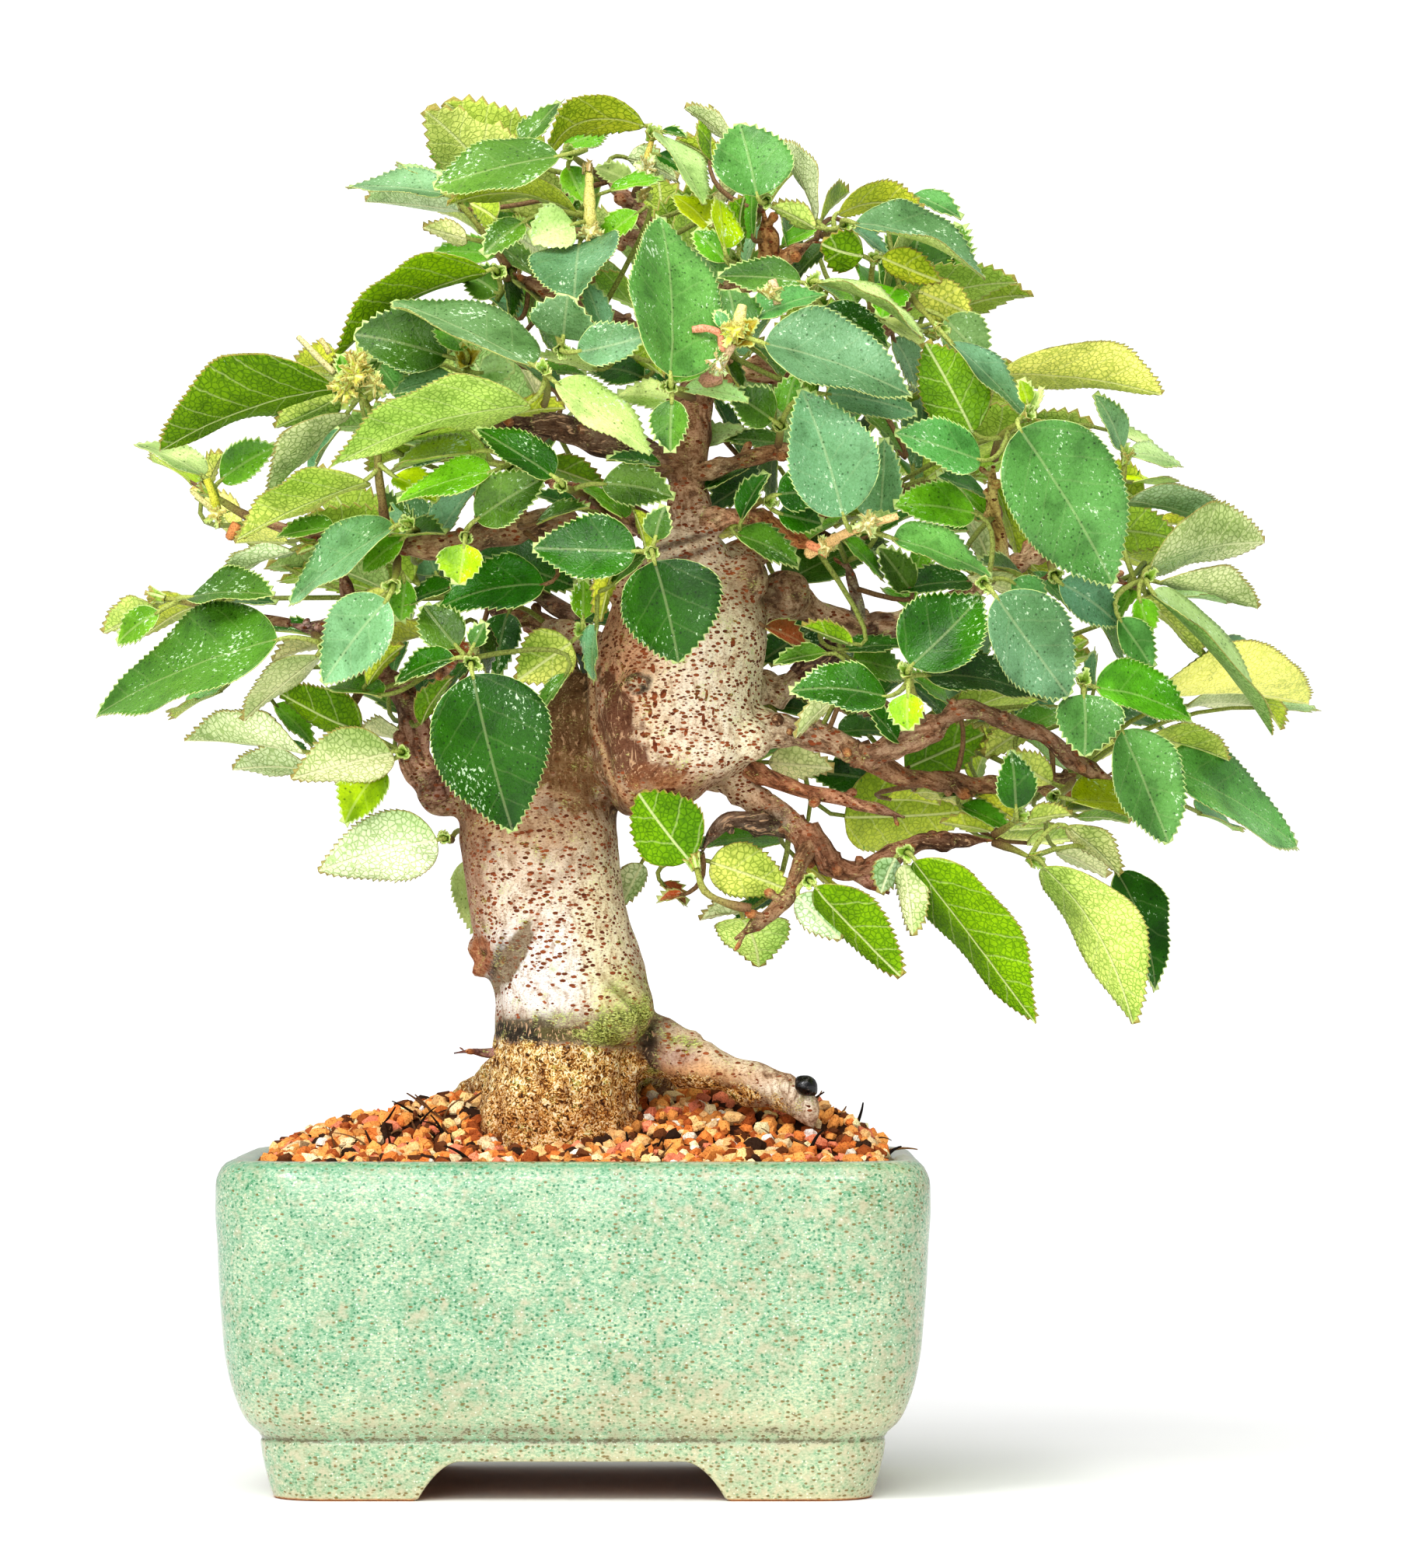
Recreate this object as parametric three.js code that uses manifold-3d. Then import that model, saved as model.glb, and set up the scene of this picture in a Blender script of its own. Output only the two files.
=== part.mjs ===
// A Chinese quince grown as a small bonsai, in a green glazed pot with four cut feet.
// Millimetres, +Z up, the tree's front faces -Y. The base of the finished group stands on z = 0.
import * as THREE from "three";
import { mergeVertices } from "three/addons/utils/BufferGeometryUtils.js";
import Module from "manifold-3d";

const wasm = await Module();
wasm.setup();

// Driving dimensions of the pot
const POT_WIDTH = 120.4;
const POT_DEPTH = 94;
const POT_CORNER = 15;
const POT_FLOOR_TOP = 13;
const FOOT_WALL = 9;
const FOOT_GROUND_INSET = 9.6;
const FOOT_POCKET_HEIGHT = 7.6;
const ARCH_HEIGHT = 6.7;
const FRONT_ARCH_HALF = 26.4;
const SIDE_ARCH_HALF = 17.5;
const DRAIN_RADIUS = 5;
const DRAIN_OFFSET = 24;

// Driving dimensions of the soil
const SOIL_GAP = 0.3;
const SOIL_EDGE_HEIGHT = 56.2;
const SOIL_RISE = 9;
const SOIL_CREST_Y = 8;
const SOIL_GRAIN = 0.9;
const SOIL_SIDES = 32;
const TRUNK_SIDES = 14;

// Driving dimensions of the leaves and shoots
const BLADE_THICKNESS = 0.72;
const STALK_WIDTH = 0.9;
const SHOOT_RADIUS = 0.85;
const LONG_LEAF = 26;
const SHORT_LEAF = 17;
const GOLDEN_SHARE = 0.382;

// The tree was surveyed along the sight lines of one photograph. EYE is where it was taken from,
// and a place is read as photo column, photo row and depth behind (+) or before (-) the pot's middle.
const EYE = new THREE.Vector3(22.7, -1100, 93.2);
const EYE_PITCH = THREE.MathUtils.degToRad(1.45);
const FOCAL_PX = 8148;
const PHOTO_MIDDLE = { column: 910, row: 1008.5 };
const MM_PER_PX = -EYE.y / FOCAL_PX;

// Where the crown's middle is in the photograph, how far it reaches, and the depth of its dome
const CROWN_MIDDLE = { column: 860, row: 480 };
const CROWN_REACH = { columns: 800, rows: 360 };
const DOME_SIDES = 46;
const DOME_TOP = 30;

const COLOURS = {
  glaze: 0x93c9a6,
  soil: 0x8a5a38,
  bark: 0x8d6f5c,
  leafDeep: 0x2f7d2c,
  leafFresh: 0x58a83a,
  leafPale: 0xa9c47a,
};

// The crown is a dome: how much farther back its left, right and upper ends stand than its middle
function domeDepth(column, row) {
  const sideways = (column - CROWN_MIDDLE.column) / CROWN_REACH.columns;
  const upwards = Math.max(0, CROWN_MIDDLE.row - row) / CROWN_REACH.rows;
  return DOME_SIDES * sideways ** 2 + DOME_TOP * upwards ** 1.3;
}

// The place on the sight line of one spot of the photograph, at the given depth within the dome
function sight(column, row, depth) {
  const across = (column - PHOTO_MIDDLE.column) / FOCAL_PX;
  const up = (PHOTO_MIDDLE.row - row) / FOCAL_PX;
  const y = depth + domeDepth(column, row);
  const reach = (y - EYE.y) / (Math.cos(EYE_PITCH) - up * Math.sin(EYE_PITCH));
  return new THREE.Vector3(
    EYE.x + across * reach,
    y,
    EYE.z + reach * (Math.sin(EYE_PITCH) + up * Math.cos(EYE_PITCH)),
  );
}

// A repeatable throw of dice between 0 and 1
function dice(seed) {
  let state = seed;
  return () => {
    state = (state * 1664525 + 1013904223) % 4294967296;
    return state / 4294967296;
  };
}

// Solids and meshes

function geometryOf(points, faces) {
  const geometry = new THREE.BufferGeometry();
  geometry.setAttribute("position", new THREE.Float32BufferAttribute(points.flatMap((p) => p.toArray()), 3));
  geometry.setIndex(faces);
  return geometry;
}

function solidOf(geometry) {
  const bare = geometry.clone();
  bare.deleteAttribute("normal");
  bare.deleteAttribute("uv");
  const merged = mergeVertices(bare, 1e-4);
  return new wasm.Manifold(
    new wasm.Mesh({
      numProp: 3,
      vertProperties: merged.attributes.position.array,
      triVerts: new Uint32Array(merged.index.array),
    }),
  );
}

function meshOf(name, solid, colour, roughness) {
  const result = solid.getMesh();
  const geometry = new THREE.BufferGeometry();
  geometry.setAttribute("position", new THREE.BufferAttribute(new Float32Array(result.vertProperties), 3));
  geometry.setIndex(new THREE.BufferAttribute(new Uint32Array(result.triVerts), 1));
  const material = new THREE.MeshStandardMaterial({ color: colour, roughness, metalness: 0 });
  const mesh = new THREE.Mesh(geometry, material);
  mesh.name = name;
  return mesh;
}

// A closed skin over rings of equal point count, the first and last ring filled by fans.
// Each ring runs anticlockwise when seen from the end that the rings run towards.
function loft(rings) {
  const count = rings[0].length;
  const faces = [];
  for (let r = 0; r + 1 < rings.length; r += 1) {
    for (let i = 0; i < count; i += 1) {
      const next = (i + 1) % count;
      const [a, b] = [r * count + i, r * count + next];
      faces.push(a, b, b + count, a, b + count, a + count);
    }
  }
  const last = (rings.length - 1) * count;
  for (let i = 1; i + 1 < count; i += 1) {
    faces.push(0, i + 1, i, last, last + i, last + i + 1);
  }
  return solidOf(geometryOf(rings.flat(), faces));
}

// A round limb along hand-set places { at, radius }, carried from ring to ring without twist
function limbSolid(places, sides) {
  const rings = [];
  let across = new THREE.Vector3(0.13, 1, 0.21);
  places.forEach(({ at, radius }, i) => {
    const before = places[Math.max(i - 1, 0)].at;
    const after = places[Math.min(i + 1, places.length - 1)].at;
    const along = after.clone().sub(before).normalize();
    across = across.clone().addScaledVector(along, -across.dot(along)).normalize();
    const up = along.clone().cross(across);
    rings.push(
      Array.from({ length: sides }, (_, k) => {
        const turn = (2 * Math.PI * k) / sides;
        return at
          .clone()
          .addScaledVector(across, radius * Math.cos(turn))
          .addScaledVector(up, radius * Math.sin(turn));
      }),
    );
  });
  return loft(rings);
}

// Pot

// Outline of the pot's plan drawn in by an inset, as a rounded rectangle at one height
function potRing(inset, height, cornerSteps) {
  const halfWidth = POT_WIDTH / 2 - inset;
  const halfDepth = POT_DEPTH / 2 - inset;
  const corner = Math.max(POT_CORNER - inset * 0.6, 3);
  const centres = [
    [halfWidth - corner, halfDepth - corner, 0],
    [corner - halfWidth, halfDepth - corner, 1],
    [corner - halfWidth, corner - halfDepth, 2],
    [halfWidth - corner, corner - halfDepth, 3],
  ];
  return centres.flatMap(([x, y, quarter]) =>
    Array.from({ length: cornerSteps + 1 }, (_, k) => {
      const turn = ((quarter + k / cornerSteps) * Math.PI) / 2;
      return new THREE.Vector3(x + corner * Math.cos(turn), y + corner * Math.sin(turn), height);
    }),
  );
}

// Height and inset of the pot wall, from the foot up the outside, over the rim and down the inside
const POT_OUTSIDE = [
  [0, FOOT_GROUND_INSET],
  [3.4, 8.7],
  [7.6, 7.6],
  [9.6, 7.5],
  [10.2, 8.0],
  [10.9, 7.3],
  [12.7, 5.5],
  [17, 3.4],
  [23, 1.9],
  [32, 1.0],
  [42, 0.4],
  [50.3, 0],
  [54.4, 0.4],
  [56.3, 1.6],
];
const POT_RIM = [
  [57, 3.4],
  [56.6, 5.4],
];
const POT_INSIDE = [
  [54.8, 6.5],
  [30, 7.6],
  [17, 10.4],
  [POT_FLOOR_TOP, 14],
];

// A prism of the arch that is cut between two feet, along Y through the whole pot
function archCut(halfSpan, length) {
  const shape = new THREE.Shape();
  shape.moveTo(-halfSpan - 0.5, -1);
  shape.lineTo(-halfSpan, 0);
  shape.quadraticCurveTo(-halfSpan + 4, ARCH_HEIGHT - 0.4, -halfSpan + 7.5, ARCH_HEIGHT);
  shape.lineTo(halfSpan - 7.5, ARCH_HEIGHT);
  shape.quadraticCurveTo(halfSpan - 4, ARCH_HEIGHT - 0.4, halfSpan, 0);
  shape.lineTo(halfSpan + 0.5, -1);
  const prism = new THREE.ExtrudeGeometry(shape, { depth: length, bevelEnabled: false, curveSegments: 4 });
  prism.translate(0, 0, -length / 2);
  prism.rotateX(Math.PI / 2);
  return prism;
}

function potSolid() {
  const profile = [...POT_OUTSIDE, ...POT_RIM, ...POT_INSIDE];
  let pot = loft(profile.map(([height, inset]) => potRing(inset, height, 4)));
  pot = pot.subtract(solidOf(archCut(FRONT_ARCH_HALF, POT_DEPTH * 1.2)));
  pot = pot.subtract(solidOf(archCut(SIDE_ARCH_HALF, POT_WIDTH * 1.2).rotateZ(Math.PI / 2)));
  const pocketInset = FOOT_GROUND_INSET + FOOT_WALL;
  pot = pot.subtract(loft([potRing(pocketInset, -1, 3), potRing(pocketInset, FOOT_POCKET_HEIGHT, 3)]));
  for (const side of [-1, 1]) {
    const drain = new THREE.CylinderGeometry(DRAIN_RADIUS, DRAIN_RADIUS, 20, 14);
    drain.rotateX(Math.PI / 2);
    drain.translate(side * DRAIN_OFFSET, 0, POT_FLOOR_TOP);
    pot = pot.subtract(solidOf(drain));
  }
  return pot;
}

// Soil

// Height of the heaped soil: low at the front rim, a crest behind the trunk, falling to the back
function soilHeight(x, y) {
  const acrossShare = Math.min(Math.abs(x + 1) / 54, 1);
  const frontShare = Math.min(Math.max((y + 41) / (SOIL_CREST_Y + 41), 0), 1);
  const backShare = Math.min(Math.max((y - SOIL_CREST_Y) / 36, 0), 1);
  const depthShape = y < SOIL_CREST_Y ? frontShare ** 1.7 : 1 - backShare ** 2;
  const rightHeap = 1 + 0.25 * Math.max(x, 0) / 54;
  return SOIL_EDGE_HEIGHT + SOIL_RISE * rightHeap * (1 - acrossShare ** 3.2) * depthShape;
}

// The same ring with its points set at even steps round it
function evenRing(ring, count) {
  const loop = new THREE.CurvePath();
  ring.forEach((p, i) => loop.add(new THREE.LineCurve3(p, ring[(i + 1) % ring.length])));
  return loop.getSpacedPoints(count).slice(0, count);
}

function soilSolid() {
  const throwDice = dice(4187);
  const insideWalls = [...POT_INSIDE].reverse();
  const sides = insideWalls.map(([height, inset], i) => {
    const lift = i === 0 ? SOIL_GAP : 0;
    return evenRing(potRing(inset + SOIL_GAP, height + lift, 4), SOIL_SIDES);
  });
  const edge = sides[sides.length - 1];
  const top = [1, 0.86, 0.7, 0.54, 0.38, 0.2].map((share, row) =>
    edge.map((p) => {
      const wander = row === 0 ? 0 : SOIL_GRAIN;
      const x = p.x * share + (throwDice() - 0.5) * wander;
      const y = p.y * share + (throwDice() - 0.5) * wander;
      return new THREE.Vector3(x, y, soilHeight(x, y) + (throwDice() - 0.5) * 2 * wander);
    }),
  );
  return loft([...sides, ...top]);
}

// Trunk

// A stack of level rings for the thick wood, from the row, left column and right column of its outline
// in the photograph, the depth of its middle and half its depth
function trunkRings(rows, sides, swell) {
  return rows.map(([row, left, right, middle, halfDepth], r) => {
    const centre = sight((left + right) / 2, row, middle);
    const halfWidth = ((right - left) / 2) * MM_PER_PX;
    return Array.from({ length: sides }, (_, k) => {
      const turn = (2 * Math.PI * k) / sides;
      const lobe = 1 + 0.035 * Math.sin(3 * turn + r * 0.5) + 0.02 * Math.cos(5 * turn - r * 0.4);
      return new THREE.Vector3(
        centre.x + (halfWidth * lobe + swell) * Math.cos(turn),
        centre.y + (halfDepth * lobe + swell) * Math.sin(turn),
        centre.z,
      );
    });
  });
}

const LOWER_TRUNK = [
  [1520, 604, 836, -5, 17],
  [1465, 612, 824, -5, 16],
  [1420, 622, 817, -5, 15.5],
  [1375, 635, 815, -5, 15],
  [1335, 637, 822, -5, 15],
  [1300, 633, 842, -5, 15],
  [1260, 624, 836, -5, 15],
  [1200, 612, 818, -5, 15],
  [1150, 604, 806, -5, 14.5],
  [1100, 595, 798, -5, 14.5],
  [1060, 589, 792, -5, 14],
  [1020, 587, 792, -4, 13.5],
  [985, 596, 800, -3, 13],
  [945, 630, 815, -2, 12],
  [905, 685, 830, -1, 11],
  [868, 722, 840, 0, 9],
];

const UPPER_BULGE = [
  [1050, 805, 842, -12, 6],
  [1034, 788, 884, -12, 11],
  [1012, 776, 912, -12, 14],
  [985, 766, 964, -12, 16],
  [950, 760, 982, -12, 17],
  [905, 756, 977, -12, 17],
  [865, 760, 980, -12, 16.5],
  [825, 768, 989, -12, 16],
  [785, 782, 988, -12, 14],
  [750, 796, 975, -12, 11.5],
  [720, 814, 945, -12, 8.5],
  [690, 842, 928, -12, 6],
];

// Each limb is a list of photo column, photo row, depth and radius
const SIDE_ROOT = [
  [770, 1345, -4, 6.2],
  [850, 1352, -6, 5.8],
  [900, 1370, -9, 4.6],
  [950, 1388, -12, 3.8],
  [1000, 1402, -15, 3.2],
  [1042, 1418, -18, 2.4],
  [1075, 1445, -19, 1.6],
];
const BACK_ROOTS = [
  [
    [720, 1370, 2, 6.5],
    [650, 1395, 16, 4.8],
    [590, 1425, 26, 3.2],
    [550, 1450, 32, 2],
  ],
  [
    [760, 1370, 4, 6.5],
    [830, 1385, 18, 4.6],
    [880, 1415, 28, 3.2],
    [915, 1445, 33, 2],
  ],
];

const LIMBS = {
  leader: [
    [888, 725, -12, 4.8],
    [884, 680, -12, 3.7],
    [883, 625, -12, 3.3],
    [889, 570, -11, 3.3],
    [897, 520, -9, 3.1],
    [898, 465, -5, 2.7],
    [882, 400, -1, 2.3],
    [860, 345, 1, 2.0],
    [842, 300, 0, 1.9],
    [812, 262, -2, 1.8],
    [783, 233, -4, 1.3],
  ],
  left_arm: [
    [878, 605, -12, 2.9],
    [820, 578, -16, 2.8],
    [755, 562, -20, 2.6],
    [690, 545, -23, 2.3],
    [635, 530, -25, 1.9],
    [590, 512, -26, 1.3],
  ],
  left_low_arm: [
    [862, 700, -14, 2.4],
    [800, 658, -20, 2.0],
    [760, 642, -25, 1.4],
  ],
  left_thick: [
    [812, 765, -14, 3.4],
    [750, 705, -20, 3.2],
    [690, 672, -24, 3.0],
    [640, 682, -27, 2.9],
    [600, 698, -29, 2.7],
    [555, 706, -30, 2.4],
    [515, 700, -31, 2.0],
    [488, 698, -32, 1.5],
  ],
  far_left_twig: [
    [495, 700, -31, 1.3],
    [440, 694, -31, 1.1],
    [380, 684, -32, 0.9],
    [330, 670, -34, 0.8],
  ],
  low_left_arm: [
    [625, 1010, -6, 5.2],
    [572, 1015, -8, 4.4],
    [545, 1000, -10, 3.4],
    [535, 965, -13, 2.7],
    [530, 920, -16, 2.6],
    [512, 882, -19, 2.4],
    [472, 868, -22, 2.2],
    [452, 835, -25, 1.6],
    [452, 795, -28, 1.5],
    [443, 755, -30, 1.3],
    [436, 728, -31, 1.0],
  ],
  low_left_spur: [
    [450, 808, -27, 1.5],
    [425, 806, -30, 1.3],
    [398, 808, -33, 1.1],
    [372, 803, -35, 0.8],
  ],
  bud_twig: [
    [372, 803, -35, 0.8],
    [320, 792, -36, 0.8],
    [272, 781, -37, 0.7],
  ],
  knob: [
    [560, 1010, -10, 3.2],
    [548, 1024, -13, 3.0],
    [540, 1030, -15, 1.9],
  ],
  front_left_twig: [
    [515, 880, -20, 1.7],
    [560, 860, -28, 1.5],
    [590, 850, -35, 1.2],
  ],
  hidden_left_arm: [
    [740, 880, 2, 3.0],
    [725, 850, 6, 2.6],
    [745, 810, 8, 2.0],
    [700, 770, 14, 1.6],
    [650, 740, 20, 1.2],
  ],
  right_arm: [
    [960, 950, -14, 4.4],
    [1005, 938, -21, 3.2],
    [1050, 945, -26, 2.8],
    [1090, 964, -28, 2.7],
    [1122, 976, -30, 2.5],
  ],
  right_arm_upper: [
    [1112, 972, -30, 2.4],
    [1150, 962, -33, 2.2],
    [1190, 940, -35, 2.0],
    [1238, 912, -38, 1.9],
    [1290, 924, -40, 1.7],
    [1340, 946, -42, 1.6],
    [1384, 980, -44, 1.6],
    [1428, 1000, -46, 1.3],
  ],
  right_arm_lower: [
    [1108, 968, -29, 2.1],
    [1160, 998, -27, 1.8],
    [1220, 1006, -25, 1.6],
    [1290, 1008, -24, 1.5],
    [1345, 1004, -24, 1.4],
    [1385, 996, -25, 1.2],
  ],
  drooping_arm: [
    [905, 985, -6, 3.6],
    [945, 1008, -12, 2.6],
    [990, 1040, -18, 2.4],
    [1045, 1083, -24, 2.3],
    [1072, 1112, -26, 2.0],
    [1098, 1122, -27, 1.9],
    [1135, 1103, -28, 1.8],
    [1175, 1085, -29, 1.7],
    [1225, 1080, -30, 1.5],
    [1270, 1080, -31, 1.1],
  ],
  drooping_stub: [
    [1095, 1122, -27, 1.3],
    [1120, 1138, -28, 1.1],
    [1145, 1149, -29, 1.0],
  ],
  drooping_fork: [
    [1040, 1085, -24, 1.9],
    [1026, 1120, -27, 1.5],
    [1012, 1155, -28, 1.4],
    [985, 1180, -29, 1.3],
    [946, 1208, -30, 0.9],
  ],
  knobbly_twig: [
    [1015, 1068, -20, 1.7],
    [975, 1060, -22, 1.7],
    [935, 1055, -23, 1.4],
    [912, 1078, -23, 1.0],
    [903, 1098, -23, 0.8],
  ],
  red_twig: [
    [955, 985, -14, 2.0],
    [1000, 1006, -20, 1.5],
    [1045, 1020, -23, 1.3],
    [1090, 1030, -25, 1.1],
    [1165, 1052, -28, 0.9],
  ],
  shoulder_arm: [
    [960, 770, -8, 4.6],
    [1015, 772, -7, 4.2],
    [1050, 790, -6, 2.8],
    [1105, 803, -5, 2.5],
    [1165, 800, -6, 2.3],
    [1225, 775, -10, 2.0],
    [1290, 735, -18, 1.7],
    [1345, 712, -26, 1.8],
    [1400, 728, -32, 1.4],
    [1450, 752, -36, 1.3],
  ],
  pale_twig: [
    [1290, 735, -18, 1.5],
    [1285, 690, -24, 1.3],
    [1275, 640, -29, 1.1],
    [1278, 600, -33, 1.0],
  ],
  shoulder_brace: [
    [990, 905, 0, 2.6],
    [1030, 865, -1, 2.2],
    [1075, 832, -3, 1.9],
    [1130, 808, -5, 1.6],
  ],
  inner_twig: [
    [1105, 800, -5, 1.2],
    [1100, 765, -9, 1.0],
    [1088, 722, -14, 0.9],
  ],
  orange_arm: [
    [895, 672, -13, 2.0],
    [945, 665, -20, 1.7],
    [985, 674, -25, 1.6],
    [1020, 692, -29, 1.5],
    [1050, 706, -32, 1.4],
  ],
  high_right_arm: [
    [893, 612, -12, 1.9],
    [935, 600, -17, 1.6],
    [985, 585, -22, 1.5],
    [1030, 588, -25, 1.3],
    [1050, 625, -27, 1.0],
  ],
  crown_right_arm: [
    [900, 500, -7, 2.5],
    [950, 480, -8, 2.4],
    [1010, 475, -9, 2.1],
    [1060, 470, -10, 1.8],
    [1120, 440, -11, 1.4],
    [1165, 400, -12, 1.0],
  ],
  crown_front_spur: [
    [898, 500, -9, 2.2],
    [910, 480, -20, 2.1],
    [925, 460, -32, 1.8],
    [935, 448, -40, 1.4],
  ],
  crown_left_arm: [
    [896, 480, -6, 2.2],
    [830, 430, -10, 1.9],
    [765, 400, -13, 1.7],
    [705, 375, -16, 1.4],
    [660, 352, -18, 1.0],
  ],
  crown_top_twig: [
    [885, 408, -1, 2.0],
    [935, 375, -8, 1.8],
    [985, 345, -14, 1.8],
    [988, 300, -20, 1.9],
    [980, 272, -23, 1.4],
  ],
  crown_right_twig: [
    [985, 345, -14, 1.6],
    [1020, 325, -19, 1.3],
    [1050, 308, -23, 1.0],
  ],
  back_left_arm: [
    [880, 700, -6, 3.0],
    [820, 670, 14, 2.4],
    [750, 640, 26, 1.8],
    [700, 615, 32, 1.2],
  ],
  back_left_low: [
    [770, 830, -2, 3.0],
    [700, 805, 14, 2.2],
    [640, 780, 24, 1.6],
    [610, 768, 28, 1.1],
  ],
  back_top_arm: [
    [850, 322, 1, 1.9],
    [815, 305, 6, 1.5],
    [785, 300, 10, 1.1],
  ],
  back_high_arm: [
    [896, 560, -8, 2.6],
    [890, 510, 10, 2.1],
    [880, 460, 24, 1.6],
    [872, 425, 31, 1.1],
  ],
  back_right_top: [
    [1010, 475, -9, 2.1],
    [1050, 445, 4, 1.7],
    [1095, 415, 14, 1.2],
  ],
  back_right_arm: [
    [915, 735, -9, 3.2],
    [1010, 685, 14, 2.5],
    [1085, 650, 26, 1.9],
    [1140, 630, 34, 1.2],
  ],
  back_right_low: [
    [960, 880, -4, 3.2],
    [1040, 890, 16, 2.5],
    [1120, 910, 26, 1.9],
    [1180, 930, 32, 1.2],
  ],
};

function placesOf(rows, swell = 0) {
  return rows.map(([column, row, depth, radius]) => ({
    at: sight(column, row, depth),
    radius: radius + swell,
  }));
}

// A knot or callus: a small lump sunk into the bark
function knotSolid(column, row, depth, radius) {
  const knot = new THREE.IcosahedronGeometry(radius, 0);
  const at = sight(column, row, depth);
  knot.translate(at.x, at.y, at.z);
  return solidOf(knot);
}

const KNOTS = [
  [820, 885, -26.5, 3],
  [622, 1228, -8, 3.2],
  [960, 745, -18, 4.2],
  [1010, 765, -11, 4.6],
  [965, 952, -22, 3.6],
  [800, 1305, -15, 5.5],
  [478, 868, -22, 3.4],
];

function treeSolid() {
  let tree = loft(trunkRings(LOWER_TRUNK, TRUNK_SIDES, 0));
  tree = tree.add(loft(trunkRings(UPPER_BULGE, TRUNK_SIDES, 0)));
  for (const root of [SIDE_ROOT, ...BACK_ROOTS]) {
    tree = tree.add(limbSolid(placesOf(root), 6));
  }
  for (const rows of Object.values(LIMBS)) {
    const sides = rows[0][3] > 2.5 ? 6 : rows[0][3] > 1.6 ? 5 : 4;
    tree = tree.add(limbSolid(placesOf(rows), sides));
  }
  for (const knot of KNOTS) {
    tree = tree.add(knotSolid(...knot));
  }
  return tree;
}

// The plain hole in the soil that the trunk and its roots stand in
function rootHole() {
  let hole = loft(trunkRings(LOWER_TRUNK.slice(0, 6), TRUNK_SIDES, SOIL_GAP + 0.1));
  for (const root of [SIDE_ROOT, ...BACK_ROOTS]) {
    hole = hole.add(limbSolid(placesOf(root, SOIL_GAP + 0.1), 6));
  }
  return hole;
}

// Leaves

// What a leaf shows to the front, and how it stands
const DEEP = { under: false, shape: 0.6, fold: 0.12 };
const SAGE = { under: false, shape: 0.62, fold: 0.12 };
const FRESH = { under: false, shape: 0.58, fold: 0.25 };
const LIME = { under: false, shape: 0.7, fold: 0.3 };
const NETTED = { under: true, shape: 0.56, fold: 0.15 };
const OLIVE = { under: true, shape: 0.56, fold: 0.15 };
const PALE = { under: true, shape: 0.56, fold: 0.15 };

// Half width of a quince blade at a share of its length, 1 at its widest: round base, short sharp tip
function bladeWidth(share) {
  const widest = 0.4;
  const scale = widest ** 0.5 * (1 - widest) ** 0.75;
  return (share ** 0.5 * (1 - share) ** 0.75) / scale;
}

// Shares of the length of the rim points on one side: each tooth is a tip and the notch after it.
// A plain leaf, as on the hidden side, has one tooth.
function rimShares(length, plain) {
  if (plain) {
    return [0.25, 0.68];
  }
  if (length > LONG_LEAF) {
    return [0.14, 0.24, 0.4, 0.5, 0.7, 0.78];
  }
  return length > SHORT_LEAF ? [0.16, 0.42, 0.5, 0.76] : [0.25, 0.68];
}

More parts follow.
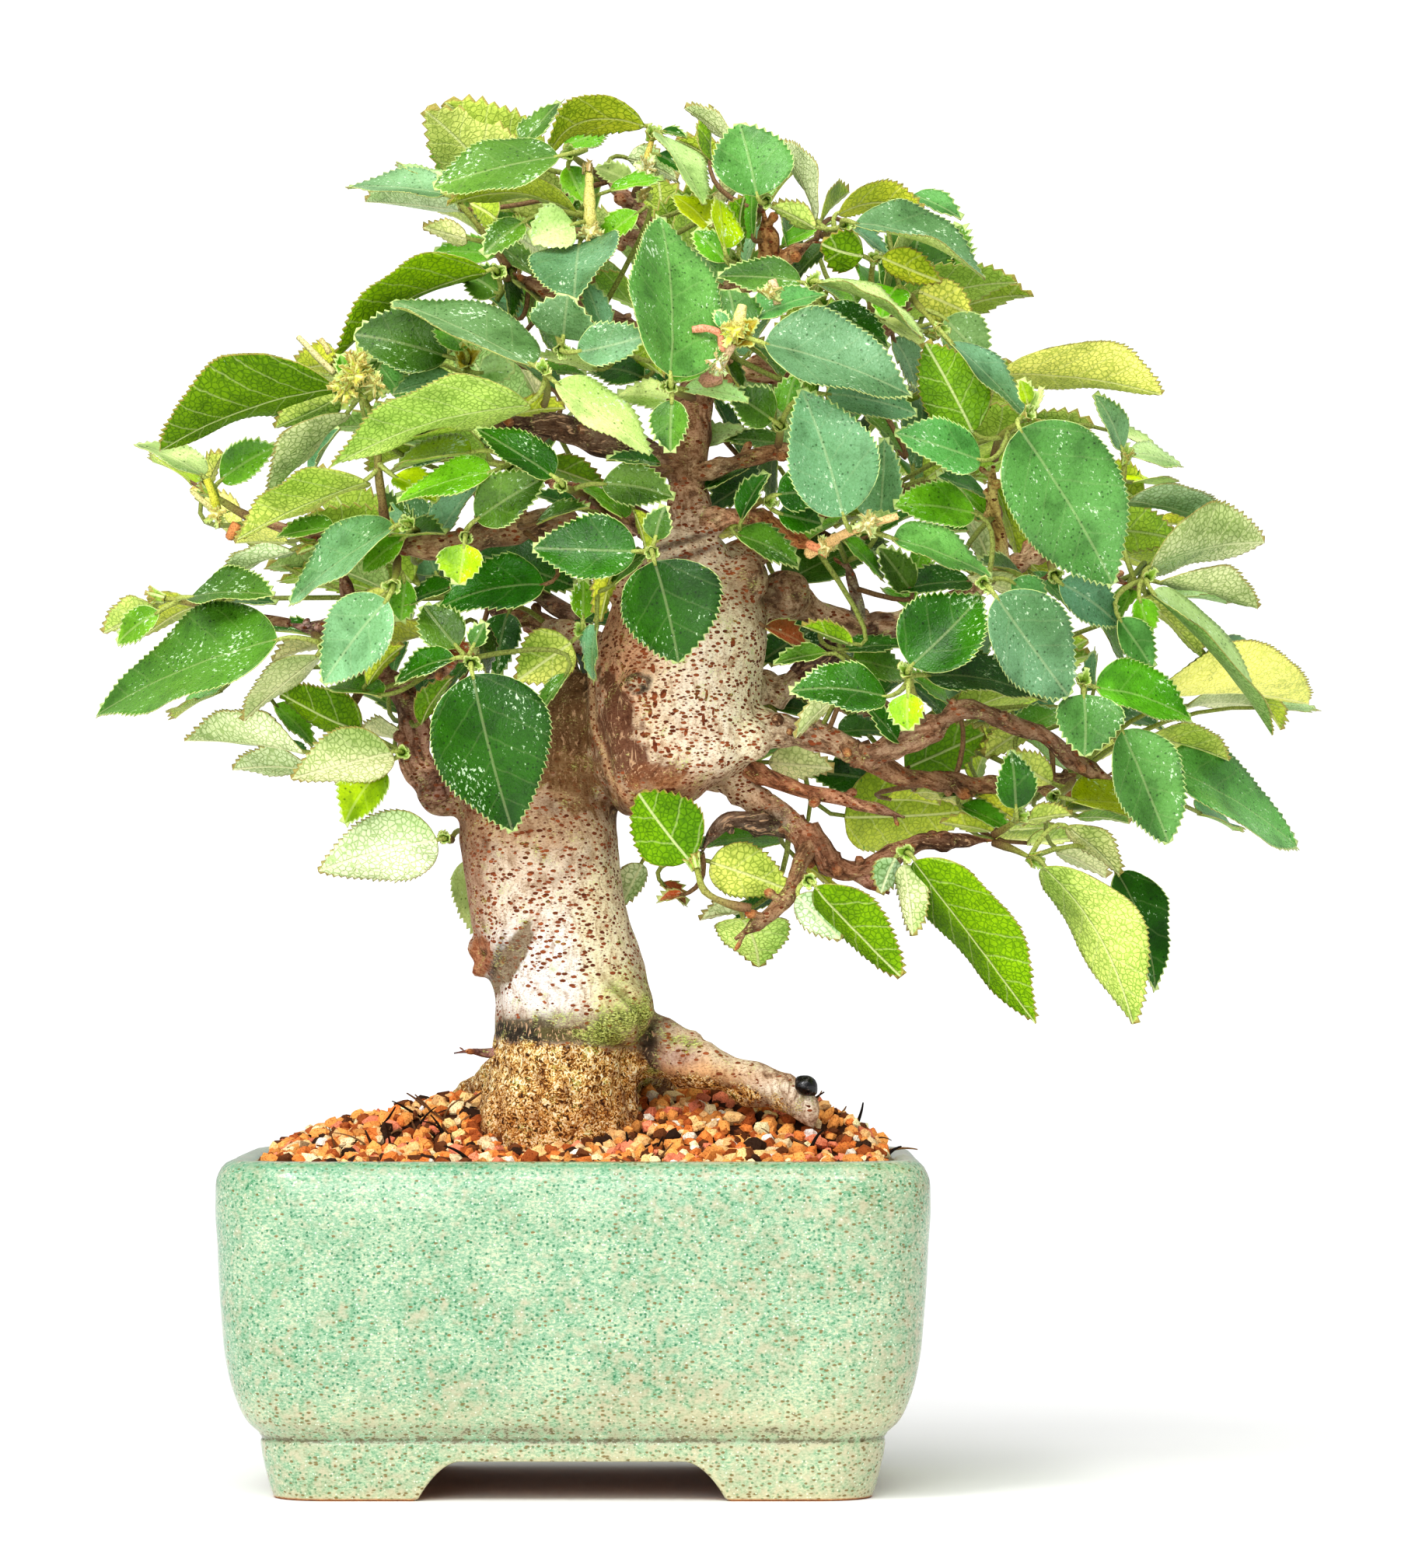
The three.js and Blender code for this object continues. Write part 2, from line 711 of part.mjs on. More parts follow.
// One leaf as a closed solid: a stalk of four sides and a blade folded along its rib and arched, with a
// toothed rim. The top and the underside are split alike.
function leafSolid({ stalk, base, tip, width, facing, fold, arch, plain = false }) {
  const along = tip.clone().sub(base);
  const length = along.length();
  along.normalize();
  const normal = facing.clone().addScaledVector(along, -facing.dot(along)).normalize();
  const side = along.clone().cross(normal);
  const place = (share, across) =>
    base
      .clone()
      .addScaledVector(along, share * length)
      .addScaledVector(side, across)
      .addScaledVector(normal, Math.abs(across) * fold + arch * length * 4 * share * (1 - share));
  const shares = rimShares(length, plain);
  const rim = (sign) =>
    shares.map((share, k) => {
      const bite = k % 2 === 1 ? 0.9 : 1;
      return { share, at: place(share, (sign * width * bite * bladeWidth(share)) / 2) };
    });
  const right = [{ share: 0, at: place(0, STALK_WIDTH / 2) }, ...rim(1)];
  const left = [{ share: 0, at: place(0, -STALK_WIDTH / 2) }, ...rim(-1)];
  const apex = { share: 1, at: place(1, 0) };
  const rib = (length > LONG_LEAF && !plain ? [0.25, 0.7] : [0.45]).map((share) => ({ share, at: place(share, 0) }));

  const points = [...right, apex, ...left.slice().reverse(), ...rib];
  const rimCount = right.length + 1 + left.length;
  const apexIndex = right.length;
  const faces = [];
  const top = [];
  const zip = (rimIndices, flip) => {
    const ribIndices = [...rib.map((_, k) => rimCount + k), apexIndex];
    let [a, b] = [0, 0];
    while (a < rimIndices.length - 1) {
      const moveRib =
        b < ribIndices.length - 1 &&
        (points[ribIndices[b + 1]].share <= points[rimIndices[a + 1]].share || a === rimIndices.length - 2);
      const triangle = moveRib
        ? [rimIndices[a], ribIndices[b + 1], ribIndices[b]]
        : [rimIndices[a], rimIndices[a + 1], ribIndices[b]];
      top.push(flip ? [triangle[0], triangle[2], triangle[1]] : triangle);
      if (moveRib) {
        b += 1;
      } else {
        a += 1;
      }
      if (ribIndices[b] === apexIndex) {
        break;
      }
    }
  };
  const rightIndices = [...right.keys(), apexIndex];
  const leftIndices = [...left.map((_, k) => rimCount - 1 - k), apexIndex];
  zip(rightIndices, false);
  zip(leftIndices, true);
  top.push([rimCount - 1, 0, rimCount]);

  const count = points.length;
  for (const [a, b, c] of top) {
    faces.push(a, b, c, a + count, c + count, b + count);
  }
  for (let i = 0; i + 1 < rimCount; i += 1) {
    faces.push(i, i + count, i + 1 + count, i, i + 1 + count, i + 1);
  }
  const stalkAlong = base.clone().sub(stalk).normalize();
  const stalkNormal = normal.clone().addScaledVector(stalkAlong, -normal.dot(stalkAlong)).normalize();
  const stalkSide = stalkAlong.clone().cross(stalkNormal);
  const foot = [
    [0.5, 0],
    [-0.5, 0],
    [-0.5, -1],
    [0.5, -1],
  ].map(([a, b]) =>
    stalk
      .clone()
      .addScaledVector(stalkSide, a * STALK_WIDTH)
      .addScaledVector(stalkNormal, b * BLADE_THICKNESS),
  );
  const vertices = [
    ...points.map((p) => p.at),
    ...points.map((p) => p.at.clone().addScaledVector(normal, -BLADE_THICKNESS)),
    ...foot,
  ];
  const neck = [0, rimCount - 1, rimCount - 1 + count, count];
  const footStart = 2 * count;
  for (let i = 0; i < 4; i += 1) {
    const next = (i + 1) % 4;
    faces.push(neck[i], neck[next], footStart + next, neck[i], footStart + next, footStart + i);
  }
  faces.push(footStart, footStart + 1, footStart + 2, footStart, footStart + 2, footStart + 3);
  return solidOf(geometryOf(vertices, faces));
}

// How a front leaf lies to the viewer: its width, seen square on, is its length times shape
function facingOf(along, seenWidth, width, under) {
  const front = new THREE.Vector3(0, -1, 0).addScaledVector(along, along.y).normalize();
  const skyward = along.clone().cross(front);
  if (skyward.z < 0) {
    skyward.negate();
  }
  const turn = Math.acos(seenWidth / width);
  const shown = under ? Math.PI - turn : turn;
  return front.multiplyScalar(Math.cos(shown)).addScaledVector(skyward, Math.sin(shown));
}

// The place on a stem that lies nearest to a point
function nearestOnStem(stem, point) {
  let best = stem[0];
  for (let i = 0; i + 1 < stem.length; i += 1) {
    const line = new THREE.Line3(stem[i], stem[i + 1]);
    const here = line.closestPointToPoint(point, true, new THREE.Vector3());
    if (here.distanceTo(point) < best.distanceTo(point)) {
      best = here;
    }
  }
  return best;
}

// A leaf row of the survey: base column and row, tip column and row, depth of the base, depth gained to
// the tip, width seen in photo pixels, what it shows, and its arch where it isn't the usual one
function surveyedLeaf(stem, [column, row, tipColumn, tipRow, depth, dip, seen, look, arch = 0.04]) {
  const base = sight(column, row, depth);
  const tip = sight(tipColumn, tipRow, depth + dip);
  const along = tip.clone().sub(base);
  const length = along.length();
  along.normalize();
  const seenWidth = seen * MM_PER_PX;
  const width = Math.max(seenWidth * 1.04, length * look.shape);
  return leafSolid({
    stalk: nearestOnStem(stem, base.clone().addScaledVector(along, -4)),
    base,
    tip,
    width,
    facing: facingOf(along, seenWidth, width, look.under),
    fold: look.fold,
    arch,
  });
}

// The leafy shoots seen from the front. Each has its stem as photo column, row and depth, and its leaves.
const SHOOTS = {
  far_left: {
    stem: [[322, 666, -35], [300, 654, -36], [272, 636, -38]],
    leaves: [
      [262, 611, 175, 570, -41, -2, 30, FRESH],
      [284, 617, 355, 574, -37, 2, 46, FRESH],
    ],
  },
  far_left_bud: {
    stem: [[264, 779, -38], [235, 773, -39], [212, 770, -40]],
    leaves: [
      [244, 767, 352, 765, -43, 0, 40, DEEP],
      [203, 787, 150, 828, -43, -1, 38, FRESH],
      [200, 778, 133, 812, -38, 0, 32, PALE],
    ],
  },
  far_left_low: {
    stem: [[404, 816, -35.5], [414, 824, -38], [418, 830, -42]],
    leaves: [
      [356, 822, 123, 920, -47, -4, 112, DEEP],
      [408, 842, 312, 925, -38, 2, 36, PALE],
    ],
  },
  left_inner: {
    stem: [[511, 718, -34], [510, 735, -40], [506, 750, -47]],
    leaves: [
      [497, 772, 415, 880, -50, 2, 86, SAGE],
      [498, 757, 457, 800, -41, 2, 22, PALE],
      [520, 745, 515, 800, -38, 2, 36, FRESH],
    ],
  },
  left_end: {
    stem: [[480, 697, -34.5], [450, 694, -36], [405, 700, -37]],
    leaves: [
      [375, 706, 280, 748, -34, 1, 22, OLIVE],
      [428, 678, 355, 690, -41, 0, 26, DEEP],
    ],
  },
  left_front: {
    stem: [[538, 686, -34.5], [535, 682, -38], [528, 676, -43]],
    leaves: [
      [505, 677, 372, 775, -46, 0, 48, DEEP],
      [518, 692, 465, 735, -39, 1, 36, DEEP],
    ],
  },
  left_bud: {
    stem: [[496, 680, -36], [493, 655, -38], [487, 610, -41], [484, 565, -43], [472, 520, -45], [456, 500, -46]],
    leaves: [
      [470, 617, 303, 692, -43, -2, 46, NETTED],
      [446, 530, 345, 640, -41, 2, 26, OLIVE],
      [432, 496, 205, 578, -47, -5, 56, NETTED],
      [436, 508, 353, 548, -42, 2, 32, PALE],
      [448, 488, 438, 455, -47, 0, 20, LIME],
      [466, 486, 490, 462, -47, 0, 18, LIME],
      [507, 568, 618, 548, -41, 2, 30, FRESH],
      [507, 612, 562, 645, -43, 0, 36, FRESH],
    ],
  },
  lime_left: {
    stem: [[600, 694, -33.5], [600, 690, -38], [598, 690, -45]],
    leaves: [
      [597, 700, 590, 752, -50, -1, 56, LIME],
      [612, 668, 703, 612, -48, 0, 62, FRESH],
    ],
  },
  centre_left_bud: {
    stem: [[752, 638, -28.5], [738, 632, -36], [728, 628, -44], [724, 626, -50]],
    leaves: [
      [712, 612, 612, 550, -54, 0, 54, DEEP],
      [775, 622, 868, 640, -38, 0, 52, DEEP],
    ],
  },
  left_arm_spur: {
    stem: [[642, 548, -29.5], [648, 575, -35], [655, 597, -42]],
    leaves: [
      [632, 606, 510, 645, -49, -2, 46, SAGE],
      [606, 580, 505, 602, -39, 1, 30, FRESH],
    ],
  },
  long_left: {
    stem: [[695, 528, -28.5], [702, 515, -38], [704, 498, -48], [700, 478, -56]],
    leaves: [
      [680, 518, 422, 600, -53, -4, 58, NETTED, 0.08],
      [716, 492, 838, 582, -58, 2, 56, SAGE],
      [684, 468, 505, 386, -56, 2, 72, SAGE],
    ],
  },
  crown_left_front: {
    stem: [[706, 388, -20], [712, 412, -28], [718, 434, -38], [722, 448, -45]],
    leaves: [
      [724, 436, 730, 380, -47, -8, 82, SAGE],
      [742, 452, 835, 430, -50, -2, 52, SAGE],
    ],
  },
  top_left_yellow: {
    stem: [[762, 386, -17], [760, 350, -26], [758, 300, -32], [757, 255, -35], [756, 222, -36]],
    leaves: [
      [738, 288, 682, 308, -39, -2, 60, LIME],
      [742, 272, 575, 262, -36, 0, 27, OLIVE, 0.14],
      [745, 312, 738, 388, -36, -12, 112, SAGE],
      [672, 286, 622, 328, -43, -1, 40, DEEP],
    ],
  },
  top_left: {
    stem: [[775, 228, -8], [757, 216, -16], [742, 205, -24], [734, 200, -30]],
    leaves: [
      [718, 200, 557, 240, -50, -2, 72, DEEP],
      [728, 186, 775, 168, -24, 6, 40, SAGE],
      [730, 214, 754, 262, -27, 3, 36, DEEP],
    ],
  },
  top_far_left: {
    stem: [[653, 345, -19.5], [630, 310, -23], [600, 272, -27], [590, 260, -29]],
    leaves: [
      [572, 249, 447, 240, -32, -1, 44, DEEP],
      [568, 238, 512, 212, -27, 2, 24, DEEP],
      [602, 306, 545, 291, -26, 0, 26, PALE],
      [640, 282, 606, 262, -20, 2, 38, OLIVE],
    ],
  },
  crown_left_side: {
    stem: [[652, 358, -21.5], [645, 355, -30], [640, 352, -40]],
    leaves: [
      [625, 348, 425, 470, -45, 0, 46, NETTED, 0.13],
      [640, 378, 596, 352, -36, 0, 45, DEEP],
    ],
  },
  left_cluster: {
    stem: [[593, 502, -28.5], [600, 485, -33], [600, 468, -39]],
    leaves: [
      [575, 458, 455, 430, -42, -8, 80, DEEP],
      [585, 488, 505, 505, -43, -1, 30, SAGE],
      [616, 480, 662, 474, -42, 1, 36, SAGE],
      [598, 450, 560, 405, -43, -1, 40, DEEP],
    ],
  },
  front_heart: {
    stem: [[891, 512, -16], [880, 508, -30], [868, 503, -45], [863, 498, -56]],
    leaves: [
      [863, 482, 850, 278, -60, 0, 112, SAGE],
      [864, 514, 862, 582, -58, 0, 46, FRESH],
      [880, 500, 963, 517, -51, 0, 32, FRESH],
    ],
  },
  crown_front_bud: {
    stem: [[938, 441, -43], [942, 436, -47], [946, 432, -52]],
    leaves: [
      [946, 420, 937, 372, -51, 0, 66, LIME],
      [984, 441, 1174, 509, -58, 1, 86, SAGE],
      [966, 410, 1063, 378, -49, 0, 36, SAGE],
      [930, 422, 922, 398, -56, 0, 18, LIME],
    ],
  },
  top_peak: {
    stem: [[817, 250, -8], [826, 228, -16], [832, 205, -24], [838, 180, -32]],
    leaves: [
      [828, 160, 700, 212, -36, -1, 42, NETTED, 0.32],
      [852, 174, 905, 262, -39, -1, 42, LIME],
      [846, 198, 886, 224, -25, 1, 26, DEEP],
      [812, 232, 766, 214, -22, 0, 28, DEEP],
      [852, 168, 884, 176, -31, 1, 14, SAGE],
    ],
  },
  top_right_big: {
    stem: [[980, 263, -26], [984, 259, -34], [986, 258, -40]],
    leaves: [
      [974, 252, 951, 158, -45, -6, 100, DEEP],
      [948, 184, 882, 137, -36, 0, 14, PALE],
    ],
  },
  top_right_low: {
    stem: [[970, 352, -19], [958, 345, -27], [948, 338, -31]],
    leaves: [
      [950, 320, 955, 254, -33, 1, 30, OLIVE],
      [934, 336, 893, 296, -37, 0, 36, FRESH],
      [932, 318, 925, 256, -41, 0, 34, LIME],
      [920, 300, 866, 250, -33, 0, 40, LIME],
    ],
  },
  top_right: {
    stem: [[1058, 303, -24.5], [1072, 297, -30], [1084, 291, -37]],
    leaves: [
      [1100, 286, 1268, 358, -45, 0, 58, DEEP, 0.1],
      [1078, 272, 1188, 268, -33, 0, 34, OLIVE, 0.14],
      [1052, 284, 1003, 184, -28, 2, 22, OLIVE],
      [1050, 292, 992, 264, -34, 0, 24, PALE],
    ],
  },
  crown_right_mid: {
    stem: [[1122, 428, -15], [1120, 392, -22], [1121, 352, -29], [1123, 338, -34]],
    leaves: [
      [1110, 329, 1056, 313, -37, 0, 52, OLIVE],
      [1135, 330, 1212, 362, -38, 0, 40, NETTED],
    ],
  },
  crown_right_end: {
    stem: [[1166, 392, -15], [1168, 380, -26], [1180, 392, -36], [1205, 420, -45]],
    leaves: [
      [1182, 374, 1249, 404, -31, 0, 52, NETTED],
      [1216, 410, 1268, 462, -39, 1, 58, SAGE],
      [1152, 370, 1134, 408, -34, -2, 50, FRESH],
      [1224, 440, 1322, 537, -50, -2, 38, SAGE],
      [1285, 478, 1494, 505, -45, -1, 46, NETTED],
    ],
  },
  crown_right_front: {
    stem: [[1056, 455, -14.5], [1050, 420, -24], [1046, 388, -34], [1044, 368, -42]],
    leaves: [
      [1056, 362, 1186, 433, -47, -2, 28, LIME, 0.08],
      [1030, 362, 923, 355, -41, 1, 46, SAGE],
      [1060, 396, 1144, 447, -39, 0, 42, DEEP],
    ],
  },
  centre_right: {
    stem: [[1059, 701, -34.5], [1078, 690, -42], [1095, 680, -50]],
    leaves: [
      [1085, 664, 1031, 500, -57, 0, 112, SAGE],
      [1150, 692, 1277, 742, -53, 0, 52, DEEP],
      [1112, 676, 1155, 662, -52, 0, 18, LIME],
    ],
  },
  centre_right_low: {
    stem: [[1001, 573, -26.5], [1003, 560, -31], [1004, 550, -37]],
    leaves: [
      [994, 540, 938, 505, -41, 0, 52, DEEP],
      [1010, 532, 1024, 482, -38, 0, 36, DEEP],
      [1064, 506, 1180, 532, -50, 0, 60, SAGE],
    ],
  },
  centre_dark: {
    stem: [[965, 652, -24.5], [975, 645, -28], [985, 645, -33]],
    leaves: [
      [1000, 636, 1062, 632, -37, 0, 50, DEEP],
      [1002, 660, 1058, 674, -35, 0, 40, DEEP],
    ],
  },
  right_bud: {
    stem: [[1279, 590, -35.5], [1282, 572, -40], [1298, 552, -50], [1316, 540, -55]],
    leaves: [
      [1262, 592, 1151, 556, -52, 0, 62, FRESH],
      [1252, 556, 1190, 440, -45, 0, 82, OLIVE],
      [1316, 556, 1432, 750, -60, 1, 132, DEEP],
      [1322, 520, 1312, 488, -56, 0, 20, LIME],
      [1330, 528, 1341, 498, -56, 0, 14, LIME],
    ],
  },
  right_inner: {
    stem: [[1284, 744, -24], [1275, 748, -36], [1268, 748, -48], [1266, 750, -56]],
    leaves: [
      [1282, 768, 1375, 896, -60, 1, 112, DEEP],
      [1254, 660, 1150, 650, -46, 0, 56, DEEP],
      [1302, 748, 1346, 786, -46, 0, 44, DEEP],
    ],
  },
  right_inner_bud: {
    stem: [[1352, 724, -31], [1353, 732, -38], [1355, 738, -44]],
    leaves: [
      [1364, 750, 1440, 805, -48, 0, 62, SAGE],
    ],
  },
  right_low_bud: {
    stem: [[1186, 926, -41], [1178, 905, -46], [1172, 880, -50], [1168, 868, -53]],
    leaves: [
      [1172, 856, 1262, 765, -56, 1, 102, DEEP],
      [1192, 868, 1345, 900, -51, 0, 66, DEEP],
      [1140, 896, 1016, 889, -53, 0, 60, FRESH],
      [1168, 892, 1168, 940, -56, 0, 43, LIME],
    ],
  },
  right_pair: {
    stem: [[1388, 962, -48], [1392, 930, -50], [1394, 900, -52], [1394, 880, -56]],
    leaves: [
      [1394, 893, 1395, 973, -58, 0, 82, SAGE],
      [1410, 884, 1533, 925, -56, 0, 66, DEEP],
      [1450, 905, 1683, 903, -32, 8, 34, PALE],
    ],
  },
  right_far_bud: {
    stem: [[1458, 752, -37.5], [1468, 748, -40], [1474, 745, -43]],
    leaves: [
      [1490, 748, 1618, 780, -42, 0, 20, PALE],
      [1484, 762, 1639, 944, -49, -5, 42, DEEP],
      [1474, 766, 1548, 845, -41, 1, 26, OLIVE],
      [1466, 770, 1478, 818, -48, 0, 34, FRESH],
      [1440, 796, 1483, 860, -50, 0, 44, SAGE],
      [1478, 728, 1625, 696, -40, 1, 62, NETTED],
      [1452, 640, 1581, 677, -34, 1, 36, OLIVE],
    ],
  },
  right_far_top: {
    stem: [[1440, 640, -36], [1444, 615, -38], [1447, 595, -40]],
    leaves: [
      [1444, 578, 1408, 507, -42, 0, 34, SAGE],
      [1456, 583, 1520, 598, -42, 0, 26, SAGE],
    ],
  },
  right_end: {
    stem: [[1436, 1000, -48], [1442, 985, -50], [1440, 958, -53]],
    leaves: [
      [1444, 940, 1504, 1085, -58, 0, 86, DEEP],
      [1480, 945, 1581, 976, -45, 0, 34, OLIVE],
      [1500, 985, 1669, 1088, -47, -2, 82, DEEP],
    ],
  },
  right_lower_end: {
    stem: [[1380, 1005, -28], [1368, 1018, -34], [1358, 1024, -40]],
    leaves: [
      [1380, 1028, 1488, 1042, -45, 0, 46, LIME],
      [1352, 1006, 1298, 966, -32, 0, 42, PALE],
    ],
  },
  drooping_end: {
    stem: [[1278, 1074, -34], [1292, 1066, -37], [1306, 1056, -41]],
    leaves: [
      [1307, 1040, 1300, 964, -45, -1, 50, DEEP],
      [1322, 1052, 1378, 1046, -43, 0, 24, PALE],
    ],
  },
  hanging_end: {
    stem: [[1278, 1084, -33], [1302, 1092, -37], [1325, 1103, -42]],
    leaves: [
      [1345, 1114, 1459, 1316, -47, -2, 78, NETTED, 0.1],
      [1438, 1122, 1487, 1274, -41, -1, 62, SAGE],
      [1374, 1062, 1441, 1124, -44, 0, 34, PALE],
    ],
  },
  hanging_right: {
    stem: [[1172, 1094, -33.5], [1168, 1095, -38], [1166, 1096, -42]],
    leaves: [
      [1178, 1106, 1334, 1315, -46, -4, 78, NETTED],
      [1165, 1112, 1175, 1204, -41, 0, 42, PALE],
      [1150, 1104, 1132, 1150, -38, 0, 36, PALE],
    ],
  },
  hanging_centre: {
    stem: [[966, 1169, -31.5], [935, 1162, -31], [908, 1148, -30], [896, 1118, -27]],
    leaves: [
      [888, 1106, 822, 1020, -26, 1, 92, NETTED],
      [824, 1110, 795, 1170, 4, 2, 34, PALE],
      [914, 1108, 1016, 1145, -20, 1, 68, NETTED],
      [956, 1180, 976, 1242, -25, 11, 88, PALE],
    ],
  },
  hanging_fork: {
    stem: [[1036, 1128, -31], [1038, 1131, -36], [1040, 1132, -40]],
    leaves: [
      [1050, 1140, 1160, 1255, -43, 0, 66, NETTED],
      [1026, 1152, 1082, 1208, -37, 0, 46, PALE],
    ],
  },
  low_left: {
    stem: [[523, 973, -18.5], [520, 971, -25], [518, 968, -30]],
    leaves: [
      [504, 966, 375, 1000, -33, 0, 66, PALE],
      [492, 988, 443, 1060, -26, 0, 58, LIME],
      [466, 940, 353, 885, -28, 0, 62, OLIVE],
    ],
  },
  low_left_far: {
    stem: [[466, 884, -19], [448, 915, -19], [424, 948, -20], [410, 972, -22]],
    leaves: [
      [392, 966, 238, 950, -25, 0, 34, PALE],
      [396, 986, 300, 988, -20, 0, 36, PALE],
    ],
  },
  trunk_left: {
    stem: [[580, 1080, -7], [577, 1080, -12], [574, 1079, -18]],
    leaves: [
      [562, 1080, 410, 1120, -21, -1, 90, PALE],
      [602, 1106, 610, 1200, 12, 2, 56, LIME],
    ],
  },
  front_low: {
    stem: [[594, 846, -37.5], [600, 846, -42], [604, 848, -47], [606, 853, -51]],
    leaves: [
      [608, 868, 660, 1070, -55, 6, 152, DEEP],
      [584, 846, 508, 878, -46, 0, 30, DEEP],
      [608, 832, 624, 800, -45, 0, 24, FRESH],
      [588, 832, 545, 778, -41, 1, 54, LIME],
    ],
  },
  bulge_left: {
    stem: [[764, 812, -20], [757, 814, -26], [750, 812, -30]],
    leaves: [
      [734, 826, 664, 876, -30, 0, 70, PALE],
      [750, 796, 750, 745, -33, 0, 32, FRESH],
    ],
  },
  bulge_front: {
    stem: [[832, 700, -20.5], [836, 706, -30], [838, 708, -42], [838, 709, -50]],
    leaves: [
      [842, 722, 873, 853, -55, 4, 126, DEEP],
      [818, 709, 685, 705, -52, 0, 82, DEEP],
      [842, 694, 856, 650, -52, 0, 34, FRESH],
    ],
  },
};

function stemSolid(stem) {
  const last = stem.length - 1;
  return limbSolid(
    stem.map((at, i) => ({ at, radius: SHOOT_RADIUS * (1 - 0.4 * (i / last)) })),
    4,
  );
}

function shootSolid({ stem, leaves }) {
  const route = stem.map((place) => sight(...place));
  let shoot = stemSolid(route);
  for (const leaf of leaves) {
    shoot = shoot.add(surveyedLeaf(route, leaf));
  }
  return shoot;
}

// The hidden shoots at the back and on top: limb, place on it, heading in plan, climb, and leaf count
const HIDDEN_SHOOTS = {
  back_left_end: ["back_left_arm", 3, 135, 15, 8],
  back_left_low_end: ["back_left_low", 3, 150, 5, 8],
  back_top_end: ["back_top_arm", 2, 160, 5, 7],
  back_high_end: ["back_high_arm", 3, 95, 20, 8],
  back_right_top_end: ["back_right_top", 2, 50, 0, 8],
  back_right_mid: ["back_right_arm", 2, 125, 50, 7],
  back_right_end: ["back_right_arm", 3, 40, 10, 8],
  back_right_low_end: ["back_right_low", 3, 35, 0, 8],
};

// Leaves set by the golden share on the outer side of a stem, their upper faces to the sky
function hiddenShootSolid([limb, placeIndex, heading, climb, count], seed) {
  const throwDice = dice(seed);
  const [column, row, depth, radius] = LIMBS[limb][placeIndex];
  const rise = THREE.MathUtils.degToRad(climb);
  const turn = THREE.MathUtils.degToRad(heading);
  const along = new THREE.Vector3(
    Math.cos(rise) * Math.cos(turn),
    Math.cos(rise) * Math.sin(turn),
    Math.sin(rise),
  );
  const start = sight(column, row, depth).addScaledVector(along, radius + 0.6);
  const stem = [0, 10, 20].map((distance) => start.clone().addScaledVector(along, distance));
  const across = new THREE.Vector3(0, 0, 1).cross(along).normalize();
  const up = along.clone().cross(across);
  let shoot = stemSolid(stem);
  for (let k = 0; k < count; k += 1) {
    const around = 1.7 * (2 * ((k * GOLDEN_SHARE + 0.5 * throwDice()) % 1) - 1);
    const outward = across
      .clone()
      .multiplyScalar(Math.sin(around))
      .addScaledVector(up, Math.cos(around))
      .addScaledVector(along, 0.7)
      .normalize();
    const origin = start.clone().addScaledVector(along, 2 + (17.5 * k) / (count - 1));
    const length = 18 + 7 * throwDice();
    const base = origin.clone().addScaledVector(outward, 4.5);
    const tip = base.clone().addScaledVector(outward, length);
    shoot = shoot.add(
      leafSolid({
        stalk: origin,
        base,
        tip,
        width: length * DEEP.shape,
        facing: new THREE.Vector3(0, 0, 1).addScaledVector(along, 0.6),
        fold: DEEP.fold,
        arch: 0.1,
        plain: true,
      }),
    );
  }
  return shoot;
}

const bonsai = new THREE.Group();
bonsai.add(meshOf("pot", potSolid(), COLOURS.glaze, 0.25));
bonsai.add(meshOf("soil", soilSolid().subtract(rootHole()), COLOURS.soil, 0.95));
bonsai.add(meshOf("tree", treeSolid(), COLOURS.bark, 0.8));
for (const [name, shoot] of Object.entries(SHOOTS)) {
  const colour = shoot.leaves[0][7].under ? COLOURS.leafPale : COLOURS.leafDeep;
  bonsai.add(meshOf("shoot_" + name, shootSolid(shoot), colour, 0.5));
}
Object.entries(HIDDEN_SHOOTS).forEach(([name, row], i) => {
  bonsai.add(meshOf("shoot_" + name, hiddenShootSolid(row, 90 + i), COLOURS.leafFresh, 0.5));
});

// The origin goes under the middle of the whole outline, on the surface that the feet stand on
const outline = new THREE.Box3().setFromObject(bonsai);
const middle = outline.getCenter(new THREE.Vector3());
bonsai.position.set(-middle.x, -middle.y, -outline.min.z);

export default bonsai;
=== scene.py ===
"""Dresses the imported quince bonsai: glazed pot, granular substrate, barked wood and toothed leaves.

The making works in millimetres about the middle of the pot and turns into the frame's metres at the end.
The wood and the leaves were surveyed along the sight lines of one camera, so each row of the tables below
is a place in its picture (column, row) and a depth behind (+) or before (-) the pot's middle.
"""
import itertools
import logging
import math
from dataclasses import dataclass, field, replace
from enum import Enum
from functools import partial
from typing import Any, Callable, Iterator, Sequence

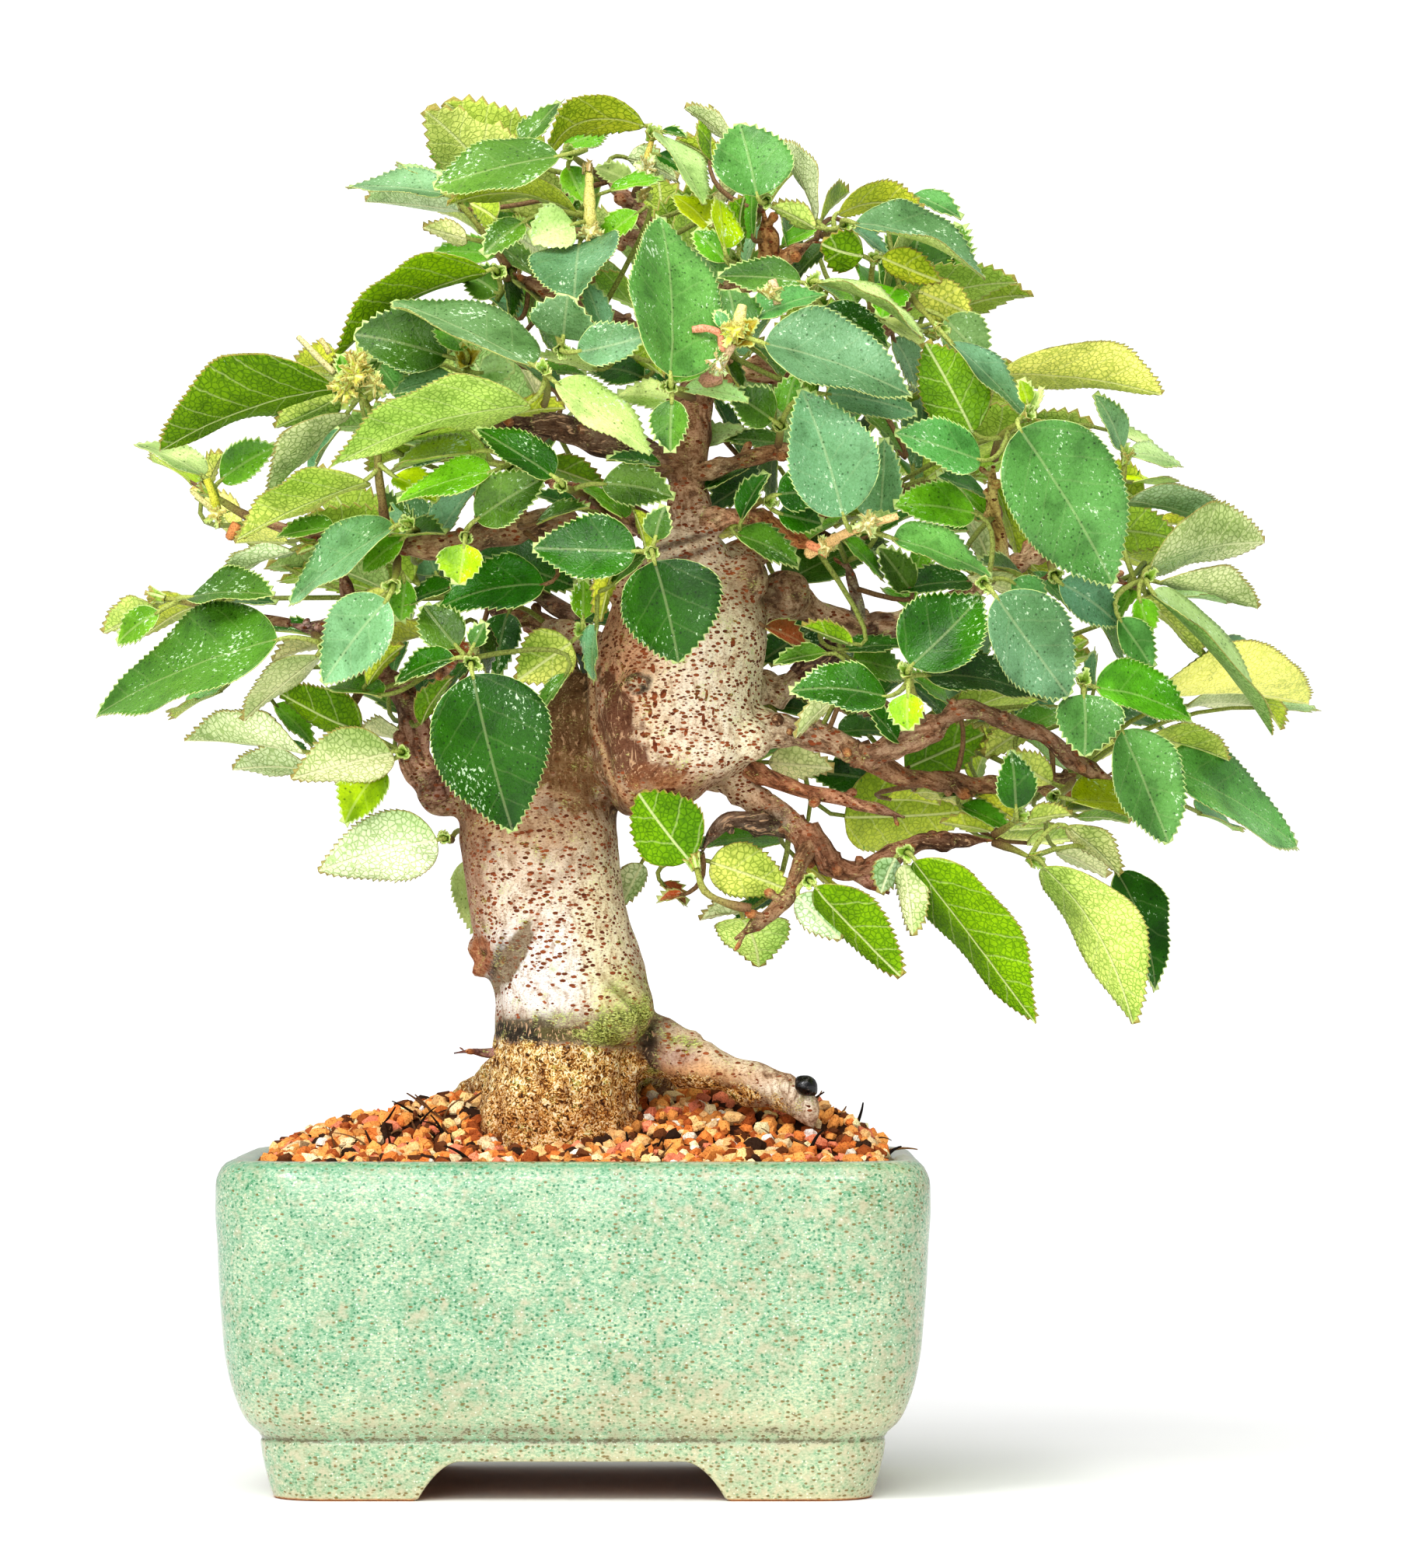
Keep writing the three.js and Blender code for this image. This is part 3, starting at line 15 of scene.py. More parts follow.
import bpy
import numpy as np
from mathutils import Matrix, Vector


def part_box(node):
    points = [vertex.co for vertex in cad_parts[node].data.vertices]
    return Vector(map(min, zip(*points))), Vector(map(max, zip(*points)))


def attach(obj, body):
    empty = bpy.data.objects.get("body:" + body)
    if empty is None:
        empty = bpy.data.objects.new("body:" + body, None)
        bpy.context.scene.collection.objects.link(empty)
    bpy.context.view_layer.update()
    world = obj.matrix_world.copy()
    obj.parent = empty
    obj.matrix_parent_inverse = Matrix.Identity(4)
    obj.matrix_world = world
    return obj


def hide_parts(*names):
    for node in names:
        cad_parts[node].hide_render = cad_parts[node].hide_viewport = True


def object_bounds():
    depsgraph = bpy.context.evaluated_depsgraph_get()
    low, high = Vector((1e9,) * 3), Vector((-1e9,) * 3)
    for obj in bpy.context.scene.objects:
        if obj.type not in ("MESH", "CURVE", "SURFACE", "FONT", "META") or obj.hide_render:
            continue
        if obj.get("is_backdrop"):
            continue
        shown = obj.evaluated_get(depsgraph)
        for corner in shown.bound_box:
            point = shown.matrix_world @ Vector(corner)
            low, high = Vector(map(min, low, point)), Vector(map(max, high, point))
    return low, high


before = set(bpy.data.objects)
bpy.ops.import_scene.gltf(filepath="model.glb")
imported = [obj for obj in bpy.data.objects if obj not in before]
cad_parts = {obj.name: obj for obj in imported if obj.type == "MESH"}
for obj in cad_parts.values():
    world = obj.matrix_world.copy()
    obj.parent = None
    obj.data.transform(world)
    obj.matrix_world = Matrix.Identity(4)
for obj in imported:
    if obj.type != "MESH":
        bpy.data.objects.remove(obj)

LOG = logging.getLogger("quince_bonsai")
Array = np.ndarray
MM = 0.001
CAD_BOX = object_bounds()


@dataclass(frozen=True)
class LeafLook:
    """How a kind of leaf on this tree is coloured and stands.

    upper and lower are the sRGB colours of its two faces, shows_lower tells which face is turned to the
    viewer, shape is its width for its length, and fold is how steeply the halves rise from the rib.
    """

    upper: str
    lower: str
    shows_lower: bool
    shape: float
    fold: float


class Look(Enum):
    """The kinds of leaf read from the crown; the upper colours of SAGE and SILVER hold painted sheen."""

    DARK = LeafLook("#2d6b01", "#9cc040", False, 0.60, 0.22)
    DEEP = LeafLook("#558324", "#bcd65c", False, 0.60, 0.22)
    JADE = LeafLook("#62a04e", "#bcd65c", False, 0.62, 0.22)
    # SAGE and SILVER: pale blue-grey and silvery upper faces, painted sheen for light reflected off the wax.
    SAGE = LeafLook("#78a875", "#c8e088", False, 0.62, 0.22)
    SILVER = LeafLook("#c7e490", "#d0ec90", False, 0.62, 0.22)
    FRESH = LeafLook("#72b520", "#bcd850", False, 0.58, 0.22)
    LIME = LeafLook("#b5d401", "#d0f060", False, 0.70, 0.28)
    NETTED = LeafLook("#62a83c", "#d0dc41", True, 0.56, 0.24)
    GOLD = LeafLook("#62a83c", "#ebfc85", True, 0.56, 0.24)
    OLIVE = LeafLook("#5c9e2c", "#81ae06", True, 0.56, 0.24)
    PALE = LeafLook("#6cb05c", "#effabd", True, 0.56, 0.24)
    DEAD = LeafLook("#a8562c", "#c2854e", False, 0.55, 0.5)


DARK, DEEP, JADE, SAGE, SILVER, FRESH, LIME, NETTED, GOLD, OLIVE, PALE, DEAD = Look

# Limbs by name, from the trunk outwards: column, row and depth in millimetres of each place, and its radius
LIMBS: dict[str, tuple[tuple[float, ...], ...]] = {
    "leader": (
        (888, 725, -12, 4.8), (884, 680, -12, 3.7), (883, 625, -12, 3.3), (889, 570, -11, 3.3),
        (897, 520, -9, 3.1), (898, 465, -5, 2.7), (882, 400, -1, 2.3), (860, 345, 1, 2.0),
        (842, 300, 0, 1.9), (812, 262, -2, 1.8), (783, 233, -4, 1.3),
    ),
    "left_arm": (
        (878, 605, -12, 2.9), (820, 578, -16, 2.8), (755, 562, -20, 2.6), (690, 545, -23, 2.3),
        (635, 530, -25, 1.9), (590, 512, -26, 1.3),
    ),
    "left_low_arm": (
        (862, 700, -14, 2.4), (800, 658, -20, 2.0), (760, 642, -25, 1.4),
    ),
    "left_thick": (
        (812, 765, -14, 3.4), (750, 705, -20, 3.2), (690, 672, -24, 3.0), (640, 682, -27, 2.9),
        (600, 698, -29, 2.7), (555, 706, -30, 2.4), (515, 700, -31, 2.0), (488, 698, -32, 1.5),
    ),
    "far_left_twig": (
        (495, 700, -31, 1.3), (440, 694, -31, 1.1), (380, 684, -32, 0.9), (330, 670, -34, 0.8),
    ),
    "low_left_arm": (
        (625, 1010, -6, 5.2), (572, 1015, -8, 4.4), (545, 1000, -10, 3.4), (535, 965, -13, 2.7),
        (530, 920, -16, 2.6), (512, 882, -19, 2.4), (472, 868, -22, 2.2), (452, 835, -25, 1.6),
        (452, 795, -28, 1.5), (443, 755, -30, 1.3), (436, 728, -31, 1.0),
    ),
    "low_left_spur": (
        (450, 808, -27, 1.5), (425, 806, -30, 1.3), (398, 808, -33, 1.1), (372, 803, -35, 0.8),
    ),
    "bud_twig": (
        (372, 803, -35, 0.8), (320, 792, -36, 0.8), (272, 781, -37, 0.7),
    ),
    "knob": (
        (560, 1010, -10, 3.2), (548, 1024, -13, 3.0), (540, 1030, -15, 1.9),
    ),
    "front_left_twig": (
        (515, 880, -20, 1.7), (560, 860, -28, 1.5), (590, 850, -35, 1.2),
    ),
    "hidden_left_arm": (
        (740, 880, 2, 3.0), (725, 850, 6, 2.6), (745, 810, 8, 2.0), (700, 770, 14, 1.6), (650, 740, 20, 1.2),
    ),
    "right_arm": (
        (960, 950, -14, 4.4), (1005, 938, -21, 3.2), (1050, 945, -26, 2.8), (1090, 964, -28, 2.7),
        (1122, 976, -30, 2.5),
    ),
    "right_arm_upper": (
        (1112, 972, -30, 2.4), (1150, 962, -33, 2.2), (1190, 940, -35, 2.0), (1238, 912, -38, 1.9),
        (1290, 924, -40, 1.7), (1340, 946, -42, 1.6), (1384, 980, -44, 1.6), (1428, 1000, -46, 1.3),
    ),
    "right_arm_lower": (
        (1108, 968, -29, 2.1), (1160, 998, -27, 1.8), (1220, 1006, -25, 1.6), (1290, 1008, -24, 1.5),
        (1345, 1004, -24, 1.4), (1385, 996, -25, 1.2),
    ),
    "drooping_arm": (
        (905, 985, -6, 3.6), (945, 1008, -12, 2.6), (990, 1040, -18, 2.4), (1045, 1083, -24, 2.3),
        (1072, 1112, -26, 2.0), (1098, 1122, -27, 1.9), (1135, 1103, -28, 1.8), (1175, 1085, -29, 1.7),
        (1225, 1080, -30, 1.5), (1270, 1080, -31, 1.1),
    ),
    "drooping_stub": (
        (1095, 1122, -27, 1.3), (1120, 1138, -28, 1.1), (1145, 1149, -29, 1.0),
    ),
    "drooping_fork": (
        (1040, 1085, -24, 1.9), (1026, 1120, -27, 1.5), (1012, 1155, -28, 1.4), (985, 1180, -29, 1.3),
        (946, 1208, -30, 0.9),
    ),
    "knobbly_twig": (
        (1015, 1068, -20, 1.7), (975, 1060, -22, 1.7), (935, 1055, -23, 1.4), (912, 1078, -23, 1.0),
        (903, 1098, -23, 0.8),
    ),
    "red_twig": (
        (955, 985, -14, 2.0), (1000, 1006, -20, 1.5), (1045, 1020, -23, 1.3), (1090, 1030, -25, 1.1),
        (1165, 1052, -28, 0.9),
    ),
    "shoulder_arm": (
        (960, 770, -8, 4.6), (1015, 772, -7, 4.2), (1050, 790, -6, 2.8), (1105, 803, -5, 2.5),
        (1165, 800, -6, 2.3), (1225, 775, -10, 2.0), (1290, 735, -18, 1.7), (1345, 712, -26, 1.8),
        (1400, 728, -32, 1.4), (1450, 752, -36, 1.3),
    ),
    "pale_twig": (
        (1290, 735, -18, 1.5), (1285, 690, -24, 1.3), (1275, 640, -29, 1.1), (1278, 600, -33, 1.0),
    ),
    "shoulder_brace": (
        (990, 905, 0, 2.6), (1030, 865, -1, 2.2), (1075, 832, -3, 1.9), (1130, 808, -5, 1.6),
    ),
    "inner_twig": (
        (1105, 800, -5, 1.2), (1100, 765, -9, 1.0), (1088, 722, -14, 0.9),
    ),
    "orange_arm": (
        (895, 672, -13, 2.0), (945, 665, -20, 1.7), (985, 674, -25, 1.6), (1020, 692, -29, 1.5),
        (1050, 706, -32, 1.4),
    ),
    "high_right_arm": (
        (893, 612, -12, 1.9), (935, 600, -17, 1.6), (985, 585, -22, 1.5), (1030, 588, -25, 1.3),
        (1050, 625, -27, 1.0),
    ),
    "crown_right_arm": (
        (900, 500, -7, 2.5), (950, 480, -8, 2.4), (1010, 475, -9, 2.1), (1060, 470, -10, 1.8),
        (1120, 440, -11, 1.4), (1165, 400, -12, 1.0),
    ),
    "crown_front_spur": (
        (898, 500, -9, 2.2), (910, 480, -20, 2.1), (925, 460, -32, 1.8), (935, 448, -40, 1.4),
    ),
    "crown_left_arm": (
        (896, 480, -6, 2.2), (830, 430, -10, 1.9), (765, 400, -13, 1.7), (705, 375, -16, 1.4),
        (660, 352, -18, 1.0),
    ),
    "crown_top_twig": (
        (885, 408, -1, 2.0), (935, 375, -8, 1.8), (985, 345, -14, 1.8), (988, 300, -20, 1.9),
        (980, 272, -23, 1.4),
    ),
    "crown_right_twig": (
        (985, 345, -14, 1.6), (1020, 325, -19, 1.3), (1050, 308, -23, 1.0),
    ),
    "back_left_arm": (
        (880, 700, -6, 3.0), (820, 670, 14, 2.4), (750, 640, 26, 1.8), (700, 615, 32, 1.2),
    ),
    "back_left_low": (
        (770, 830, -2, 3.0), (700, 805, 14, 2.2), (640, 780, 24, 1.6), (610, 768, 28, 1.1),
    ),
    "back_top_arm": (
        (850, 322, 1, 1.9), (815, 305, 6, 1.5), (785, 300, 10, 1.1),
    ),
    "back_high_arm": (
        (896, 560, -8, 2.6), (890, 510, 10, 2.1), (880, 460, 24, 1.6), (872, 425, 31, 1.1),
    ),
    "back_right_top": (
        (1010, 475, -9, 2.1), (1050, 445, 4, 1.7), (1095, 415, 14, 1.2),
    ),
    "back_right_arm": (
        (915, 735, -9, 3.2), (1010, 685, 14, 2.5), (1085, 650, 26, 1.9), (1140, 630, 34, 1.2),
    ),
    "back_right_low": (
        (960, 880, -4, 3.2), (1040, 890, 16, 2.5), (1120, 910, 26, 1.9), (1180, 930, 32, 1.2),
    ),
    "foot_twig": (
        (650, 1352, -8, 1.0), (625, 1354, -10, 0.8), (604, 1352, -12, 0.6), (584, 1355, -13, 0.5),
    ),
}

# Level slices of the thick wood: row, left and right column, middle depth and half depth in millimetres
LOWER_TRUNK = (
    (1520, 604, 836, -5, 17), (1465, 612, 824, -5, 16), (1420, 622, 817, -5, 15.5), (1375, 635, 815, -5, 15),
    (1335, 637, 822, -5, 15), (1300, 633, 842, -5, 15), (1260, 624, 836, -5, 15), (1200, 612, 818, -5, 15),
    (1150, 604, 806, -5, 14.5), (1100, 595, 798, -5, 14.5), (1060, 589, 792, -5, 14),
    (1020, 587, 792, -4, 13.5), (985, 596, 800, -3, 13), (945, 630, 815, -2, 12), (905, 685, 830, -1, 11),
    (868, 722, 840, 0, 9),
)
UPPER_BULGE = (
    (1050, 805, 842, -12, 6), (1034, 788, 884, -12, 11), (1012, 776, 912, -12, 14), (985, 766, 964, -12, 16),
    (950, 760, 982, -12, 17), (905, 756, 977, -12, 17), (865, 760, 980, -12, 16.5), (825, 768, 989, -12, 16),
    (785, 782, 988, -12, 14), (750, 796, 975, -12, 11.5), (720, 814, 945, -12, 8.5), (690, 842, 928, -12, 6),
)
# Places of the roots as in LIMBS, and of round knots with their radius
SIDE_ROOT = (
    (770, 1345, -4, 6.2), (850, 1352, -6, 5.8), (900, 1370, -9, 4.6), (950, 1388, -12, 3.8),
    (1000, 1402, -15, 3.2), (1032, 1422, -17, 2.3), (1050, 1456, -17, 1.2),
)
BACK_ROOTS = (
    ((720, 1370, 2, 6.5), (650, 1395, 16, 4.8), (590, 1425, 26, 3.2), (550, 1450, 32, 2)),
    ((760, 1370, 4, 6.5), (830, 1385, 18, 4.6), (880, 1415, 28, 3.2), (915, 1445, 33, 2)),
)
KNOTS = (
    (820, 885, -26.5, 3), (617, 1221, -8, 2.2), (625, 1242, -8, 2.0), (960, 745, -18, 4.2),
    (1010, 765, -11, 4.6), (965, 952, -22, 3.6), (800, 1305, -15, 5.5), (478, 868, -22, 3.4),
)

# Shoots by name: the places of the stem, and the leaves. A leaf is its base's column and row, its tip's, the
# depth, how much deeper the tip lies, the width seen in pixels, its look, and its arch where that isn't 0.04
SHOOTS: dict[str, tuple] = {
    "far_left": (((322, 666, -35), (300, 654, -36), (272, 636, -38)), (
        (262, 611, 175, 570, -41, -2, 30, SILVER), (284, 617, 355, 574, -37, 2, 46, FRESH),
    )),
    "far_left_bud": (((264, 779, -38), (235, 773, -39), (212, 770, -40)), (
        (244, 767, 352, 765, -43, 0, 40, DEEP), (203, 787, 150, 828, -43, -1, 38, FRESH),
        (200, 778, 133, 812, -38, 0, 32, GOLD),
    )),
    "far_left_low": (((404, 816, -35.5), (414, 824, -38), (418, 830, -42)), (
        (356, 822, 123, 920, -47, -4, 112, DEEP), (408, 842, 312, 925, -38, 2, 36, PALE),
    )),
    "left_inner": (((511, 718, -34), (510, 735, -40), (506, 750, -47)), (
        (497, 772, 415, 880, -50, 2, 86, SAGE), (498, 757, 457, 800, -41, 2, 22, GOLD),
        (520, 745, 515, 800, -38, 2, 36, FRESH),
    )),
    "left_end": (((480, 697, -34.5), (450, 694, -36), (405, 700, -37)), (
        (375, 706, 280, 748, -34, 1, 22, PALE), (428, 678, 355, 690, -41, 0, 26, DEEP),
    )),
    "left_front": (((538, 686, -34.5), (535, 682, -38), (528, 676, -43)), (
        (505, 677, 372, 775, -46, 0, 48, SAGE), (518, 692, 465, 735, -39, 1, 36, FRESH),
    )),
    "left_bud": ((
        (496, 680, -36), (493, 655, -38), (487, 610, -41), (484, 565, -43), (472, 520, -45), (456, 500, -46),
    ), (
        (470, 617, 303, 692, -43, -2, 46, GOLD), (446, 530, 345, 640, -41, 2, 26, PALE),
        (432, 496, 205, 578, -47, -5, 56, OLIVE), (436, 508, 353, 548, -42, 2, 32, GOLD),
        (448, 488, 438, 455, -47, 0, 20, FRESH), (466, 486, 490, 462, -47, 0, 18, DEEP),
        (507, 568, 618, 548, -41, 2, 30, LIME), (507, 612, 562, 645, -43, 0, 36, LIME),
    )),
    "lime_left": (((600, 694, -33.5), (600, 690, -38), (598, 690, -45)), (
        (597, 700, 590, 752, -50, -1, 56, LIME), (612, 668, 703, 612, -48, 0, 62, DEEP),
    )),
    "centre_left_bud": (((752, 638, -28.5), (738, 632, -36), (728, 628, -44), (724, 626, -50)), (
        (712, 612, 612, 550, -54, 0, 54, DARK), (775, 622, 868, 640, -38, 0, 52, DEEP),
    )),
    "left_arm_spur": (((642, 548, -29.5), (648, 575, -35), (655, 597, -42)), (
        (632, 606, 510, 645, -49, -2, 46, FRESH), (606, 580, 505, 602, -39, 1, 30, LIME),
    )),
    "long_left": (((695, 528, -28.5), (702, 515, -38), (704, 498, -48), (700, 478, -56)), (
        (680, 518, 422, 600, -53, -4, 58, GOLD, 0.08), (716, 492, 838, 582, -58, 2, 56, SILVER),
        (684, 468, 505, 386, -56, 2, 72, SAGE),
    )),
    "crown_left_front": (((706, 388, -20), (712, 412, -28), (718, 434, -38), (722, 448, -45)), (
        (724, 436, 730, 380, -47, -8, 82, SAGE), (742, 452, 835, 430, -50, -2, 52, SAGE),
    )),
    "top_left_yellow": ((
        (762, 386, -17), (760, 350, -26), (758, 300, -32), (757, 255, -35), (756, 222, -36),
    ), (
        (738, 288, 682, 308, -39, -2, 60, SILVER), (742, 272, 575, 262, -36, 0, 27, NETTED, 0.14),
        (745, 312, 738, 388, -36, -12, 112, SAGE), (672, 286, 622, 328, -43, -1, 40, DEEP),
    )),
    "top_left": (((775, 228, -8), (757, 216, -16), (742, 205, -24), (734, 200, -30)), (
        (718, 200, 557, 240, -50, -2, 72, DEEP), (728, 186, 775, 168, -24, 6, 40, FRESH),
        (730, 214, 754, 262, -27, 3, 36, FRESH),
    )),
    "top_far_left": (((653, 345, -19.5), (630, 310, -23), (600, 272, -27), (590, 260, -29)), (
        (572, 249, 447, 240, -32, -1, 44, SAGE), (568, 238, 512, 212, -27, 2, 24, SILVER),
        (602, 306, 545, 291, -26, 0, 26, PALE), (640, 282, 606, 262, -20, 2, 38, NETTED),
    )),
    "crown_left_side": (((652, 358, -21.5), (645, 355, -30), (640, 352, -40)), (
        (625, 348, 425, 470, -45, 0, 46, OLIVE, 0.13), (640, 378, 596, 352, -36, 0, 45, DEEP),
    )),
    "left_cluster": (((593, 502, -28.5), (600, 485, -33), (600, 468, -39)), (
        (575, 458, 455, 430, -42, -8, 80, DEEP), (585, 488, 505, 505, -43, -1, 30, SAGE),
        (616, 480, 662, 474, -42, 1, 36, SILVER), (598, 450, 560, 405, -43, -1, 40, FRESH),
    )),
    "front_heart": (((891, 512, -16), (880, 508, -30), (868, 503, -45), (863, 498, -56)), (
        (863, 482, 850, 278, -60, 0, 112, JADE), (864, 514, 862, 582, -58, 0, 46, DEEP),
        (880, 500, 963, 517, -51, 0, 32, SILVER),
    )),
    "crown_front_bud": (((938, 441, -43), (942, 436, -47), (946, 432, -52)), (
        (946, 420, 937, 372, -51, 0, 66, JADE), (984, 441, 1174, 509, -58, 1, 86, SAGE),
        (966, 410, 1063, 378, -49, 0, 36, JADE), (930, 422, 922, 398, -56, 0, 18, JADE),
    )),
    "top_peak": (((817, 250, -8), (826, 228, -16), (832, 205, -24), (838, 180, -32)), (
        (828, 160, 700, 212, -36, -1, 42, NETTED, 0.32), (852, 174, 905, 262, -39, -1, 42, SILVER),
        (846, 198, 886, 224, -25, 1, 26, DARK), (812, 232, 766, 214, -22, 0, 28, SILVER),
        (852, 168, 884, 176, -31, 1, 14, DARK),
    )),
    "top_right_big": (((980, 263, -26), (984, 259, -34), (986, 258, -40)), (
        (974, 252, 951, 158, -45, -6, 100, JADE), (948, 184, 882, 137, -36, 0, 14, PALE),
    )),
    "top_right_low": (((970, 352, -19), (958, 345, -27), (948, 338, -31)), (
        (950, 320, 955, 254, -33, 1, 30, OLIVE), (934, 336, 893, 296, -37, 0, 36, FRESH),
        (932, 318, 925, 256, -41, 0, 34, LIME), (920, 300, 866, 250, -33, 0, 40, LIME),
    )),
    "top_right": (((1058, 303, -24.5), (1072, 297, -30), (1084, 291, -37)), (
        (1100, 286, 1268, 358, -45, 0, 58, SAGE, 0.1), (1078, 272, 1188, 268, -33, 0, 34, NETTED, 0.14),
        (1052, 284, 1003, 184, -28, 2, 22, PALE), (1050, 292, 992, 264, -34, 0, 24, GOLD),
    )),
    "crown_right_mid": (((1122, 428, -15), (1120, 392, -22), (1121, 352, -29), (1123, 338, -34)), (
        (1110, 329, 1056, 313, -37, 0, 52, OLIVE), (1135, 330, 1212, 362, -38, 0, 40, NETTED),
    )),
    "crown_right_end": (((1166, 392, -15), (1168, 380, -26), (1180, 392, -36), (1205, 420, -45)), (
        (1182, 374, 1249, 404, -31, 0, 52, GOLD), (1216, 410, 1268, 462, -39, 1, 58, SAGE),
        (1152, 370, 1134, 408, -34, -2, 50, FRESH), (1224, 440, 1322, 537, -50, -2, 38, SAGE),
        (1285, 478, 1494, 505, -45, -1, 46, GOLD),
    )),
    "crown_right_front": (((1056, 455, -14.5), (1050, 420, -24), (1046, 388, -34), (1044, 368, -42)), (
        (1056, 362, 1186, 433, -47, -2, 28, SILVER, 0.08), (1030, 362, 923, 355, -41, 1, 46, DEEP),
        (1060, 396, 1144, 447, -39, 0, 42, DARK),
    )),
    "centre_right": (((1059, 701, -34.5), (1078, 690, -42), (1095, 680, -50)), (
        (1085, 664, 1031, 500, -57, 0, 112, SAGE), (1150, 692, 1277, 742, -53, 0, 52, JADE),
        (1112, 676, 1155, 662, -52, 0, 18, SILVER),
    )),
    "centre_right_low": (((1001, 573, -26.5), (1003, 560, -31), (1004, 550, -37)), (
        (994, 540, 938, 505, -41, 0, 52, DEEP), (1010, 532, 1024, 482, -38, 0, 36, FRESH),
        (1064, 506, 1180, 532, -50, 0, 60, SAGE),
    )),
    "centre_dark": (((965, 652, -24.5), (975, 645, -28), (985, 645, -33)), (
        (1000, 636, 1062, 632, -37, 0, 50, DARK), (1002, 660, 1058, 674, -35, 0, 40, DARK),
    )),
    "right_bud": (((1279, 590, -35.5), (1282, 572, -40), (1298, 552, -50), (1316, 540, -55)), (
        (1262, 592, 1151, 556, -52, 0, 62, JADE), (1252, 556, 1190, 440, -45, 0, 82, OLIVE),
        (1312, 552, 1432, 752, -60, 1, 150, JADE), (1322, 520, 1312, 488, -56, 0, 20, LIME),
        (1330, 528, 1341, 498, -56, 0, 14, SILVER),
    )),
    "right_inner": (((1284, 744, -24), (1275, 748, -36), (1268, 748, -48), (1266, 750, -56)), (
        (1282, 768, 1375, 896, -60, 1, 112, SAGE), (1254, 660, 1150, 650, -46, 0, 56, FRESH),
        (1302, 748, 1346, 786, -46, 0, 44, JADE),
    )),
    "right_inner_bud": (((1352, 724, -31), (1353, 732, -38), (1355, 738, -44)), (
        (1364, 750, 1440, 805, -48, 0, 62, SAGE),
    )),
    "right_low_bud": (((1186, 926, -41), (1178, 905, -46), (1172, 880, -50), (1168, 868, -53)), (
        (1172, 856, 1262, 765, -56, 1, 102, DARK), (1192, 868, 1345, 900, -51, 0, 66, DARK),
        (1140, 896, 1016, 889, -53, 0, 60, DARK), (1168, 892, 1168, 940, -56, 0, 43, LIME),
    )),
    "right_pair": (((1388, 962, -48), (1392, 930, -50), (1394, 900, -52), (1394, 880, -56)), (
        (1394, 893, 1395, 973, -58, 0, 82, JADE), (1410, 884, 1533, 925, -56, 0, 66, FRESH),
        (1450, 905, 1683, 903, -32, 8, 34, GOLD),
    )),
    "right_far_bud": (((1458, 752, -37.5), (1468, 748, -40), (1474, 745, -43)), (
        (1490, 748, 1618, 780, -42, 0, 20, PALE), (1484, 762, 1639, 944, -49, -5, 42, SILVER),
        (1474, 766, 1548, 845, -41, 1, 26, GOLD), (1466, 770, 1478, 818, -48, 0, 34, FRESH),
        (1440, 796, 1483, 860, -50, 0, 44, JADE), (1478, 728, 1625, 696, -40, 1, 62, PALE),
        (1452, 640, 1581, 677, -34, 1, 36, PALE),
    )),
    "right_far_top": (((1440, 640, -36), (1444, 615, -38), (1447, 595, -40)), (
        (1444, 578, 1408, 507, -42, 0, 34, SAGE), (1456, 583, 1520, 598, -42, 0, 26, SILVER),
    )),
    "right_end": (((1436, 1000, -48), (1442, 985, -50), (1440, 958, -53)), (
        (1444, 940, 1504, 1085, -58, 0, 86, JADE), (1480, 945, 1581, 976, -45, 0, 34, GOLD),
        (1500, 985, 1669, 1088, -47, -2, 82, JADE),
    )),
    "right_lower_end": (((1380, 1005, -28), (1368, 1018, -34), (1358, 1024, -40)), (
        (1380, 1028, 1488, 1042, -45, 0, 46, LIME), (1352, 1006, 1298, 966, -32, 0, 42, GOLD),
    )),
    "drooping_end": (((1278, 1074, -34), (1292, 1066, -37), (1306, 1056, -41)), (
        (1307, 1040, 1300, 964, -45, -1, 50, DARK), (1322, 1052, 1378, 1046, -43, 0, 24, GOLD),
    )),
    "hanging_end": (((1278, 1084, -33), (1302, 1092, -37), (1325, 1103, -42)), (
        (1345, 1114, 1459, 1316, -47, -2, 78, GOLD, 0.1), (1438, 1122, 1487, 1274, -41, -1, 62, DARK),
        (1374, 1062, 1441, 1124, -44, 0, 34, PALE),
    )),
    "hanging_right": (((1172, 1094, -33.5), (1168, 1095, -38), (1166, 1096, -42)), (
        (1178, 1106, 1334, 1315, -46, -4, 78, OLIVE), (1165, 1112, 1175, 1204, -41, 0, 42, PALE),
        (1150, 1104, 1132, 1150, -38, 0, 36, PALE),
    )),
    "hanging_centre": (((966, 1169, -31.5), (935, 1162, -31), (908, 1148, -30), (896, 1118, -27)), (
        (888, 1106, 822, 1020, -26, 1, 92, OLIVE), (824, 1110, 795, 1170, 4, 2, 34, PALE),
        (914, 1108, 1016, 1145, -20, 1, 68, GOLD), (956, 1180, 976, 1242, -25, 11, 88, GOLD),
    )),
    "hanging_fork": (((1036, 1128, -31), (1038, 1131, -36), (1040, 1132, -40)), (
        (1050, 1140, 1160, 1255, -43, 0, 66, OLIVE), (1026, 1152, 1082, 1208, -37, 0, 46, PALE),
    )),
    "low_left": (((523, 973, -18.5), (520, 971, -25), (518, 968, -30)), (
        (504, 966, 375, 1000, -33, 0, 66, PALE), (492, 988, 443, 1060, -26, 0, 58, LIME),
        (466, 940, 353, 885, -28, 0, 62, OLIVE),
    )),
    "low_left_far": (((466, 884, -19), (448, 915, -19), (424, 948, -20), (410, 972, -22)), (
        (392, 966, 238, 950, -25, 0, 34, PALE), (396, 986, 300, 988, -20, 0, 36, PALE),
    )),
    "trunk_left": (((580, 1080, -7), (577, 1080, -12), (574, 1079, -18)), (
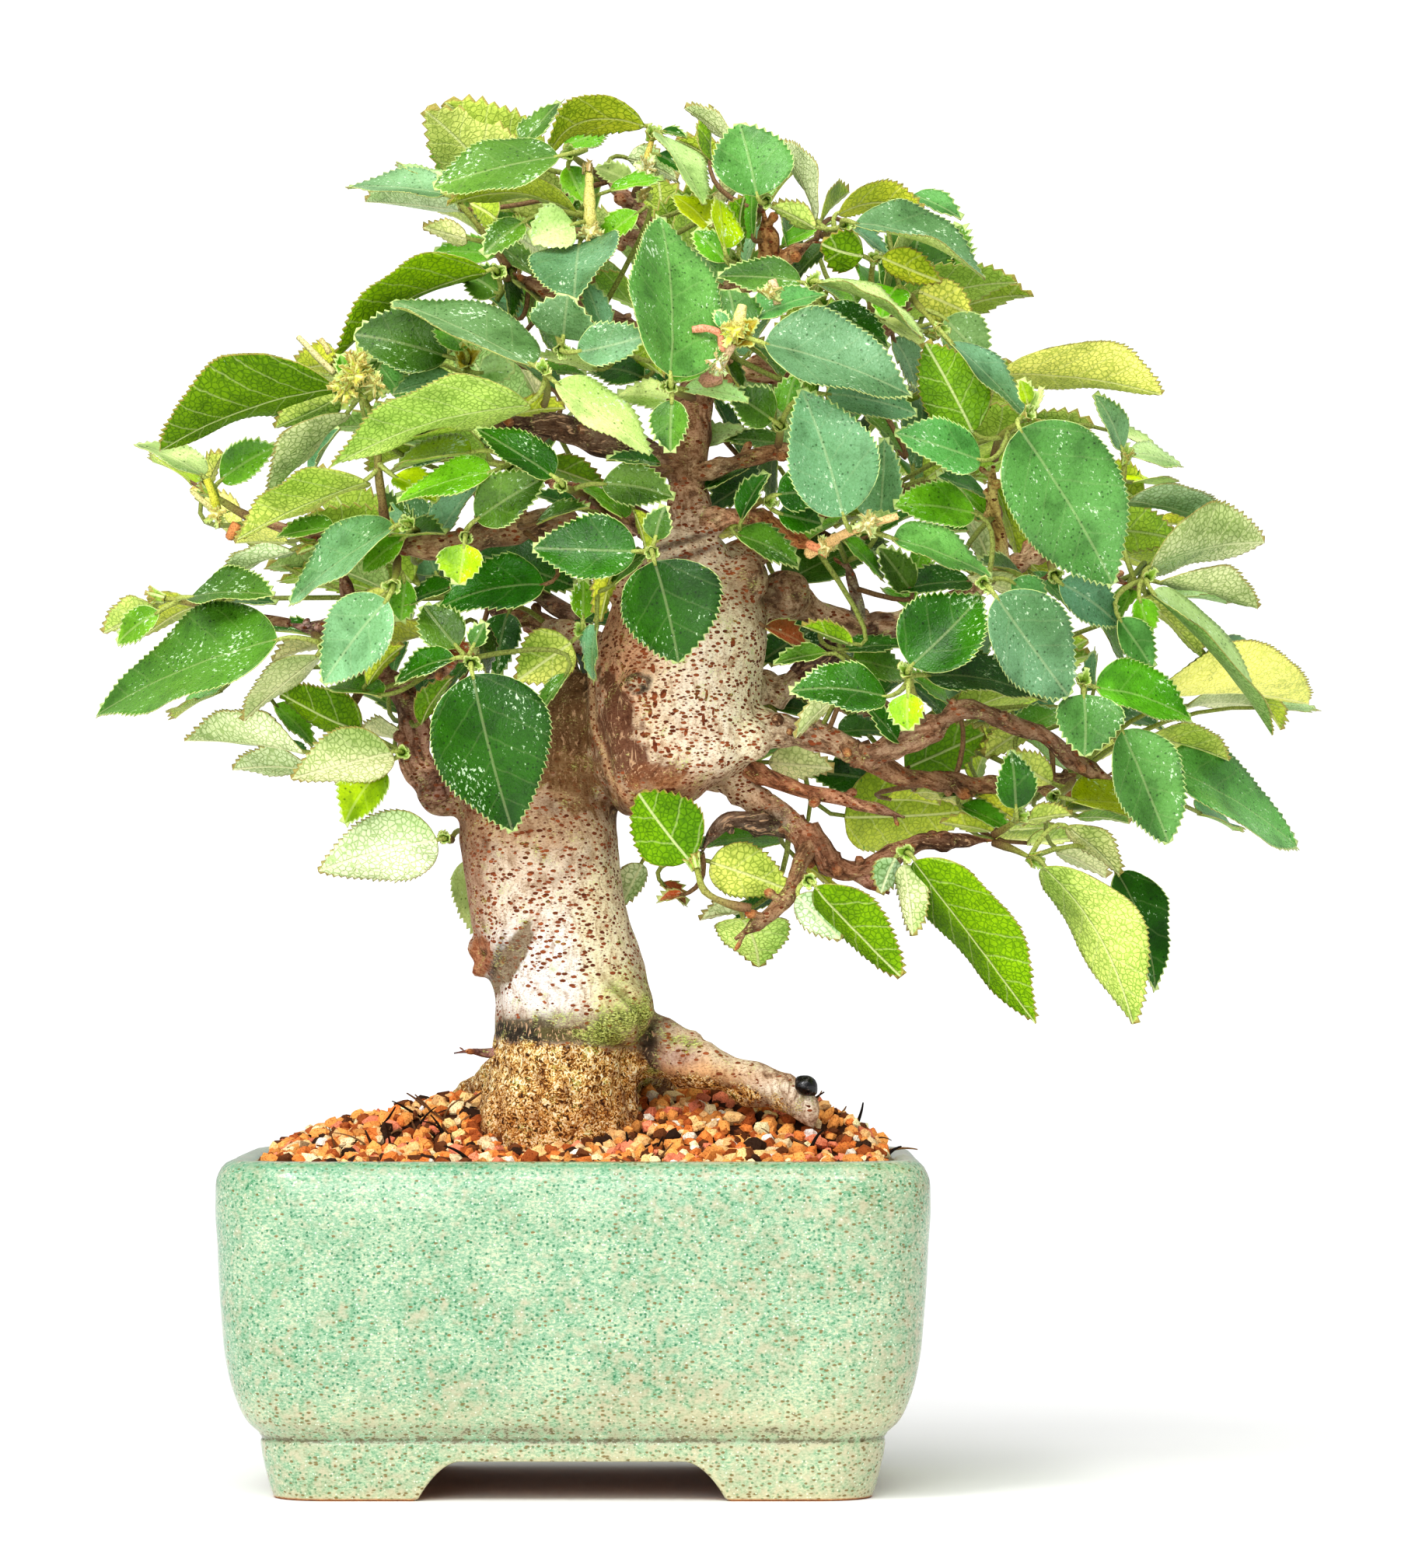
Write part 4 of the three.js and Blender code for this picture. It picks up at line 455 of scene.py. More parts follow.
        (562, 1080, 410, 1120, -21, -1, 90, PALE), (602, 1106, 610, 1200, 12, 2, 56, SILVER),
    )),
    "front_low": (((594, 846, -37.5), (600, 846, -42), (604, 848, -47), (606, 853, -51)), (
        (608, 868, 660, 1070, -55, 6, 152, DARK), (584, 846, 508, 878, -46, 0, 30, DARK),
        (608, 832, 624, 800, -45, 0, 24, DEEP), (588, 832, 545, 778, -41, 1, 54, DEEP),
    )),
    "bulge_left": (((764, 812, -20), (757, 814, -26), (750, 812, -30)), (
        (734, 826, 664, 876, -30, 0, 70, GOLD), (750, 796, 750, 745, -33, 0, 32, FRESH),
    )),
    "bulge_front": (((832, 700, -20.5), (836, 706, -30), (838, 708, -42), (838, 709, -50)), (
        (842, 722, 873, 853, -55, 4, 126, DARK), (818, 709, 685, 705, -52, 0, 82, DARK),
        (842, 694, 856, 650, -52, 0, 34, DEEP),
    )),
}

# Shoots of the hidden back: the limb and which of its places, heading and climb in degrees, leaf count
HIDDEN_SHOOTS = {
    "back_left_end": ("back_left_arm", 3, 135, 15, 8),
    "back_left_low_end": ("back_left_low", 3, 150, 5, 8),
    "back_top_end": ("back_top_arm", 2, 160, 5, 7),
    "back_high_end": ("back_high_arm", 3, 95, 20, 8),
    "back_right_top_end": ("back_right_top", 2, 50, 0, 8),
    "back_right_mid": ("back_right_arm", 2, 125, 50, 7),
    "back_right_end": ("back_right_arm", 3, 40, 10, 8),
    "back_right_low_end": ("back_right_low", 3, 35, 0, 8),
}

# Leaves inside the crown, read as the shoots' leaves are; each stands on the nearest limb
INNER_LEAVES = {
    "left": (
        (700, 752, 562, 782, -36, -2, 64, DARK), (675, 182, 721, 130, -13, 1, 34, DEEP),
        (553, 706, 618, 611, -15, 4, 43, SAGE), (638, 328, 557, 324, -12, -2, 33, FRESH),
        (354, 906, 404, 959, -9, 5, 24, FRESH), (649, 340, 656, 410, -17, 0, 23, DARK),
        (593, 268, 471, 257, -5, 7, 36, PALE), (688, 353, 633, 309, -16, -1, 32, DEEP),
        (448, 466, 378, 474, -12, 4, 28, NETTED), (568, 812, 501, 831, -18, 6, 21, NETTED),
        (616, 806, 627, 876, -15, 7, 22, DEEP), (520, 517, 479, 460, -21, 3, 34, JADE),
        (248, 620, 197, 591, -15, 6, 18, LIME), (470, 879, 519, 828, -36, 4, 21, NETTED),
        (490, 893, 421, 884, -36, 5, 21, FRESH), (398, 610, 436, 550, -15, 1, 21, SAGE),
        (503, 692, 573, 685, -36, -3, 21, DEEP), (417, 825, 350, 848, -9, 0, 21, PALE),
        (711, 499, 654, 458, -11, 7, 21, JADE), (657, 532, 727, 523, -36, 3, 21, NETTED),
        (264, 627, 286, 583, -13, 7, 15, GOLD), (582, 754, 516, 778, -36, 1, 21, DARK),
        (284, 887, 223, 922, -19, 4, 21, JADE), (534, 960, 468, 937, -11, 6, 21, PALE),
        (713, 339, 656, 299, -7, 3, 21, PALE), (539, 929, 580, 869, -22, -1, 22, OLIVE),
        (659, 357, 714, 401, -17, 4, 21, SILVER), (664, 410, 609, 366, -11, 1, 21, SAGE),
        (373, 695, 303, 696, -10, 5, 21, GOLD), (653, 789, 640, 871, 6, -3, 51, DARK),
        (599, 708, 740, 754, 12, 4, 71, DARK), (508, 480, 449, 517, 8, -3, 35, GOLD),
        (262, 772, 185, 816, 8, 4, 32, NETTED), (661, 352, 683, 419, 8, 2, 26, FRESH),
        (312, 691, 246, 628, 9, -3, 29, GOLD), (505, 867, 530, 777, 5, 0, 31, DARK),
        (536, 574, 473, 604, 9, 7, 21, NETTED), (526, 912, 569, 856, 8, 0, 25, DARK),
        (461, 501, 459, 431, 6, 0, 21, GOLD), (520, 917, 458, 886, 15, 1, 21, DEEP),
        (619, 297, 565, 271, 6, 6, 18, GOLD), (462, 486, 392, 483, 5, -2, 21, GOLD),
        (613, 837, 571, 893, 8, 0, 21, DARK), (699, 523, 665, 463, 8, 6, 21, PALE),
        (402, 815, 332, 808, 15, -3, 21, DARK), (665, 349, 677, 280, 4, 6, 21, GOLD),
        (571, 590, 503, 606, 6, 6, 21, DARK), (297, 773, 355, 775, 15, 0, 18, DARK),
    ),
    "middle": (
        (985, 806, 1040, 832, -20, 2, 26, DEAD), (852, 1136, 884, 1164, -14, 2, 16, DEAD),
        (560, 826, 612, 842, -30, 2, 30, DEAD), (880, 1150, 846, 1158, -16, 1, 12, DEAD),
        (827, 486, 758, 476, -8, 6, 43, DARK), (989, 980, 1073, 988, -12, -3, 43, PALE),
        (863, 515, 793, 509, -15, 3, 37, SILVER), (948, 687, 1028, 728, -36, 2, 36, DEEP),
        (994, 575, 989, 645, -5, 5, 21, DEEP), (1005, 570, 935, 564, -11, 4, 26, DEEP),
        (1063, 312, 1016, 364, -6, 4, 30, DEEP), (768, 475, 689, 455, -14, -1, 24, SILVER),
        (967, 306, 967, 236, -22, -1, 24, FRESH), (1018, 333, 1002, 265, -10, 2, 21, DEEP),
        (776, 423, 749, 358, -36, -3, 30, SAGE), (786, 731, 770, 799, -36, 2, 24, NETTED),
        (1098, 828, 1032, 803, -36, 5, 21, OLIVE), (820, 273, 769, 321, -36, 6, 33, FRESH),
        (799, 443, 856, 484, -11, -3, 24, NETTED), (1006, 484, 953, 438, -36, 4, 21, DEEP),
        (766, 806, 762, 876, -36, 7, 21, SAGE), (938, 370, 891, 318, -9, 0, 27, JADE),
        (687, 407, 722, 468, -7, 1, 21, JADE), (893, 578, 957, 549, -7, 4, 25, SILVER),
        (962, 599, 900, 631, -14, 1, 22, DARK), (931, 212, 870, 178, -7, -2, 25, NETTED),
        (934, 440, 991, 399, -36, 3, 21, GOLD), (850, 597, 780, 590, -36, -2, 21, DARK),
        (953, 668, 988, 608, -36, -1, 21, DARK), (789, 750, 842, 704, -36, 5, 21, DEEP),
        (911, 208, 915, 138, -19, -1, 21, OLIVE), (980, 271, 1024, 216, -7, 3, 21, FRESH),
        (1097, 400, 1042, 356, -19, 6, 21, FRESH), (699, 596, 778, 624, -12, 5, 33, OLIVE),
        (817, 655, 836, 723, -36, 0, 21, NETTED), (729, 866, 690, 924, -36, -1, 21, DEEP),
        (1070, 898, 1021, 948, -36, -1, 21, PALE), (785, 243, 854, 230, -36, 0, 21, FRESH),
        (913, 477, 846, 499, -36, 7, 21, FRESH), (802, 666, 748, 622, -36, 7, 22, FRESH),
        (1021, 1099, 1075, 1143, -8, -3, 21, NETTED), (961, 456, 999, 397, -20, 3, 21, SAGE),
        (690, 672, 757, 651, -36, -3, 21, DEEP), (1063, 839, 994, 854, -36, 2, 21, DEEP),
        (958, 1170, 900, 1181, -9, 5, 18, PALE), (959, 227, 911, 278, -14, 1, 21, PALE),
        (1006, 316, 1069, 285, -10, -3, 21, FRESH), (920, 449, 956, 509, -36, 3, 21, DEEP),
        (1051, 803, 976, 853, 10, -2, 56, DARK), (1011, 748, 1138, 693, 8, 7, 67, DEEP),
        (988, 600, 910, 653, 14, -3, 44, DARK), (954, 582, 918, 510, 12, -3, 24, DARK),
        (749, 655, 682, 635, 15, -3, 22, DARK), (973, 674, 906, 695, 13, 4, 21, NETTED),
        (733, 794, 802, 800, 8, 1, 24, DARK), (1007, 1077, 888, 1090, 11, -2, 37, FRESH),
        (921, 461, 989, 445, 10, 4, 23, GOLD), (685, 475, 755, 482, 5, 3, 21, FRESH),
        (809, 203, 873, 231, 5, -2, 30, PALE), (863, 499, 799, 469, 10, 3, 29, DARK),
        (1034, 696, 1096, 664, 8, 6, 21, FRESH), (740, 820, 761, 886, 7, -1, 21, DARK),
        (985, 909, 1055, 917, 6, 3, 21, DARK), (964, 981, 1030, 959, 10, 4, 21, FRESH),
        (1055, 281, 1090, 246, 15, 7, 15, NETTED), (976, 286, 954, 352, 5, 5, 21, SAGE),
        (1001, 1147, 944, 1188, 14, -1, 21, DARK), (931, 467, 921, 398, 11, -3, 21, PALE),
    ),
    "right": (
        (1164, 988, 1266, 943, -8, -3, 68, OLIVE), (1427, 681, 1517, 695, -19, -1, 56, NETTED),
        (1131, 675, 1137, 563, -21, 0, 56, SAGE), (1173, 760, 1130, 704, -18, -2, 43, DEEP),
        (1383, 1048, 1452, 1057, -10, 5, 21, OLIVE), (1174, 250, 1237, 281, -22, -2, 28, JADE),
        (1158, 955, 1112, 903, -36, 1, 26, DARK), (1098, 849, 1166, 865, -15, 6, 43, FRESH),
        (1526, 906, 1619, 908, -10, 6, 27, PALE), (1325, 934, 1266, 972, -17, 7, 34, GOLD),
        (1235, 1037, 1299, 1066, -22, -3, 21, FRESH), (1134, 410, 1192, 450, -17, -2, 26, SILVER),
        (1271, 638, 1206, 612, -17, -3, 24, DARK), (1275, 727, 1245, 664, -12, -1, 34, PALE),
        (1361, 1093, 1423, 1127, -9, 2, 26, PALE), (1159, 583, 1112, 530, -13, 7, 21, DEEP),
        (1468, 647, 1403, 596, -6, -1, 49, NETTED), (1279, 615, 1316, 743, -12, 3, 39, NETTED),
        (1249, 747, 1155, 759, -18, 0, 36, DARK), (1619, 886, 1649, 937, -17, 4, 18, NETTED),
        (1624, 909, 1694, 912, -11, -1, 23, SILVER), (1176, 1015, 1242, 1037, -16, 6, 23, GOLD),
        (1464, 744, 1433, 806, -20, -1, 24, FRESH), (1312, 942, 1375, 913, -17, 3, 30, FRESH),
        (1089, 286, 1143, 330, -18, 2, 21, SAGE), (1455, 618, 1503, 626, -11, 7, 15, LIME),
        (1282, 676, 1233, 625, -8, -2, 21, FRESH), (1321, 745, 1255, 723, -36, -2, 21, DEEP),
        (1543, 1044, 1588, 1066, -12, 7, 15, JADE), (1284, 1068, 1354, 1063, -6, 2, 21, GOLD),
        (1150, 436, 1179, 499, -5, 7, 37, SAGE), (1431, 708, 1494, 737, -8, 7, 21, NETTED),
        (1087, 695, 1136, 745, -22, 2, 21, FRESH), (1222, 903, 1163, 865, -22, -3, 21, FRESH),
        (1281, 1023, 1211, 1025, -14, -2, 21, DEEP), (1258, 1022, 1317, 1061, -21, 0, 22, NETTED),
        (1278, 1067, 1209, 1055, -15, 2, 21, NETTED), (1251, 738, 1314, 769, -36, 4, 21, PALE),
        (1386, 984, 1451, 957, -9, 2, 21, GOLD), (1364, 1002, 1307, 1041, -6, 4, 21, PALE),
        (1327, 736, 1378, 784, -10, -3, 21, JADE), (1510, 765, 1579, 774, -13, 0, 21, SILVER),
        (1412, 792, 1446, 854, -13, 4, 21, FRESH), (1086, 835, 1168, 831, -19, -3, 24, DARK),
        (1375, 991, 1319, 949, -11, -2, 21, SILVER), (1140, 1026, 1209, 1033, -6, 2, 21, NETTED),
        (1344, 1040, 1443, 1043, -5, 2, 32, NETTED), (1086, 1050, 1270, 1040, 8, 0, 105, NETTED),
        (1223, 925, 1170, 878, 10, -3, 28, DARK), (1250, 1008, 1284, 934, 15, 6, 34, NETTED),
        (1126, 1002, 1041, 994, 10, 5, 50, DARK), (1054, 851, 1124, 850, 14, 6, 22, DARK),
        (1425, 919, 1500, 940, 12, -2, 23, DARK), (1175, 785, 1135, 756, 13, 7, 18, FRESH),
        (1314, 713, 1361, 764, 7, 3, 22, NETTED), (1171, 769, 1188, 701, 9, 6, 43, FRESH),
        (1580, 823, 1622, 864, 7, 2, 18, SAGE), (1122, 902, 1174, 855, 10, 2, 21, DARK),
        (1079, 941, 1149, 943, 7, 3, 32, DEEP), (1276, 1079, 1346, 1080, 12, 6, 23, GOLD),
        (1116, 690, 1179, 659, 11, -2, 21, DARK), (1407, 886, 1406, 836, 6, 6, 15, SAGE),
        (1431, 553, 1486, 573, 7, 1, 18, SILVER), (1488, 669, 1537, 678, 12, -3, 15, NETTED),
        (1274, 680, 1204, 687, 14, 7, 21, DARK), (1255, 998, 1290, 1059, 5, 3, 21, NETTED),
        (1320, 1084, 1390, 1078, 10, -2, 21, GOLD), (1137, 649, 1073, 677, 13, 6, 21, NETTED),
    ),
}

# Buds that stand out of their shoot's end: colour and length in millimetres
BUDS = {
    "left_cluster": ("#f2d84a", 6.0),
    "crown_front_bud": ("#f4d452", 7.0),
    "top_left_yellow": ("#c98a7a", 1.8),
}

# Shoots that were cut back: places along each, its radius at either end in millimetres, its colour
CUT_SHOOTS = (
    (((916, 497, -46), (920, 480, -50), (925, 465, -53), (940, 441, -55)), (1.7, 1.0), "#fbdcb8"),
    (((908, 496, -46), (914, 488, -50), (926, 484, -50)), (1.6, 1.3), "#d8a492"),
    (((928, 452, -55), (926, 430, -57), (912, 423, -58), (890, 424, -58)), (0.75, 0.6), "#f8ae90"),
    (((946, 430, -55), (950, 414, -57), (955, 393, -58)), (1.0, 0.95), "#fbf2a4"),
    (((1000, 392, -51), (997, 376, -52), (993, 360, -53)), (0.7, 0.85), "#fcdcb6"),
    (((384, 434, -49), (396, 446, -49), (408, 459, -48), (430, 480, -47)), (0.5, 0.6), "#e6dfa6"),
    (((413, 437, -49), (418, 444, -49), (424, 455, -48)), (0.5, 0.55), "#dccf92"),
    (
        ((1040, 712, -36), (1060, 702, -40), (1088, 686, -50), (1116, 675, -55), (1155, 664, -57)),
        (1.1, 0.6), "#fbd298",
    ),
    (((1040, 700, -38), (1052, 706, -40), (1064, 714, -41)), (0.9, 0.7), "#f2a078"),
    (((760, 306, -33), (759, 280, -37), (758, 252, -38), (758, 225, -38)), (1.3, 0.7), "#ece690"),
    (((828, 224, -30), (832, 204, -32), (838, 182, -33)), (0.8, 0.5), "#e6d270"),
    (((281, 664, -40), (275, 640, -42), (266, 616, -43)), (0.95, 0.7), "#dfe052"),
    (((276, 656, -41), (262, 645, -42), (247, 632, -43)), (0.5, 0.45), "#e2dc9c"),
    (((296, 690, -38), (300, 683, -39), (305, 674, -39)), (1.0, 0.9), "#f6a468"),
    (((1032, 560, -38), (1036, 545, -40), (1040, 530, -41)), (0.6, 0.5), "#e8c890"),
)

# Tufts of dried scales: place, colour, length in millimetres, and how many bundles
TUFTS = (
    ((446, 500, -50), "#ffd060", 4.6, 5), ((456, 484, -51), "#ffcc58", 4.4, 5),
    ((458, 468, -51), "#ffb864", 3.4, 3), ((484, 493, -50), "#f6bc78", 3.0, 3),
    ((944, 426, -58), "#f2f448", 3.4, 3), ((922, 466, -55), "#fbe0b6", 2.8, 3),
    ((990, 378, -53), "#eef088", 2.4, 2), ((1116, 674, -56), "#fbdc92", 3.0, 3),
    ((1064, 704, -42), "#f4ae84", 2.4, 3), ((833, 218, -33), "#f8dca0", 3.0, 3),
    ((828, 250, -30), "#f2a272", 2.0, 2), ((927, 280, -36), "#f6e4a0", 2.6, 3),
    ((278, 662, -42), "#ead466", 2.4, 3), ((760, 300, -37), "#eac88c", 3.0, 3),
)


# Numbers, paths and skins


def linear(code: str) -> Array:
    """Turns an sRGB hex colour into the linear colour that shaders use.

    Args:
        code: "#rrggbb".

    Returns:
        Red, green, blue and an alpha of 1.
    """
    parts = [int(code[i : i + 2], 16) / 255 for i in (1, 3, 5)]
    red, green, blue = (c / 12.92 if c <= 0.04045 else ((c + 0.055) / 1.055) ** 2.4 for c in parts)
    return np.array([red, green, blue, 1.0])


def turns(count: int) -> Array:
    """Even steps round a circle in radians, (count,)."""
    return 2 * np.pi * np.arange(count) / count


def hill(values: Any, middle: float, reach: float) -> Any:
    """A soft hill of height 1: exp(-((value - middle) / reach)^2)."""
    return np.exp(-(((values - middle) / reach) ** 2))


def lengths(path: Array) -> Array:
    """How far along a path each of its places is, (n,)."""
    return np.concatenate([[0.0], np.cumsum(np.linalg.norm(np.diff(path, axis=0), axis=1))])


def pointing(heading: float, climb: float) -> Array:
    """The direction of a compass heading and a climb: (cos h cos c, sin h cos c, sin c)."""
    level = math.cos(climb)
    return np.array([math.cos(heading) * level, math.sin(heading) * level, math.sin(climb)])


def sphere(low: float, rows: int, columns: int) -> Array:
    """Rings of a ball of radius 1 from the bottom up: (sin p cos t, sin p sin t, -cos p).

    Args:
        low: Share of a half turn at which the first ring stands, and the last as far from the top.
        rows: Count of rings.
        columns: Points in a ring.

    Returns:
        Places, (rows, columns, 3).
    """
    polar, turn = np.linspace(low, 1 - low, rows)[:, None] * np.pi, turns(columns)
    parts = np.sin(polar) * np.cos(turn), np.sin(polar) * np.sin(turn), -np.cos(polar)
    return np.stack(np.broadcast_arrays(*parts), axis=-1)


def unit(vectors: Array) -> Array:
    """Vectors divided by their own length."""
    return vectors / np.maximum(np.linalg.norm(vectors, axis=-1, keepdims=True), 1e-12)


def dice(seed: int) -> Iterator[float]:
    """Repeatable throws between 0 and 1: each is the last times 1664525 plus 1013904223, modulo 2^32.

    Args:
        seed: Where the throws start.

    Yields:
        One throw after another.
    """
    state = seed
    while True:
        state = (state * 1664525 + 1013904223) % 4294967296
        yield state / 4294967296


def drift(points: Array, size: float, seed: int) -> Array:
    """Smooth noise between -1 and 1.

    Each corner of a cubic lattice gets a value from a hash of its place, and a point gets the mean of its
    cell's eight corners, weighted by 3t^2 - 2t^3 of its place in the cell.

    Args:
        points: Places, (..., 3).
        size: Side of a lattice cell in the same unit.
        seed: Another number gives another pattern.

    Returns:
        One value for each place.
    """
    cell = np.floor(points / size).astype(np.int64)
    part = points / size - cell
    part = part * part * (3 - 2 * part)
    total = np.zeros(points.shape[:-1])
    for corner in itertools.product((0, 1), repeat=3):
        at = cell + np.array(corner)
        mixed = (at[..., 0] * 73856093) ^ (at[..., 1] * 19349663) ^ (at[..., 2] * 83492791)
        mixed = mixed ^ (seed * 2654435761)
        mixed = ((mixed ^ (mixed >> 13)) * 1274126177) & 0xFFFFFFFF
        value = ((mixed ^ (mixed >> 15)) & 0xFFFF) / 32767.5 - 1
        total += value * np.prod(np.where(corner, part, 1 - part), axis=-1)
    return total


def flow(rows: Array, step: float) -> Array:
    """A smooth path through rows of numbers.

    Between two rows each number follows a cubic Hermite piece over the chord length of the first three
    columns, and its slope at a row is that of the parabola through its neighbours.

    Args:
        rows: Places in the first three columns, and any more numbers carried with them.
        step: Distance between the rows of the result.

    Returns:
        The rows at even steps along the path.
    """
    chord = lengths(rows[:, :3])
    slope = np.gradient(rows, chord, axis=0)
    at = np.linspace(0, chord[-1], max(round(chord[-1] / step), 2) + 1)
    i = np.clip(np.searchsorted(chord, at, side="right") - 1, 0, len(rows) - 2)
    span = (chord[i + 1] - chord[i])[:, None]
    u = (at - chord[i])[:, None] / span
    return (
        rows[i] * (2 * u**3 - 3 * u**2 + 1)
        + rows[i + 1] * (3 * u**2 - 2 * u**3)
        + slope[i] * span * (u**3 - 2 * u**2 + u)
        + slope[i + 1] * span * (u**3 - u**2)
    )


@dataclass
class Skin:
    """A closed surface in the making.

    points are in millimetres about the pot's middle. faces hold four corners, the last repeated for a
    triangle. paint holds a number or a vector for each point, and coat the material of each face.
    """

    points: Array
    faces: Array
    paint: dict[str, Array] = field(default_factory=dict)
    coat: Array | None = None

    def painted(self, coat: int = 0, **paint: Any) -> "Skin":
        """The skin with one coat on its faces, and each paint spread over its points.

        Args:
            coat: Which of the piece's materials it gets.
            **paint: By name, one value or one for each point.

        Returns:
            The same skin.
        """
        count = len(self.points)
        for name, value in paint.items():
            value = np.asarray(value, dtype=float)
            whole = value.ndim and value.shape[0] == count
            self.paint[name] = value if whole else np.broadcast_to(value, (count, *value.shape)).copy()
        self.coat = np.full(len(self.faces), coat)
        return self

    @staticmethod
    def joined(skins: Sequence["Skin"]) -> "Skin":
        """All skins as one, each with its own faces."""
        starts = np.cumsum([0] + [len(s.points) for s in skins[:-1]])
        return Skin(
            np.concatenate([s.points for s in skins]),
            np.concatenate([s.faces + start for s, start in zip(skins, starts)]),
            {name: np.concatenate([s.paint[name] for s in skins]) for name in skins[0].paint},
            np.concatenate([s.coat for s in skins]) if skins[0].coat is not None else None,
        )


def loft(rings: Array, **paint: Array) -> Skin:
    """A closed skin over rings of equal count, with a fan about the middle of the first and the last.

    Args:
        rings: Places, (rings, points in a ring, 3). Each ring runs anticlockwise when it is seen from the
            end that the rings run towards.
        **paint: Numbers (rings, points) or vectors (rings, points, n) to carry.

    Returns:
        The skin with its paint.
    """
    rows, columns = rings.shape[:2]
    index = np.arange(rows * columns).reshape(rows, columns)
    here, beside = index, np.roll(index, -1, axis=1)
    bands = np.stack([here[:-1], beside[:-1], beside[1:], here[1:]], axis=-1).reshape(-1, 4)
    first, last = np.full(columns, rows * columns), np.full(columns, rows * columns + 1)
    start = np.stack([first, beside[0], here[0], here[0]], axis=-1)
    end = np.stack([last, here[-1], beside[-1], beside[-1]], axis=-1)

    def with_ends(values: Array) -> Array:
        """Values of the grid in one list, with the mean of the first and the last ring at its end."""
        flat = values.reshape(rows * columns, *values.shape[2:])
        return np.concatenate([flat, values[:1].mean(axis=1), values[-1:].mean(axis=1)])

    spread = {name: with_ends(values) for name, values in paint.items()}
    return Skin(with_ends(rings), np.concatenate([bands, start, end]), spread)


def ring_frames(path: Array) -> tuple[Array, Array, Array]:
    """Directions that rings stand in along a path.

    Args:
        path: Places, (n, 3).

    Returns:
        The direction along the path and two square to it. The second comes from whichever fixed direction
        the path least turns towards, less its part along the path, and the third is their cross product.
    """
    along = unit(np.gradient(path, axis=0))
    fixed = [[0.13, 1, 0.21], [1, 0.2, 0.1], [0.1, -0.2, 1], [0.7, 0.7, 0.1], [0.7, -0.7, 0.1]]
    guesses = unit(np.array(fixed))
    best = guesses[np.argmin(np.abs(along @ guesses.T).max(axis=0))]
    across = unit(best - along * (along @ best)[:, None])
    return along, across, np.cross(along, across)


def tube(path: Array, radii: Array, sides: int, **paint: Array) -> Skin:
    """A round skin: each ring is the path's point plus radius times (cos, sin) of even turns.

    Args:
        path: Places, (n, 3).
        radii: One radius for a ring (n,) or for each of its points (n, sides).
        sides: Points in a ring.
        **paint: Values for each ring, (n,) or (n, k).

    Returns:
        The closed skin.
    """
    _, across, up = ring_frames(path)
    turn = turns(sides)
    reach = radii[:, None] if radii.ndim == 1 else radii
    rings = (
        path[:, None]
        + (reach * np.cos(turn))[..., None] * across[:, None]
        + (reach * np.sin(turn))[..., None] * up[:, None]
    )
    return loft(rings, **{name: np.repeat(value[:, None], sides, axis=1) for name, value in paint.items()})


def corner_normals(points: Array, faces: Array) -> Array:
    """The direction outwards at each point: the sum of its faces' area vectors, made a unit.

    Args:
        points: Places, (n, 3).
        faces: Four corners each, (m, 4).

    Returns:
        Directions, (n, 3).
    """
    quad = points[faces]
    area = np.cross(quad[:, 2] - quad[:, 0], quad[:, 3] - quad[:, 1])
    total = np.zeros_like(points)
    for k in range(4):
        for axis in range(3):
            total[:, axis] += np.bincount(faces[:, k], weights=area[:, axis], minlength=len(points))
    return unit(total)


def bump_at(spots: Array, centre: Sequence[float], reach: Sequence[float], lean: float = 0.0) -> Array:
    """A soft hill of height 1 in the picture: exp(-(u^2 + v^2)), u and v the leaned offsets over the reach.

    Args:
        spots: Columns and rows, (n, 2).
        centre: Column and row of the top.
        reach: How far it reaches along and across its lean.
        lean: Turn of the hill in radians, clockwise in the picture.

    Returns:
        Its height at each spot, (n,).
    """
    offset = spots - np.array(centre)
    c, s = math.cos(lean), math.sin(lean)
    u = (offset[:, 0] * c + offset[:, 1] * s) / reach[0]
    v = (offset[:, 1] * c - offset[:, 0] * s) / reach[1]
    return np.exp(-(u**2 + v**2))


